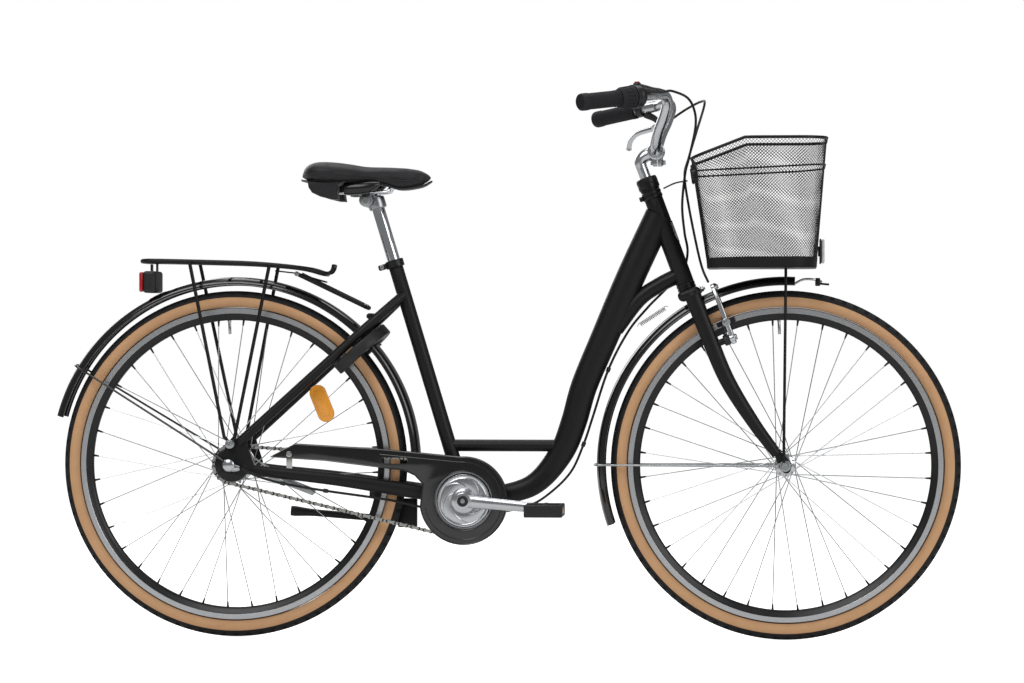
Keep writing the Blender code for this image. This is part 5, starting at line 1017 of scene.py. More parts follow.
fork_mesh = combined(fork_mesh, [
    bar(0.0114, steer_point(0, 0, HEAD_TOP - 0.075), steer_point(0, 0, STEERER_TOP + 0.01), 32),
    bar(0.0048, FRONT - Vector((0, 0.1, 0)), FRONT + Vector((0, 0.1, 0)), 24),
], "DIFFERENCE")
piece("fork_blades", fork_mesh, POWDER_COAT, "steering", "fork")


def hex_bolt(place, way, radius=0.0045, head=0.0034, recess=True):
    """A cap screw's round head with a six-sided recess, standing on a surface."""
    place, way = Vector(place), Vector(way).normalized()
    body = bar(radius, place, place + way * head, 28, 0.0006)
    if recess:
        body = combined(body, [bar(radius * 0.52, place + way * head * 0.35, place + way * (head + 0.002), 6, 0.0)],
                        "DIFFERENCE")
    return body


def hex_nut(place, way, across=0.0085, thick=0.006):
    """A six-sided nut with its corners turned off, over a flat washer."""
    place, way = Vector(place), Vector(way).normalized()
    nut = turned([(0.0, 0.0), (across * 0.92, 0.0), (across, thick * 0.16), (across, thick * 0.84),
                  (across * 0.90, thick), (0.0, thick)], 6, place + way * 0.0012, way)
    return [nut, bar(across * 1.12, place, place + way * 0.0012, 28, 0.0003)]


crown_bolt = steer_point(0.0245, 0.0, (CROWN_BOTTOM + CROWN_TOP) / 2 + 0.001)
piece("crown_bolt", [
    *hex_nut(crown_bolt, STEER_FORWARD, 0.0062, 0.0050),
    bar(0.0029, crown_bolt, crown_bolt + STEER_FORWARD * 0.0095, 16),
], ZINC, "steering")
side_hole = steer_point(0.006, -0.0557, CROWN_BOTTOM + 0.009)
piece("crown_plugs", [hex_bolt(side_hole, (0, -1, 0), 0.0048, 0.0014),
                      hex_bolt(mirrored(side_hole), (0, 1, 0), 0.0048, 0.0014)], PLASTIC, "steering")

# ---------------------------------------------------------------- headset
# Pressed steel bearing cups over caged balls, black oxide finish, a knurled locking ring and a deep top
# nut. A small cable stop is clamped under it, and a grey enamel badge is fixed to the head tube.


def black_oxide():
    """Blackened steel: an oiled conversion coat, dark and semi-gloss with a trace of blue."""
    material, tree, shader, place = new_material("oiled_black_oxide_steel", "#141416", 0.34, metallic=0.35)
    mottle(tree, place, 14.0, ("#101012", "#1D1D20"), (0.28, 0.42), shader)
    grain(tree, place, 0.6, 0.015, shader)
    return material


BLACK_OXIDE = black_oxide()
lower = [(0.0130, CROWN_TOP + 0.0003), (0.0176, CROWN_TOP + 0.0003), (0.0190, CROWN_TOP + 0.0018),
         (0.0190, CROWN_TOP + 0.0052), (0.0182, CROWN_TOP + 0.0060), (0.0182, CROWN_TOP + 0.0070),
         (0.0190, CROWN_TOP + 0.0078), (0.0190, HEAD_BOTTOM - 0.0014), (0.0182, HEAD_BOTTOM - 0.0003),
         (0.0130, HEAD_BOTTOM - 0.0003)]
upper_low = HEAD_TOP + 0.0003
upper = [(0.0130, upper_low), (0.0188, upper_low), (0.0200, upper_low + 0.0014), (0.0200, upper_low + 0.0070),
         (0.0190, upper_low + 0.0080), (0.0190, upper_low + 0.0092), (0.0200, upper_low + 0.0102),
         (0.0200, upper_low + 0.0150), (0.0186, upper_low + 0.0166), (0.0186, upper_low + 0.0178),
         (0.0198, upper_low + 0.0190), (0.0196, upper_low + 0.0210), (0.0130, upper_low + 0.0210)]
nut_low = HEAD_TOP + 0.0216
top_nut = [(0.0130, nut_low), (0.0200, nut_low), (0.0214, nut_low + 0.0014), (0.0214, nut_low + 0.0100),
           (0.0209, nut_low + 0.0106), (0.0209, nut_low + 0.0114), (0.0215, nut_low + 0.0120),
           (0.0215, STEERER_TOP - 0.0070), (0.0208, STEERER_TOP - 0.0030), (0.0190, STEERER_TOP - 0.0010),
           (0.0130, STEERER_TOP - 0.0010)]
for name, profile, body, stands_for in (
    ("lower_bearing_cup", lower, "frame", "headset_lower_cup"),
    ("upper_bearing_cup", upper, "frame", "headset_upper_cup"),
    ("headset_locking_nut", top_nut, "steering", "headset_top_nut"),
):
    ring_mesh = turned(profile, 56, along="Z", ring=True)
    ring_mesh.transform(STEER_FRAME)
    piece(name, ring_mesh, BLACK_OXIDE, body, stands_for)
piece("headset_stop_bolt", [
    box_of((-0.0270, -0.0075, HEAD_TOP + 0.0030), (-0.0190, 0.0075, HEAD_TOP + 0.0125), 0.0018, 3, STEER_FRAME),
    hex_bolt(steer_point(-0.0235, -0.0075, HEAD_TOP + 0.0078), (0, -1, 0), 0.0032, 0.0026),
], BLACK_OXIDE, "frame")


def grey_enamel():
    """Baked enamel on thin aluminium: pale grey and smooth."""
    material, tree, shader, place = new_material("pale_grey_baked_enamel", "#B4B5BD", 0.28, IOR=1.5,
                                                 Coat_Weight=0.4, Coat_Roughness=0.08)
    mottle(tree, place, 14.0, ("#A3A4AE", "#C6C7CD"), (0.22, 0.34), shader)
    grain(tree, place, 2.0, 0.015, shader)
    return material


def badge_mesh():
    """A shield-shaped plate that is rolled to the head tube's curve."""
    half_turn = radians(38)
    bm = bmesh.new()
    bmesh.ops.create_grid(bm, x_segments=16, y_segments=16, size=1.0)
    for vert in bm.verts:
        across, up = vert.co.x, vert.co.y
        taper = 1.0 if up > -0.1 else sqrt(max(0.0, 1 - ((-0.1 - up) / 0.9) ** 2)) * 0.985 + 0.015
        turn = across * half_turn * taper
        radius = HEAD_TUBE_RADIUS + 0.0009
        vert.co = Vector((radius * cos(turn), radius * sin(turn), HEAD_BOTTOM + 0.103 + 0.021 * up))
    bmesh.ops.solidify(bm, geom=bm.faces[:], thickness=0.0008)
    return as_mesh(bm, STEER_FRAME)


piece("head_badge", badge_mesh(), grey_enamel(), "frame")

# ---------------------------------------------------------------- stem and handlebar
# A forged aluminium quill stem, held in the steerer by a wedge, with a forward clamp and its bolt. The
# bar is drawn tube, bent, polished and lacquered, and it sweeps up and back to the grips.
BAR_CLAMP = steer_point(0.0, 0.0, STEERER_TOP + 0.052) + Vector((0.0393, 0.0, 0.0038))
BAR_RADIUS = 0.0110
quill_top = steer_point(0.0, 0.0, STEERER_TOP + 0.030)
stem_route = [
    (*steer_point(0.0, 0.0, HEAD_TOP - 0.0747), 0.0111),
    (*steer_point(0.0, 0.0, STEERER_TOP + 0.004), 0.0111),
    (*(quill_top - STEER_UP * 0.008), 0.0111),
    (*(quill_top + Vector((0.0005, 0.0, 0.004))), 0.0120),
    (quill_top.x + 0.0080, 0.0, BAR_CLAMP.z - 0.0100, 0.0130),
    (BAR_CLAMP.x - 0.004, 0.0, BAR_CLAMP.z - 0.0010, 0.0135),
]
stem_mesh = combined(rod(stem_route, 0.0111, 36, smooth=8), [
    bar(BAR_RADIUS + 0.0065, BAR_CLAMP - Vector((0, 0.019, 0)), BAR_CLAMP + Vector((0, 0.019, 0)), 48, 0.0016),
    box_of((BAR_CLAMP.x - 0.0075, -0.0115, BAR_CLAMP.z - 0.0300), (BAR_CLAMP.x + 0.0135, 0.0115, BAR_CLAMP.z - 0.008),
           0.0032, 4),
])
stem_mesh = combined(stem_mesh, [
    bar(BAR_RADIUS + 0.0003, BAR_CLAMP - Vector((0, 0.05, 0)), BAR_CLAMP + Vector((0, 0.05, 0)), 48),
    box_of((BAR_CLAMP.x + 0.0015, -0.020, BAR_CLAMP.z - 0.032), (BAR_CLAMP.x + 0.0031, 0.020, BAR_CLAMP.z - 0.009), 0.0),
], "DIFFERENCE")
piece("quill_stem", stem_mesh, POLISHED, "steering", "stem")
clamp_bolt = BAR_CLAMP + Vector((-0.0075, 0.0, -0.0225))
piece("stem_clamp_bolt", [hex_bolt(clamp_bolt, (-1, 0, 0), 0.0048, 0.0036)]
      + hex_nut(BAR_CLAMP + Vector((0.0135, 0.0, -0.0225)), (1, 0, 0), 0.0052, 0.0042), ZINC, "steering")

BAR_TOP = BAR_CLAMP.z + 0.103
GRIP_LENGTH = 0.116
GRIP_RADIUS = 0.0170
GRIP_WAY = Vector((-0.750, 0.650, -0.120)).normalized()
GRIP_END = Vector((BAR_CLAMP.x - 0.1360, 0.290, BAR_TOP - 0.0223))
GRIP_START = GRIP_END - GRIP_WAY * GRIP_LENGTH
half_bar = [
    (BAR_CLAMP.x, 0.0, BAR_CLAMP.z),
    (BAR_CLAMP.x, 0.010, BAR_CLAMP.z),
    (BAR_CLAMP.x, 0.020, BAR_CLAMP.z),
    (BAR_CLAMP.x, 0.030, BAR_CLAMP.z),
    (BAR_CLAMP.x + 0.001, 0.050, BAR_CLAMP.z + 0.010),
    (BAR_CLAMP.x + 0.0080, 0.072, BAR_CLAMP.z + 0.037),
    (BAR_CLAMP.x + 0.0200, 0.090, BAR_TOP - 0.036),
    (BAR_CLAMP.x + 0.0260, 0.105, BAR_TOP - 0.011),
    (BAR_CLAMP.x + 0.0200, 0.121, BAR_TOP + 0.001),
    (BAR_CLAMP.x + 0.0065, 0.145, BAR_TOP + 0.002),
    tuple(GRIP_START - GRIP_WAY * 0.060),
]
side_route = [tuple(point) for point in smooth_route(half_bar, 8)] + [tuple(GRIP_START), tuple(GRIP_END - GRIP_WAY * 0.004)]
bar_route = [mirrored(point) for point in reversed(side_route[1:])] + side_route
piece("swept_handlebar", rod(bar_route, BAR_RADIUS, 32), POLISHED, "steering", "handlebar")

# ---------------------------------------------------------------- grips and shifter
# Moulded rubber grips with fine rings and a knurled end, pushed on the bar. On the right a rubber twist
# sleeve turns against a moulded housing that carries a red index and the cable's nozzle.


def grip_rubber():
    """Soft moulded rubber: dark grey-black, dry and matt, with a fine pebbled skin."""
    material, tree, shader, place = new_material("pebbled_grip_rubber", "#1B1B1E", 0.68, IOR=1.52, Specular_IOR_Level=0.28)
    mottle(tree, place, 20.0, ("#17171A", "#232327"), (0.6, 0.76), shader)
    grain(tree, place, 1.1, 0.12, shader)
    return material


GRIP_RUBBER = grip_rubber()
RIGHT_WAY = Vector(mirrored(GRIP_WAY))
RIGHT_START = Vector(mirrored(GRIP_START))


def grip_profile(length):
    """A sleeve that swells to its end, with rings near the hand's inner edge and grooves along it."""
    bore = BAR_RADIUS + 0.0003
    profile = [(bore, 0.0), (0.0150, 0.0), (0.0165, 0.0012), (0.0165, 0.0040), (0.0150, 0.0048), (0.0150, 0.0060),
               (0.0165, 0.0068), (0.0165, 0.0096), (0.0152, 0.0104), (0.0152, 0.0114)]
    place = 0.0122
    while place < length - 0.024:
        profile += [(0.0160, place), (0.0160, place + 0.0020), (0.0156, place + 0.0024), (0.0156, place + 0.0030)]
        place += 0.0034
    return profile + [(0.0164, length - 0.020), (0.0170, length - 0.017), (0.0170, length - 0.0050),
                      (0.0164, length - 0.0022), (0.0145, length - 0.0004), (0.0120, length), (0.0118, length - 0.0006),
                      (0.0, length - 0.0006)]


for name, start, way, length in (
    ("left_grip", GRIP_START, GRIP_WAY, GRIP_LENGTH),
    ("right_grip", RIGHT_START + RIGHT_WAY * 0.022, RIGHT_WAY, GRIP_LENGTH - 0.022),
):
    sleeve = turned(grip_profile(length), 48, start, way)
    knobs = bmesh.new()
    for ring, count in ((0.0035, 6), (0.0070, 12), (0.0102, 18)):
        for number in range(count):
            turn = 2 * pi * number / count
            bmesh.ops.create_cone(knobs, cap_ends=True, segments=6, radius1=0.0011, radius2=0.0006, depth=0.0012,
                                  matrix=Matrix.Translation((ring * cos(turn), ring * sin(turn), length - 0.0002)))
    knob_mesh = as_mesh(knobs, Matrix.Translation(start) @ way.to_track_quat("Z", "Y").to_matrix().to_4x4())
    piece(f"{name}_sleeve", [sleeve, knob_mesh], GRIP_RUBBER, "steering", name)

TWIST_LENGTH = 0.034
HOUSING_LENGTH = 0.026
twist_start = joint_place("shifter_twist")
twist_bm = bmesh.new()
bore = BAR_RADIUS + 0.0003
twist_profile = [(bore, 0.0), (0.0212, 0.0), (0.0222, 0.0010), (0.0225, 0.0035), (0.0222, 0.0060), (0.0216, 0.0068),
                 (0.0216, 0.0076), (0.0221, 0.0084), (0.0212, TWIST_LENGTH - 0.0075), (0.0188, TWIST_LENGTH - 0.0020),
                 (0.0172, TWIST_LENGTH), (bore, TWIST_LENGTH)]
twist_mesh = turned(twist_profile, 72, ring=True, along="Z")
twist_bm.from_mesh(twist_mesh)
bpy.data.meshes.remove(twist_mesh)
ribs = []
for face in twist_bm.faces:
    spot = face.calc_center_median()
    column = int((atan2(spot.y, spot.x) + pi) / (2 * pi) * 72)
    if 0.0085 < spot.z < TWIST_LENGTH - 0.0070 and sqrt(spot.x**2 + spot.y**2) > 0.018 and column % 4 < 2:
        ribs.append(face)
bmesh.ops.inset_region(twist_bm, faces=ribs, thickness=0.0003, depth=-0.0007)
twist_frame = Matrix.Translation(twist_start) @ RIGHT_WAY.to_track_quat("Z", "Y").to_matrix().to_4x4()
piece("shifter_twist_sleeve", as_mesh(twist_bm, twist_frame), GRIP_RUBBER, "shifter_grip", "shifter_twist_grip")
housing_start = twist_start - RIGHT_WAY * (HOUSING_LENGTH + 0.0006)
housing_profile = [(bore, 0.0), (0.0150, 0.0), (0.0172, 0.0014), (0.0205, 0.0052), (0.0225, 0.0080), (0.0232, 0.0120),
                   (0.0232, 0.0150), (0.0227, 0.0158), (0.0227, 0.0166), (0.0235, 0.0174), (0.0235, HOUSING_LENGTH - 0.001),
                   (0.0228, HOUSING_LENGTH), (bore, HOUSING_LENGTH)]
housing_middle = housing_start + RIGHT_WAY * 0.014
NOZZLE_START = housing_middle + Vector((0.016, 0.0, 0.014))
NOZZLE_END = NOZZLE_START + Vector((0.036, 0.012, -0.004))
nozzle_way = (NOZZLE_END - NOZZLE_START).normalized()
piece("shifter_housing_shell", [
    turned(housing_profile, 56, housing_start, RIGHT_WAY, ring=True),
    box_of((-0.0075, -0.0080, 0.010), (0.0080, 0.0080, 0.0270), 0.0035, 4, Matrix.Translation(housing_middle)),
    rod([(*(NOZZLE_START - nozzle_way * 0.008), 0.0090), (*NOZZLE_START, 0.0082), (*(NOZZLE_START + nozzle_way * 0.012), 0.0062),
         (*(NOZZLE_START + nozzle_way * 0.022), 0.0054)], 0.0082, 24, smooth=4),
    bar(0.0049, NOZZLE_START + nozzle_way * 0.020, NOZZLE_END - nozzle_way * 0.004, 20),
    bar(0.0055, NOZZLE_START + nozzle_way * 0.022, NOZZLE_START + nozzle_way * 0.030, 12),
    bar(0.0038, NOZZLE_END - nozzle_way * 0.006, NOZZLE_END, 20),
], moulded_plastic("satin_black_nylon", ("#111113", "#1C1C1F"), (0.32, 0.45)), "steering", "shifter_housing")


def red_acrylic():
    """Clear red moulded acrylic, glossy, its red a little deeper or paler at random."""
    material, tree, shader, place = new_material("clear_red_acrylic", "#B0161B", 0.12, IOR=1.49, Coat_Weight=0.5,
                                                 Coat_Roughness=0.03)
    mottle(tree, place, 8.0, ("#8E0F14", "#C6232A"), (0.08, 0.18), shader)
    grain(tree, place, 4.0, 0.02, shader)
    return material


RED_ACRYLIC = red_acrylic()
piece("shifter_index", box_of((-0.0045, -0.0060, 0.0268), (0.0050, 0.0060, 0.0288), 0.0008, 3,
                              Matrix.Translation(housing_middle)), RED_ACRYLIC, "steering")

# ---------------------------------------------------------------- brake lever
# A glass-filled nylon body is clamped to the bar, and a forged aluminium blade turns in it on a steel
# pin. The blade curls under the fingers, and its cable leaves through a barrel adjuster.
LEVER_PIVOT = joint_place("brake_lever_pull")
LEVER_AXIS = Vector(joints["brake_lever_pull"]["axis"])
LEVER_PLACE = GRIP_START - GRIP_WAY * 0.016
CABLE_STOP = LEVER_PIVOT + Vector((0.024, -0.020, 0.011))
lever_clamp = [(BAR_RADIUS + 0.0003, 0.0), (0.0148, 0.0), (0.0156, 0.0008), (0.0156, 0.0132), (0.0148, 0.0140),
               (BAR_RADIUS + 0.0003, 0.0140)]
bracket_route = [
    (*(LEVER_PLACE + Vector((0.008, -0.0075, -0.010))), 0.0080),
    (*(LEVER_PLACE + Vector((0.020, -0.016, -0.026)) + LEVER_AXIS * 0.0125), 0.0062),
    (*(LEVER_PIVOT + LEVER_AXIS * 0.0128), 0.0055),
]
barrel_way = (CABLE_STOP - (LEVER_PIVOT + LEVER_AXIS * 0.0125)).normalized()
piece("lever_body", [
    turned(lever_clamp, 40, GRIP_START - GRIP_WAY * 0.0226, GRIP_WAY, ring=True),
    rod(bracket_route, 0.0085, 24, smooth=8),
    bar(0.0095, LEVER_PIVOT + LEVER_AXIS * 0.0066, LEVER_PIVOT + LEVER_AXIS * 0.0150, 36, 0.0016),
    bar(0.0045, LEVER_PIVOT + LEVER_AXIS * 0.0125, CABLE_STOP, 20),
    bar(0.0056, CABLE_STOP - barrel_way * 0.012, CABLE_STOP - barrel_way * 0.004, 12),
], PLASTIC, "steering", "brake_lever_body")
piece("lever_pivot_bolt", hex_bolt(LEVER_PIVOT + LEVER_AXIS * 0.0148, LEVER_AXIS, 0.0046, 0.0022), ZINC, "steering")
blade_rows = [(0.0, 0.0, 0.0, 0.0054), (-0.020, 0.028, -0.003, 0.0054), (-0.041, 0.056, -0.0085, 0.0052),
              (-0.054, 0.080, -0.019, 0.0050), (-0.059, 0.098, -0.031, 0.0048), (-0.060, 0.104, -0.038, 0.0056)]
blade_route = [(*(LEVER_PIVOT + Vector(row[:3])), row[3]) for row in blade_rows]
blade_mesh = combined(rod(blade_route, 0.0055, 28, smooth=8), [
    bar(0.0085, LEVER_PIVOT - LEVER_AXIS * 0.0060, LEVER_PIVOT + LEVER_AXIS * 0.0060, 36, 0.0012)])
piece("lever_blade", blade_mesh, POLISHED, "brake_lever", "brake_lever_blade")

# ---------------------------------------------------------------- front brake
# Two forged and polished arms stand on the fork's studs. The pads' threaded posts are clamped in curved
# washers, and the cable's steel noodle joins the arms' tops.
STEER_TURN = STEER_FRAME.to_3x3().to_4x4()


def steer_solid(outline, near, far, bevel, segments=3):
    """A plate of an (across, up) outline, between two places forward of the steering axis."""
    bm = bmesh.new()
    face = bm.faces.new([bm.verts.new((near, across, up)) for across, up in outline])
    grown = bmesh.ops.extrude_face_region(bm, geom=[face])
    ends = [item for item in grown["geom"] if isinstance(item, bmesh.types.BMVert)]
    bmesh.ops.translate(bm, verts=ends, vec=(far - near, 0.0, 0.0))
    rims = [edge for edge in bm.edges if abs(edge.verts[0].co.x - edge.verts[1].co.x) < 1e-7]
    bmesh.ops.bevel(bm, geom=rims, offset=bevel, segments=segments, profile=0.5, affect="EDGES", material=-1)
    return as_mesh(bm, STEER_FRAME)


PAD_HEIGHT = RIM_RADIUS - 0.0068
for label, side in (("left", 1), ("right", -1)):
    body = f"brake_arm_{label}"
    offsets = [(-0.0075, -0.006), (-0.0055, -0.0105), (0.0, -0.012), (0.0055, -0.0105), (0.0075, -0.006),
               (0.0075, 0.020), (0.0085, 0.032), (0.0078, 0.046), (0.0060, 0.060), (0.0045, 0.085),
               (0.0000, 0.100), (-0.0035, 0.110), (-0.0080, 0.1135), (-0.0125, 0.111), (-0.0105, 0.100),
               (-0.0070, 0.085), (-0.0062, 0.060), (-0.0068, 0.046), (-0.0072, 0.032), (-0.0060, 0.018)]
    outline = [(side * (BRAKE_ACROSS + across), BRAKE_UP + up) for across, up in offsets]
    middle = (BRAKE_NEAR + BRAKE_FAR) / 2
    shank = [
        steer_solid(outline, BRAKE_NEAR + 0.0008, BRAKE_FAR - 0.0006, 0.0022, 4),
        bar(0.0088, steer_point(BRAKE_NEAR, side * BRAKE_ACROSS, BRAKE_UP),
            steer_point(BRAKE_FAR, side * BRAKE_ACROSS, BRAKE_UP), 36, 0.0012),
        bar(0.0070, steer_point(BRAKE_NEAR + 0.0008, side * (BRAKE_ACROSS - 0.008), BRAKE_UP + 0.108),
            steer_point(BRAKE_FAR + 0.0008, side * (BRAKE_ACROSS - 0.008), BRAKE_UP + 0.108), 28, 0.0012),
    ]
    pivot_hole = bar(0.0046, steer_point(0.02, side * BRAKE_ACROSS, BRAKE_UP),
                     steer_point(0.09, side * BRAKE_ACROSS, BRAKE_UP), 28)
    arm_mesh = combined(shank[0], shank[1:])
    arm_mesh = combined(arm_mesh, [pivot_hole], "DIFFERENCE")
    piece(f"{label}_brake_shank", arm_mesh, POLISHED, body, body)
    pad_inner = side * (RIM_HALF + 0.0018)
    pad_outer = side * (RIM_HALF + 0.0108)
    low, high = sorted((pad_inner, pad_outer))
    pad = [box_of((middle - 0.020, low, PAD_HEIGHT - 0.0050), (middle + 0.018, high, PAD_HEIGHT + 0.0050), 0.0014, 3,
                  STEER_FRAME)]
    for groove in (-0.010, 0.0, 0.010):
        pad.append(box_of((middle + groove - 0.0032, min(pad_outer, pad_outer + side * 0.0008), PAD_HEIGHT - 0.0046),
                          (middle + groove + 0.0032, max(pad_outer, pad_outer + side * 0.0008), PAD_HEIGHT + 0.0046),
                          0.0005, 2, STEER_FRAME))
    piece(f"{label}_brake_pad", pad, GRIP_RUBBER, body)
    post = [
        bar(0.0030, steer_point(middle, pad_outer - side * 0.001, PAD_HEIGHT),
            steer_point(middle, side * (BRAKE_ACROSS + 0.0185), PAD_HEIGHT), 20),
        bar(0.0072, steer_point(middle, pad_outer + side * 0.004, PAD_HEIGHT),
            steer_point(middle, pad_outer + side * 0.0085, PAD_HEIGHT), 28, 0.0016),
        bar(0.0082, steer_point(middle, side * (BRAKE_ACROSS + 0.0082), PAD_HEIGHT),
            steer_point(middle, side * (BRAKE_ACROSS + 0.0122), PAD_HEIGHT), 28, 0.0018),
        *hex_nut(steer_point(middle, side * (BRAKE_ACROSS + 0.0122), PAD_HEIGHT), STEER_TURN @ Vector((0, side, 0)),
                 0.0052, 0.0040),
        hex_bolt(steer_point(BRAKE_FAR, side * BRAKE_ACROSS, BRAKE_UP), STEER_FORWARD, 0.0058, 0.0036),
        hex_bolt(steer_point(BRAKE_FAR + 0.0006, side * (BRAKE_ACROSS - 0.008), BRAKE_UP + 0.108), STEER_FORWARD,
                 0.0040, 0.0030),
    ]
    piece(f"{label}_brake_bolts", post, ZINC, body)
    spring_way = [(*steer_point(BRAKE_NEAR - 0.004, side * (BRAKE_ACROSS + 0.0095), BRAKE_UP - 0.004),),
                  (*steer_point(BRAKE_NEAR - 0.003, side * (BRAKE_ACROSS + 0.0100), BRAKE_UP + 0.020),),
                  (*steer_point(BRAKE_NEAR - 0.001, side * (BRAKE_ACROSS + 0.0085), BRAKE_UP + 0.046),)]
    piece(f"{label}_brake_spring", [
        rod(spring_way, 0.0010, 10, smooth=4),
        bar(0.0108, steer_point(BRAKE_NEAR - 0.0120, side * BRAKE_ACROSS, BRAKE_UP),
            steer_point(BRAKE_NEAR - 0.0010, side * BRAKE_ACROSS, BRAKE_UP), 32, 0.0020),
    ], PLASTIC, body)

# ---------------------------------------------------------------- seat post
# Chromed steel tube, held in the seat tube by an alloy clamp ring whose lugs are drawn together by one
# screw at the back.
SEAT_TOP = on_seat_tube(SEAT_TOP_HEIGHT)
POST_TOP = on_seat_tube(0.8880)
SEAT_LEAN = atan2(-SEAT_UP.x, SEAT_UP.z)
SEAT_FRAME = Matrix.Translation(SEAT_TOP) @ Matrix.Rotation(-SEAT_LEAN, 4, "Y")


def chrome_plate():
    """Chrome over nickel on drawn steel tube: a mirror with a faint cool tint and drawing lines."""
    material, tree, shader, place = new_material("chrome_on_drawn_tube", "#D7DADF", 0.07, metallic=1.0)
    mottle(tree, place, 45.0, ("#CDD1D7", "#E0E2E6"), (0.04, 0.12), shader)
    grain(tree, place, 5.0, 0.008, shader)
    return material


CHROME = chrome_plate()
piece("chromed_seat_post", bar(0.0127, SEAT_TOP - SEAT_UP * 0.180, POST_TOP, 48, 0.0008), CHROME, "seat", "seatpost")
collar = [(0.0148, -0.0120), (0.0178, -0.0120), (0.0185, -0.0112), (0.0185, 0.0020), (0.0176, 0.0030),
          (0.0133, 0.0030), (0.0133, 0.0003), (0.0148, 0.0003)]
collar_mesh = turned(collar, 48, along="Z", ring=True)
collar_mesh.transform(SEAT_FRAME)
lug_gap = box_of((-0.040, -0.0010, -0.014), (-0.0135, 0.0010, 0.004), 0.0)
lug_gap.transform(SEAT_FRAME)
collar_mesh = combined(collar_mesh, [
    box_of((-0.0340, -0.0085, -0.0100), (-0.0160, 0.0085, 0.0010), 0.0028, 4, SEAT_FRAME)])
piece("seat_clamp_ring", combined(collar_mesh, [lug_gap], "DIFFERENCE"), BLACK_OXIDE, "frame", "seat_clamp")
clamp_screw = SEAT_FRAME @ Vector((-0.0262, -0.0085, -0.0045))
piece("seat_clamp_screw", [hex_bolt(clamp_screw, (0, -1, 0), 0.0042, 0.0036)]
      + hex_nut(SEAT_FRAME @ Vector((-0.0262, 0.0085, -0.0045)), (0, 1, 0), 0.0044, 0.0036), ZINC, "frame")

# ---------------------------------------------------------------- saddle
# Moulded foam on a plastic shell under a stitched vinyl cover, with a plastic skirt and rubber bumpers
# below the back. Chromed wire rails run through a toothed clamp on the post.
SEAT_X = POST_TOP.x
SEAT_Z = POST_TOP.z
SADDLE_LENGTH = 0.259
SADDLE_HALF = 0.100
SADDLE_REAR = SEAT_X - 0.1434
SADDLE_ROWS = [
    (0.000, 0.45, 0.0440, 0.0335), (0.042, 0.80, 0.0580, 0.0315), (0.118, 0.97, 0.0650, 0.0310),
    (0.253, 1.00, 0.0645, 0.0305), (0.389, 0.83, 0.0605, 0.0300), (0.505, 0.60, 0.0560, 0.0295),
    (0.660, 0.40, 0.0555, 0.0235), (0.730, 0.35, 0.0550, 0.0175), (0.815, 0.31, 0.0535, 0.0170),
    (0.930, 0.25, 0.0490, 0.0225), (1.000, 0.10, 0.0400, 0.0320),
]


def saddle_vinyl():
    """Embossed PVC on a knitted back: soft black with a fine leather grain and a low sheen."""
    material, tree, shader, place = new_material("embossed_black_vinyl", "#19191B", 0.5, IOR=1.53,
                                                 Sheen_Weight=0.12, Sheen_Roughness=0.5, Specular_IOR_Level=0.28)
    mottle(tree, place, 30.0, ("#161618", "#202024"), (0.44, 0.58), shader)
    cells = add(tree, "ShaderNodeTexVoronoi", {"Vector": place, "Scale": 1000.0 / 1.6, "Randomness": 1.0},
                feature="DISTANCE_TO_EDGE")
    skin = add(tree, "ShaderNodeBump", {"Height": cells.outputs["Distance"], "Distance": 0.00025, "Strength": 0.6})
    tree.links.new(skin.outputs["Normal"], shader.inputs["Normal"])
    return material


def cover_row(half, top, bottom):
    """The cushion's section: flat below, full at its sides and domed above, with a shallow middle."""
    tall = top - bottom
    right = [(half * 0.90, bottom), (half * 0.965, bottom + tall * 0.10), (half, bottom + tall * 0.34),
             (half * 0.985, bottom + tall * 0.56), (half * 0.92, top - tall * 0.22), (half * 0.78, top - tall * 0.08),
             (half * 0.55, top - tall * 0.01), (half * 0.25, top - tall * 0.02)]
    return right + [(-y, z) for y, z in reversed(right)]


def base_row(half, top, bottom):
    """The plastic shell's section, just below the cushion."""
    high = bottom - 0.0003
    low = bottom - 0.0040
    return [(half * 0.88, high), (half * 0.86, low + 0.0025), (half * 0.78, low), (-half * 0.78, low),
            (-half * 0.86, low + 0.0025), (-half * 0.88, high)]


def saddle_loft(shape, per_span=3, ends=0.55):
    """A body swept from the saddle's back to its nose. The shape gives each row's outline points."""
    rows = smooth_route([(share, width, top, bottom) for share, width, top, bottom in SADDLE_ROWS], per_span)
    bm = bmesh.new()
    loops = []
    for share, width, top, bottom in rows:
        x = SADDLE_REAR + share * SADDLE_LENGTH
        verts = [bm.verts.new((x, y, SEAT_Z + z)) for y, z in shape(width * SADDLE_HALF, top, bottom)]
        loops.append([bm.edges.new((verts[i], verts[(i + 1) % len(verts)])) for i in range(len(verts))])
    bmesh.ops.bridge_loops(bm, edges=[edge for loop in loops for edge in loop])
    caps = [bmesh.ops.edgenet_fill(bm, edges=loop)["faces"] for loop in (loops[0], loops[-1])]
    bmesh.ops.inset_region(bm, faces=[face for cap in caps for face in cap], thickness=0.0030, depth=0.0012)
    return as_mesh(bm)


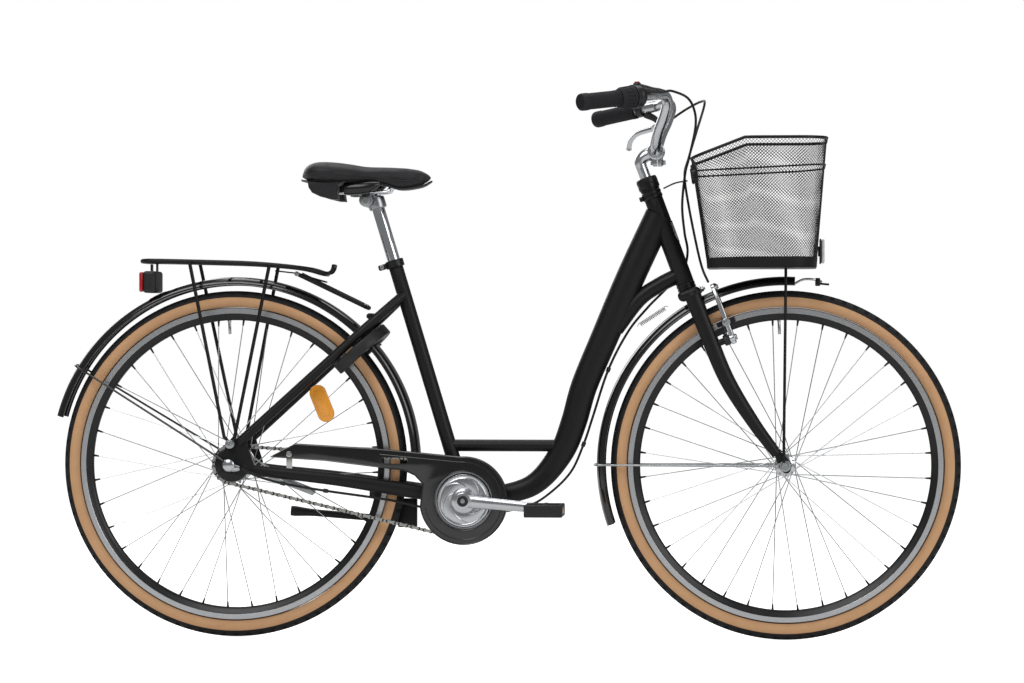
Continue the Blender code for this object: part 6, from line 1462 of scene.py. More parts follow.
def puffed(mesh, cap, frames=20):
    """The same cushion, blown out by cloth pressure as foam fills its cover. No point moves past the cap."""
    carrier = bpy.data.objects.new("cushion", mesh)
    bpy.context.scene.collection.objects.link(carrier)
    remesh = carrier.modifiers.new("even", "REMESH")
    remesh.mode = "VOXEL"
    remesh.voxel_size = 0.0042
    bpy.context.view_layer.update()
    even = bpy.data.meshes.new_from_object(carrier.evaluated_get(bpy.context.evaluated_depsgraph_get()))
    carrier.modifiers.clear()
    carrier.data = even
    start = [vert.co.copy() for vert in even.vertices]
    cloth = carrier.modifiers.new("cloth", "CLOTH")
    cloth.settings.quality = 6
    cloth.settings.mass = 0.3
    cloth.settings.use_pressure = True
    cloth.settings.uniform_pressure_force = 4.0
    cloth.settings.effector_weights.gravity = 0.0
    scene = bpy.context.scene
    for number in range(1, frames + 1):
        scene.frame_set(number)
    blown = bpy.data.meshes.new_from_object(carrier.evaluated_get(bpy.context.evaluated_depsgraph_get()))
    scene.frame_set(1)
    for vert, was in zip(blown.vertices, start):
        step = vert.co - was
        if step.length > cap:
            step *= cap / step.length
        step.z = max(step.z, -0.0004)
        vert.co = was + step
    bpy.data.objects.remove(carrier)
    return blown


def relaxed(mesh, rounds, cuts=0):
    """The same mesh with its small facets evened out."""
    bm = bmesh.new()
    bm.from_mesh(mesh)
    bpy.data.meshes.remove(mesh)
    if cuts:
        bmesh.ops.subdivide_edges(bm, edges=bm.edges[:], cuts=cuts, use_grid_fill=True, smooth=1.0)
    for _ in range(rounds):
        bmesh.ops.smooth_vert(bm, verts=bm.verts, factor=0.5, use_axis_x=True, use_axis_y=True, use_axis_z=True)
    return as_mesh(bm)


VINYL = saddle_vinyl()
cushion = saddle_loft(cover_row)
cushion = puffed(cushion, 0.0030)
cushion = relaxed(cushion, 2)
cover = piece("saddle_cushion", cushion, VINYL, "seat", "saddle_cover", sharp=70.0)
finish = cover.modifiers.new("finish", "SUBSURF")
finish.levels = 1
finish.render_levels = 1
seam_points = []
for share, width, top, bottom in smooth_route(SADDLE_ROWS, 4):
    wanted = Vector((SADDLE_REAR + share * SADDLE_LENGTH, width * SADDLE_HALF, SEAT_Z + bottom + (top - bottom) * 0.36))
    found, spot, normal, index = cover.closest_point_on_mesh(wanted)
    seam_points.append(spot + normal * 0.0001)
seam_loop = [tuple(point) for point in seam_points] + [mirrored(point) for point in reversed(seam_points)]
piece("saddle_piping", rod(seam_loop, 0.0010, 8, closed=True), VINYL, "seat")
stitches = bmesh.new()
for start, end in zip(seam_points[1:-2], seam_points[2:-1]):
    for part in range(2):
        centre = start.lerp(end, 0.25 + 0.5 * part)
        way = (end - start).normalized()
        for side in (-1, 1):
            spot = Vector((centre.x, side * (centre.y - 0.0004), centre.z + 0.0036))
            along = Vector((way.x, side * way.y, way.z))
            bmesh.ops.create_cone(stitches, cap_ends=True, segments=6, radius1=0.00045, radius2=0.00045, depth=0.0030,
                                  matrix=Matrix.Translation(spot) @ along.to_track_quat("Z", "Y").to_matrix().to_4x4())
piece("saddle_stitches", as_mesh(stitches), DIPPED, "seat")
piece("saddle_shell", saddle_loft(base_row), PLASTIC, "seat", "saddle_base")
wing = [(0.0168, 0.0290), (0.0190, 0.0158), (0.0260, 0.0055), (0.0425, -0.0024), (0.0650, -0.0080), (0.0785, -0.0085),
        (0.0762, 0.0055), (0.0782, 0.0199), (0.0957, 0.0290)]
wings = []
for side in (-1, 1):
    low, high = sorted((side * 0.036, side * 0.082))
    wings.append(solid([(SADDLE_REAR + x, SEAT_Z + z) for x, z in wing], low, high, 0.0060, 5))
piece("saddle_rear_wings", wings, VINYL, "seat")


def gloss_elastomer():
    """Moulded thermoplastic rubber with a polished tool's finish: black with broad soft highlights."""
    material, tree, shader, place = new_material("glossy_black_elastomer", "#0E0E0F", 0.2, IOR=1.5)
    mottle(tree, place, 18.0, ("#0C0C0D", "#151516"), (0.15, 0.27), shader)
    grain(tree, place, 3.0, 0.03, shader)
    return material


ELASTOMER = gloss_elastomer()
bumpers = []
for side in (-1, 1):
    centre = Vector((SADDLE_REAR + 0.118, side * 0.052, SEAT_Z + 0.0150))
    bumpers.append(rod([(centre.x - 0.031, centre.y, centre.z - 0.002, 0.0100), (centre.x - 0.022, centre.y, centre.z - 0.001, 0.0136),
                        (centre.x + 0.012, centre.y, centre.z + 0.001, 0.0130), (centre.x + 0.030, centre.y, centre.z + 0.005, 0.0090),
                        (centre.x + 0.042, centre.y, centre.z + 0.009, 0.0035)], 0.0130, 28, smooth=4))
    bumpers.append(bar(0.0126, centre + Vector((-0.030, 0, -0.001)), centre + Vector((-0.024, 0, -0.001)), 28, 0.0014))
piece("saddle_bumpers", bumpers, ELASTOMER, "seat")
RAIL_WIRE = 0.0035
rail_level = SEAT_Z - 0.0080 + 0.0125 + RAIL_WIRE + 0.0003
rail_side = [(SEAT_X - 0.114, 0.022, rail_level + 0.0105), (SEAT_X - 0.097, 0.022, rail_level + 0.0035),
             (SEAT_X - 0.075, 0.022, rail_level), (SEAT_X + 0.020, 0.022, rail_level),
             (SEAT_X + 0.033, 0.020, rail_level + 0.0070), (SEAT_X + 0.046, 0.016, rail_level + 0.0140),
             (SEAT_X + 0.060, 0.009, rail_level + 0.0150)]
rail_loop = rail_side + [mirrored(point) for point in reversed(rail_side)]
piece("saddle_rail_wires", rod(rail_loop, RAIL_WIRE, 18, smooth=6), CHROME, "seat", "saddle_rails")
ring_profile = [(0.0130, -0.0260), (0.0162, -0.0260), (0.0176, -0.0246), (0.0180, -0.0220), (0.0180, -0.0050),
                (0.0172, -0.0028), (0.0130, -0.0020)]
ring_mesh = turned(ring_profile, 48, along="Z", ring=True)
ring_mesh.transform(Matrix.Translation(POST_TOP) @ Matrix.Rotation(-SEAT_LEAN, 4, "Y"))
EAR = Vector((SEAT_X - 0.0150, 0.0, SEAT_Z - 0.0080))
clamp_bits = [ring_mesh, bar(0.0060, EAR - Vector((0, 0.034, 0)), EAR + Vector((0, 0.034, 0)), 24)]
for side in (-1, 1):
    for low, high, radius in ((0.0125, 0.0165, 0.0128), (0.0172, 0.0212, 0.0120), (0.0222, 0.0280, 0.0136)):
        clamp_bits.append(bar(radius, EAR + Vector((0, side * low, 0)), EAR + Vector((0, side * high, 0)), 36, 0.0012))
    for index in range(12):
        turn = 2 * pi * index / 12
        spot = EAR + Vector((0.0112 * cos(turn), side * 0.0168, 0.0112 * sin(turn)))
        clamp_bits.append(bar(0.0014, spot - Vector((0, 0.0006, 0)), spot + Vector((0, 0.0006, 0)), 6, 0.0002))
    clamp_bits += hex_nut(EAR + Vector((0, side * 0.0280, 0)), (0, side, 0), 0.0075, 0.0055)
    low, high = sorted((side * 0.0172, side * 0.0268))
    clamp_bits.append(box_of((EAR.x - 0.016, low, EAR.z + 0.0098), (EAR.x + 0.018, high, rail_level - RAIL_WIRE - 0.0001),
                             0.0010, 2))
piece("saddle_clamp_set", clamp_bits, ZINC, "seat", "saddle_clamp")

# ---------------------------------------------------------------- bottom bracket and chainring
# A cartridge bearing with black cups carries the square spindle. The steel chainring is riveted behind a
# polished aluminium disc with a pressed swirl.
CHAIN_LINE = 0.043
CHAIN_PITCH = 0.0127
RING_TEETH = 38
SPROCKET_TEETH = 19
RING_RADIUS = CHAIN_PITCH / (2 * sin(pi / RING_TEETH))
SPROCKET_RADIUS = CHAIN_PITCH / (2 * sin(pi / SPROCKET_TEETH))
CUP_OUTER = SHELL_HALF + 0.0040
cup_half = [(0.0088, -CUP_OUTER + 0.0006), (0.0100, -CUP_OUTER), (0.0150, -CUP_OUTER), (0.0156, -CUP_OUTER + 0.0012),
            (0.0176, -CUP_OUTER + 0.0012), (0.0182, -CUP_OUTER), (0.0195, -CUP_OUTER + 0.0006),
            (0.0195, -SHELL_HALF - 0.0003), (0.0162, -SHELL_HALF - 0.0003)]
cup_profile = cup_half + [(radius, -place) for radius, place in reversed(cup_half)]
piece("bracket_cups", turned(cup_profile, 48, BRACKET, "Y", ring=True), BLACK_OXIDE, "frame", "bottom_bracket")
piece("crank_spindle", bar(0.0082, BRACKET - Vector((0, 0.068, 0)), BRACKET + Vector((0, 0.068, 0)), 32), NICKEL,
      "cranks", "crank_axle")


def toothed(centre, pitch_radius, teeth, half, bevel):
    """A flat toothed ring: a rounded tip and a round root for each tooth."""
    outline = []
    for number in range(teeth):
        for part, radius in ((0.0, -0.0036), (0.16, -0.0026), (0.30, 0.0002), (0.42, 0.0024), (0.50, 0.0030),
                             (0.58, 0.0024), (0.70, 0.0002), (0.84, -0.0026)):
            turn = 2 * pi * (number + part) / teeth
            outline.append((centre.x + (pitch_radius + radius) * cos(turn), centre.z + (pitch_radius + radius) * sin(turn)))
    return solid(outline, -CHAIN_LINE - half, -CHAIN_LINE + half, bevel, 1)


ring_plate = toothed(BRACKET, RING_RADIUS, RING_TEETH, 0.0011, 0.0003)
ring_plate = combined(ring_plate, [bar(0.0300, BRACKET - Vector((0, 0.1, 0)), BRACKET, 48)], "DIFFERENCE")
piece("chainring_teeth", ring_plate, ZINC, "cranks", "chainring")
disc_profile = [(0.0085, -0.0440), (0.0085, -0.0505), (0.0200, -0.0505), (0.0215, -0.0496), (0.0240, -0.0490),
                (0.0260, -0.0497), (0.0275, -0.0500), (0.0420, -0.0490), (0.0455, -0.0486), (0.0468, -0.0478),
                (0.0480, -0.0484), (0.0510, -0.0484), (0.0535, -0.0478), (0.0550, -0.0465), (0.0550, -0.0444),
                (0.0530, -0.0441)]
swirls = []
for number in range(5):
    first = 2 * pi * number / 5
    blade = []
    for step in range(9):
        share = step / 8
        turn = first + 1.15 * share
        reach = 0.0255 + 0.0195 * share
        blade.append((BRACKET.x + reach * cos(turn), -0.0492 + 0.0006 * share, BRACKET.z + reach * sin(turn),
                      0.0006 + 0.0015 * sin(pi * share)))
    swirls.append(rod(blade, 0.0015, 10, smooth=2))
piece("chainring_cover_disc", [turned(disc_profile, 96, BRACKET, "Y", ring=True)] + swirls, POLISHED, "cranks")

# ---------------------------------------------------------------- cranks
# Forged aluminium arms, polished, pressed on the spindle's squares under black caps. Each eye carries a
# threaded steel pedal spindle.
CRANK_LENGTH = 0.168
right_eye = joint_place("right_pedal_spin")
CRANK_WAY = Vector((right_eye.x - BRACKET.x, 0.0, right_eye.z - BRACKET.z)).normalized()
for label, side in (("right", -1), ("left", 1)):
    way = -side * CRANK_WAY
    eye = BRACKET + way * CRANK_LENGTH
    along = Vector((0.0, side, 0.0))
    arm_route = [(*(BRACKET + along * 0.0640 - way * 0.002), 0.0128), (*(BRACKET + along * 0.0650 + way * 0.030), 0.0126),
                 (*(BRACKET + along * 0.0700 + way * 0.084), 0.0113), (*(eye + along * 0.0752 - way * 0.030), 0.0100),
                 (*(eye + along * 0.0760), 0.0100)]
    arm_mesh = combined(bar(0.0165, BRACKET + along * 0.0510, BRACKET + along * 0.0720, 48, 0.0016), [
        rod(arm_route, 0.012, 32, flat=0.5, smooth=8),
        bar(0.0125, eye + along * 0.0690, eye + along * 0.0830, 40, 0.0012),
    ])
    arm_mesh = combined(arm_mesh, [bar(0.0085, BRACKET - along * 0.03, BRACKET + along * 0.0683, 32),
                                   bar(0.0112, BRACKET + along * 0.0702, BRACKET + along * 0.08, 40, 0.0)], "DIFFERENCE")
    piece(f"{label}_crank_forging", arm_mesh, POLISHED, "cranks", f"{label}_crank")
    piece(f"{label}_crank_cap", turned([(0.0048, 0.0), (0.0108, 0.0), (0.0108, 0.0022), (0.0098, 0.0030), (0.0062, 0.0030),
                                        (0.0048, 0.0018)], 40, BRACKET + along * 0.0704, along, ring=True), PLASTIC, "cranks")
    piece(f"{label}_crank_bolt", hex_bolt(BRACKET + along * 0.0700, along, 0.0046, 0.0022), ZINC, "cranks")
    piece(f"{label}_pedal_spindle", [bar(0.0055, eye + along * 0.0760, eye + along * 0.1730, 28),
                                     bar(0.0078, eye + along * 0.0832, eye + along * 0.0868, 6, 0.0003)], NICKEL, "cranks")

# ---------------------------------------------------------------- pedals
# Moulded nylon cages on ball bearings, with gripping teeth, ribs inside and an amber prism reflector in
# the front and the back edge.
PEDAL_HALF = 0.0380
PEDAL_TALL = 0.0125
for label, side in (("right", -1), ("left", 1)):
    eye = joint_place(f"{label}_pedal_spin")

    def across(near, far):
        """Two distances from the crank's plane, in order along the axis."""
        return sorted((side * near, side * far))

    cage = []
    for end in (-1, 1):
        x_low, x_high = sorted((end * 0.0290, end * PEDAL_HALF))
        low, high = across(0.0900, 0.1770)
        rail_mesh = box_of((x_low, low, -PEDAL_TALL + 0.0012), (x_high, high, PEDAL_TALL - 0.0012), 0.0020, 3)
        window_low, window_high = sorted((end * 0.0345, end * (PEDAL_HALF + 0.002)))
        inner_low, inner_high = across(0.1060, 0.1610)
        cage.append(combined(rail_mesh, [box_of((window_low, inner_low, -0.0066), (window_high, inner_high, 0.0066), 0.0)],
                             "DIFFERENCE"))
        for tooth in range(7):
            spot_low, spot_high = across(0.0955 + 0.0122 * tooth, 0.0985 + 0.0122 * tooth)
            for face in (-1, 1):
                z_low, z_high = sorted((face * (PEDAL_TALL - 0.0020), face * PEDAL_TALL))
                cage.append(box_of((x_low + 0.0015, spot_low, z_low), (x_high - 0.0015, spot_high, z_high), 0.0006, 1))
    for near, far in ((0.0880, 0.0935), (0.1735, 0.1790)):
        low, high = across(near, far)
        cage.append(box_of((-PEDAL_HALF, low, -PEDAL_TALL), (PEDAL_HALF, high, PEDAL_TALL), 0.0022, 3))
    for near in (0.1120, 0.1330, 0.1540):
        low, high = across(near, near + 0.0025)
        cage.append(box_of((-0.0300, low, -0.0085), (0.0300, high, 0.0085), 0.0005, 1))
    low, high = across(0.0884, 0.1786)
    barrel = turned([(0.0061, low), (0.0108, low), (0.0108, high), (0.0061, high)], 32, along="Y", ring=True)
    cage.append(barrel)
    cage_mesh = join(cage)
    cage_mesh.transform(Matrix.Translation(eye))
    piece(f"{label}_pedal_cage", cage_mesh, PLASTIC, f"{label}_pedal", f"{label}_pedal")
    lenses = []
    for end in (-1, 1):
        x_low, x_high = sorted((end * 0.0347, end * 0.0376))
        low, high = across(0.1066, 0.1604)
        lenses.append(box_of((x_low, low, -0.0061), (x_high, high, 0.0061), 0.0008, 2, Matrix.Translation(eye)))
    piece(f"{label}_pedal_reflectors", lenses, AMBER, f"{label}_pedal")

# ---------------------------------------------------------------- chain
# A half-inch bush roller chain of nickel-plated steel: pairs of waisted side plates, inner and outer in
# turn, on pins and rollers. It runs round the chainring and the hub's sprocket.
run = BRACKET - REAR
slope = atan2(run.z, run.x)
spread = acos((RING_RADIUS - SPROCKET_RADIUS) / run.length)
chain_line = arc((BRACKET.x, BRACKET.z), RING_RADIUS, slope - spread, slope + spread, 120)
chain_line += arc((REAR.x, REAR.z), SPROCKET_RADIUS, slope + spread, slope - spread + 2 * pi, 90)
chain_line = [Vector((x, -CHAIN_LINE, z)) for x, z in chain_line]
chain_length = sum((chain_line[i - 1] - chain_line[i]).length for i in range(len(chain_line)))
LINK_COUNT = 2 * round(chain_length / CHAIN_PITCH / 2)
pins = [ring_spot(chain_line, number / LINK_COUNT) for number in range(LINK_COUNT)]
plates, rollers = bmesh.new(), bmesh.new()
for number, pin in enumerate(pins):
    after = pins[(number + 1) % LINK_COUNT]
    middle = (pin + after) / 2
    way = (after - pin).normalized()
    turn = Matrix.Rotation(-atan2(way.z, way.x), 4, "Y")
    out = 0.0036 if number % 2 else 0.0026
    for side in (-1, 1):
        place = Matrix.Translation(middle + Vector((0, side * out, 0))) @ turn
        for end in (-1, 1):
            bmesh.ops.create_cone(plates, cap_ends=True, segments=12, radius1=0.0041, radius2=0.0041, depth=0.0009,
                                  matrix=place @ Matrix.Translation((end * CHAIN_PITCH / 2, 0, 0)) @ TURNS["Y"])
        bmesh.ops.create_cube(plates, size=1.0, matrix=place @ Matrix.Diagonal((CHAIN_PITCH, 0.0009, 0.0056, 1.0)))
    bmesh.ops.create_cone(rollers, cap_ends=True, segments=12, radius1=0.0038, radius2=0.0038, depth=0.0044,
                          matrix=Matrix.Translation(pin) @ TURNS["Y"])
    bmesh.ops.create_cone(rollers, cap_ends=True, segments=10, radius1=0.0017, radius2=0.0017, depth=0.0088,
                          matrix=Matrix.Translation(pin) @ TURNS["Y"])
piece("chain_plates", as_mesh(plates), NICKEL, "frame", "chain")
piece("chain_rollers", as_mesh(rollers), NICKEL, "frame")

# ---------------------------------------------------------------- chain guard
# Deep-drawn steel sheet in gloss black enamel with a bead round its edge, a slot and a turned-in lip over
# the chain. A zinc tab and screw hold its tail to the stay.
GUARD_RADIUS = 0.0885
GUARD_INNER = 0.0535
GUARD_OUTER = 0.0560
bx, bz = BRACKET.x, BRACKET.z
guard_top = [(bx - 0.389, bz + 0.0860), (bx - 0.340, bz + 0.1135), (bx - 0.167, bz + 0.1035)]
guard_front = arc((bx, bz), GUARD_RADIUS, radians(94), radians(94 - 14 * 19), 76)
guard_low = [(bx - 0.082, bz + 0.0330), (bx - 0.098, bz + 0.0500), (bx - 0.120, bz + 0.0600), (bx - 0.167, bz + 0.0655),
             (bx - 0.279, bz + 0.0790)]
guard_outline = guard_top + guard_front + guard_low
guard_mesh = combined(solid(guard_outline, -GUARD_OUTER, -GUARD_INNER, 0.0008, 3), [
    bar(0.0580, BRACKET - Vector((0, 0.1, 0)), BRACKET, 96),
    box_of((bx - 0.166, -0.07, bz + 0.0740), (bx - 0.112, -0.05, bz + 0.0860), 0.0050, 4),
], "DIFFERENCE")


def sheet_along(points, thickness, near, far):
    """A strip of sheet that follows (x, z) points, on their right-hand side."""
    inner = []
    for i, (x, z) in enumerate(points):
        before = points[max(i - 1, 0)]
        after = points[min(i + 1, len(points) - 1)]
        way = Vector((after[0] - before[0], after[1] - before[1])).normalized()
        inner.append((x + way.y * thickness, z - way.x * thickness))
    return solid(points + inner[::-1], near, far, 0.0)


def inward(points, distance):
    """The same outline, drawn in by a distance on its right-hand side."""
    drawn = []
    for i, (x, z) in enumerate(points):
        before = points[i - 1]
        after = points[(i + 1) % len(points)]
        way = Vector((after[0] - before[0], after[1] - before[1])).normalized()
        drawn.append((x + way.y * distance, z - way.x * distance))
    return drawn


lip_line = guard_top[1:] + guard_front[:36]
edge_bead = [(x, -GUARD_OUTER + 0.0002, z) for x, z in inward(guard_outline, 0.0016)]
crease = [(x, -GUARD_OUTER + 0.0004, z) for x, z in inward(guard_top[1:] + guard_front + guard_low[:3], 0.0110)[1:-4]]
hole_bead = [(x, -GUARD_OUTER + 0.0002, z) for x, z in arc((bx, bz), 0.0594, 0.0, 2 * pi * 95 / 96, 96)]
piece("chain_guard_sheet", [
    guard_mesh,
    sheet_along(lip_line, 0.0020, -0.0360, -GUARD_INNER - 0.0004),
    rod(edge_bead, 0.0013, 10, closed=True),
    rod(crease, 0.0011, 10),
    rod(hole_bead, 0.0011, 10, closed=True),
], GLOSS_ENAMEL, "frame", "chain_guard")
guard_screw = Vector((REAR.x + 0.1165, -GUARD_OUTER, bz + 0.0920))
piece("guard_screw", [hex_bolt(guard_screw, (0, -1, 0), 0.0058, 0.0026),
                      bar(0.0029, guard_screw, guard_screw + Vector((0, 0.012, 0)), 16),
                      box_of((guard_screw.x - 0.006, -GUARD_INNER + 0.0003, guard_screw.z - 0.030),
                             (guard_screw.x + 0.006, -GUARD_INNER + 0.0020, guard_screw.z + 0.008), 0.0006, 2)],
      NICKEL, "frame")

# ---------------------------------------------------------------- hub gear and axles
# A three-speed hub: a stamped sprocket under a black dust disc, flanged axle nuts, and a plastic elbow
# that leads the gear cable into the axle. The front axle has plain flanged nuts.
HUB_OUTER = 0.0690
dust_disc = [(0.0140, -0.0468), (0.0300, -0.0468), (0.0330, -0.0476), (0.0345, -0.0490), (0.0330, -0.0500),
             (0.0180, -0.0520), (0.0140, -0.0530)]
cog = combined(toothed(REAR, SPROCKET_RADIUS, SPROCKET_TEETH, 0.0010, 0.0003),
               [bar(0.0180, REAR - Vector((0, 0.1, 0)), REAR, 48)], "DIFFERENCE")
piece("hub_sprocket", cog, ZINC, "sprocket", "sprocket")
piece("sprocket_dust_disc", turned(dust_disc, 64, REAR, "Y", ring=True), BLACK_OXIDE, "sprocket")
axle_bits = [bar(0.0048, REAR - Vector((0, HUB_OUTER, 0)), REAR + Vector((0, HUB_OUTER, 0)), 28)]
for side in (-1, 1):
    seat = REAR + Vector((0, side * (DROPOUT_OUTER + 0.0002), 0))
    axle_bits += hex_nut(seat, (0, side, 0), 0.0087, 0.0085)
    axle_bits.append(bar(0.0118, seat, seat + Vector((0, side * 0.0020, 0)), 40, 0.0006))
piece("rear_axle_and_nuts", axle_bits, ZINC, "frame", "rear_axle")
front_bits = [bar(0.0044, FRONT - Vector((0, 0.0620, 0)), FRONT + Vector((0, 0.0620, 0)), 28)]
for side in (-1, 1):
    seat = FRONT + Vector((0, side * (FORK_END_OUTER + 0.0002), 0))
    front_bits += hex_nut(seat, (0, side, 0), 0.0087, 0.0080)
    front_bits.append(bar(0.0112, seat, seat + Vector((0, side * 0.0018, 0)), 40, 0.0006))
piece("front_axle_and_nuts", front_bits, ZINC, "steering", "front_axle")
arm_outline = [(0.010, -0.014), (0.150, -0.066), (0.157, -0.060), (0.155, -0.052), (0.020, 0.000),
               (0.006, 0.016), (-0.012, 0.014), (-0.018, 0.0), (-0.010, -0.014)]
arm_plate = combined(solid([(REAR.x + x, REAR.z + z) for x, z in arm_outline], 0.0460, 0.0490, 0.0007, 2),
                     [bar(0.0052, REAR, REAR + Vector((0, 0.1, 0)), 32)], "DIFFERENCE")
piece("coaster_brake_arm", [arm_plate, hex_bolt(REAR + Vector((0.146, 0.0490, -0.056)), (0, 1, 0), 0.0050, 0.0030)], ZINC,
      "frame", "brake_arm_rear")
elbow_profile = [(0.0052, -DROPOUT_OUTER - 0.0036), (0.0125, -DROPOUT_OUTER - 0.0036), (0.0136, -0.0790), (0.0132, -0.0900),
                 (0.0112, -0.0960), (0.0070, -0.0984), (0.0, -0.0986), (0.0, -0.0900), (0.0052, -0.0890)]
elbow_arm = [(REAR.x + 0.002, -0.0865, REAR.z - 0.0040, 0.0085), (REAR.x + 0.012, -0.0865, REAR.z - 0.0052, 0.0078),
             (REAR.x + 0.0215, -0.0865, REAR.z - 0.0057, 0.0050)]
piece("gear_cable_elbow", [turned(elbow_profile, 48, REAR, "Y"), rod(elbow_arm, 0.008, 24, smooth=4)], POLISHED, "frame",
      "click_box")

# ---------------------------------------------------------------- rack
# Bent steel wire, welded where it crosses and powder coated with the frame. Its legs are clamped at the
# dropouts, and a hairpin stay is bolted to the seat stays' bridge.
RAIL_HEIGHT = REAR.z + TYRE_RADIUS + 0.058
RAIL_ACROSS = 0.056
LEG_RADIUS = 0.0036


def from_rear(points):
    """The same points, with x measured from the rear axle."""
    return [(REAR.x + point[0], *point[1:]) for point in points]


rail = from_rear([
    (0.186, 0.012, RAIL_HEIGHT - 0.024), (0.180, 0.030, RAIL_HEIGHT - 0.023), (0.140, 0.050, RAIL_HEIGHT - 0.013),
    (0.048, RAIL_ACROSS, RAIL_HEIGHT - 0.004), (-0.068, RAIL_ACROSS, RAIL_HEIGHT),
    (-0.155, RAIL_ACROSS, RAIL_HEIGHT + 0.002), (-0.179, 0.047, RAIL_HEIGHT + 0.002), (-0.185, 0.026, RAIL_HEIGHT + 0.002)])
rail = [tuple(point) for point in smooth_route(rail, 5)]
rack_wires = [rod(rail + [mirrored(point) for point in reversed(rail)], 0.0048, 18, closed=True)]
for x, drop in ((-0.150, -0.0015), (-0.085, 0.0), (-0.015, 0.0015), (0.055, 0.0045), (0.115, 0.0095)):
    half = RAIL_ACROSS - 0.002 if x < 0.1 else 0.0505
    rack_wires.append(bar(0.0038, (REAR.x + x, -half, RAIL_HEIGHT - drop), (REAR.x + x, half, RAIL_HEIGHT - drop), 16))
for across in (-0.019, 0.019):
    rack_wires.append(rod(from_rear([
        (0.1840, across, RAIL_HEIGHT - 0.0232), (0.115, across, RAIL_HEIGHT - 0.0090), (0.048, across, RAIL_HEIGHT - 0.0038),
        (-0.1840, across, RAIL_HEIGHT + 0.0018)]), 0.0036, 16))
    rack_wires.append(rod(from_rear([
        (0.1800, across, RAIL_HEIGHT - 0.0225), (0.1930, across, RAIL_HEIGHT - 0.0215), (0.1990, across, RAIL_HEIGHT - 0.0150),
        (0.2015, across, RAIL_HEIGHT - 0.0055)]), 0.0032, 16, smooth=5))
rack_wires.append(bar(0.0032, (REAR.x + 0.2010, -0.019, RAIL_HEIGHT - 0.0075), (REAR.x + 0.2010, 0.019, RAIL_HEIGHT - 0.0075), 16))
piece("rack_wires", rack_wires, POWDER_COAT, "frame", "rack_platform")
for label, side in (("left", 1), ("right", -1)):
    foot_across = side * (DROPOUT_OUTER + 0.0112)
    top_across = side * (RAIL_ACROSS + 0.0048 + LEG_RADIUS + 0.0005)
    leg = from_rear([
        (-0.084, top_across, RAIL_HEIGHT + 0.001), (-0.082, top_across, RAIL_HEIGHT - 0.008),
        (-0.011, foot_across, REAR.z + 0.056), (0.0, foot_across, REAR.z + 0.046), (0.010, foot_across, REAR.z + 0.056),
        (0.0765, top_across, RAIL_HEIGHT - 0.014), (0.078, top_across, RAIL_HEIGHT - 0.006)])
    piece(f"rack_{label}_leg_wire", rod(leg, LEG_RADIUS, 18), POWDER_COAT, "frame", f"rack_leg_{label}")
    foot = Vector((REAR.x, foot_across, REAR.z + 0.0420))
    away = Vector((0, side, 0))
    piece(f"rack_{label}_leg_bolt", [hex_bolt(foot + away * 0.0040, away, 0.0058, 0.0038),
                                     bar(0.0090, foot - away * 0.0062, foot - away * 0.0042, 32, 0.0006),
                                     bar(0.0090, foot + away * 0.0028, foot + away * 0.0040, 32, 0.0004),
                                     bar(0.0028, foot - away * 0.0105, foot + away * 0.0040, 16)], ZINC, "frame")
stay_way = (STAY_TOP - STAY_FOOT).normalized()
stay_over = Vector((-stay_way.z, 0.0, stay_way.x))
STAY_BRIDGE = STAY_FOOT + stay_way * (FENDER_RADIUS - 0.0138) + stay_over * 0.0130
bridge_x, bridge_z = STAY_BRIDGE.x, STAY_BRIDGE.z
hairpin = [(REAR.x + 0.130, 0.0360, RAIL_HEIGHT - 0.024), (bridge_x - 0.026, 0.0250, bridge_z + 0.027),
           (bridge_x - 0.008, 0.0150, bridge_z + 0.018), (bridge_x - 0.006, 0.0, bridge_z + 0.0165)]
hairpin = [tuple(point) for point in smooth_route(hairpin + [mirrored(point) for point in reversed(hairpin[:-1])], 6)]
piece("rack_front_stay_wire", rod(hairpin, 0.0042, 18), POWDER_COAT, "frame", "rack_front_stay")
piece("rack_stay_bolt", [hex_bolt((bridge_x - 0.010, -0.016, bridge_z + 0.0200), (0, -1, 0), 0.0054, 0.0036),
                         hex_bolt((REAR.x + 0.130, -0.0400, RAIL_HEIGHT - 0.0240), (0, -1, 0), 0.0050, 0.0034)], ZINC, "frame")
clip_line = [(REAR.x + 0.082, RAIL_HEIGHT - 0.0160), (REAR.x + 0.122, RAIL_HEIGHT - 0.0205), (REAR.x + 0.186, RAIL_HEIGHT - 0.0390)]
piece("rack_spring_plate", sheet_along(clip_line, 0.0030, -0.0100, 0.0100), BLACK_OXIDE, "frame")

# ---------------------------------------------------------------- tail light
# A red acrylic lens with moulded prisms, pressed into a black housing that two steel tabs hang from the
# rack. It runs on a cell of its own, so no wire leaves it.
LIGHT_FRONT = 0.1560
LIGHT_LOW = REAR.z + sqrt(FENDER_RADIUS ** 2 - LIGHT_FRONT ** 2) + 0.0018
light_case = combined(box_of((REAR.x - 0.1820, -0.045, LIGHT_LOW), (REAR.x - LIGHT_FRONT, 0.045, LIGHT_LOW + 0.044), 0.0060, 6), [
    box_of((REAR.x - 0.1720, -0.046, LIGHT_LOW + 0.0438), (REAR.x - 0.1700, 0.046, LIGHT_LOW + 0.0500), 0.0)], "DIFFERENCE")
piece("tail_light_housing", light_case, PLASTIC, "frame", "tail_light_body")
tabs = [box_of((REAR.x - 0.1720, -0.012, LIGHT_LOW + 0.040), (REAR.x - 0.1700, 0.012, RAIL_HEIGHT - 0.0040), 0.0005, 2),
        box_of((REAR.x - 0.1610, -0.010, LIGHT_LOW + 0.040), (REAR.x - 0.1592, 0.010, RAIL_HEIGHT - 0.0005), 0.0005, 2)]
piece("tail_light_tabs", tabs, BLACK_OXIDE, "frame")
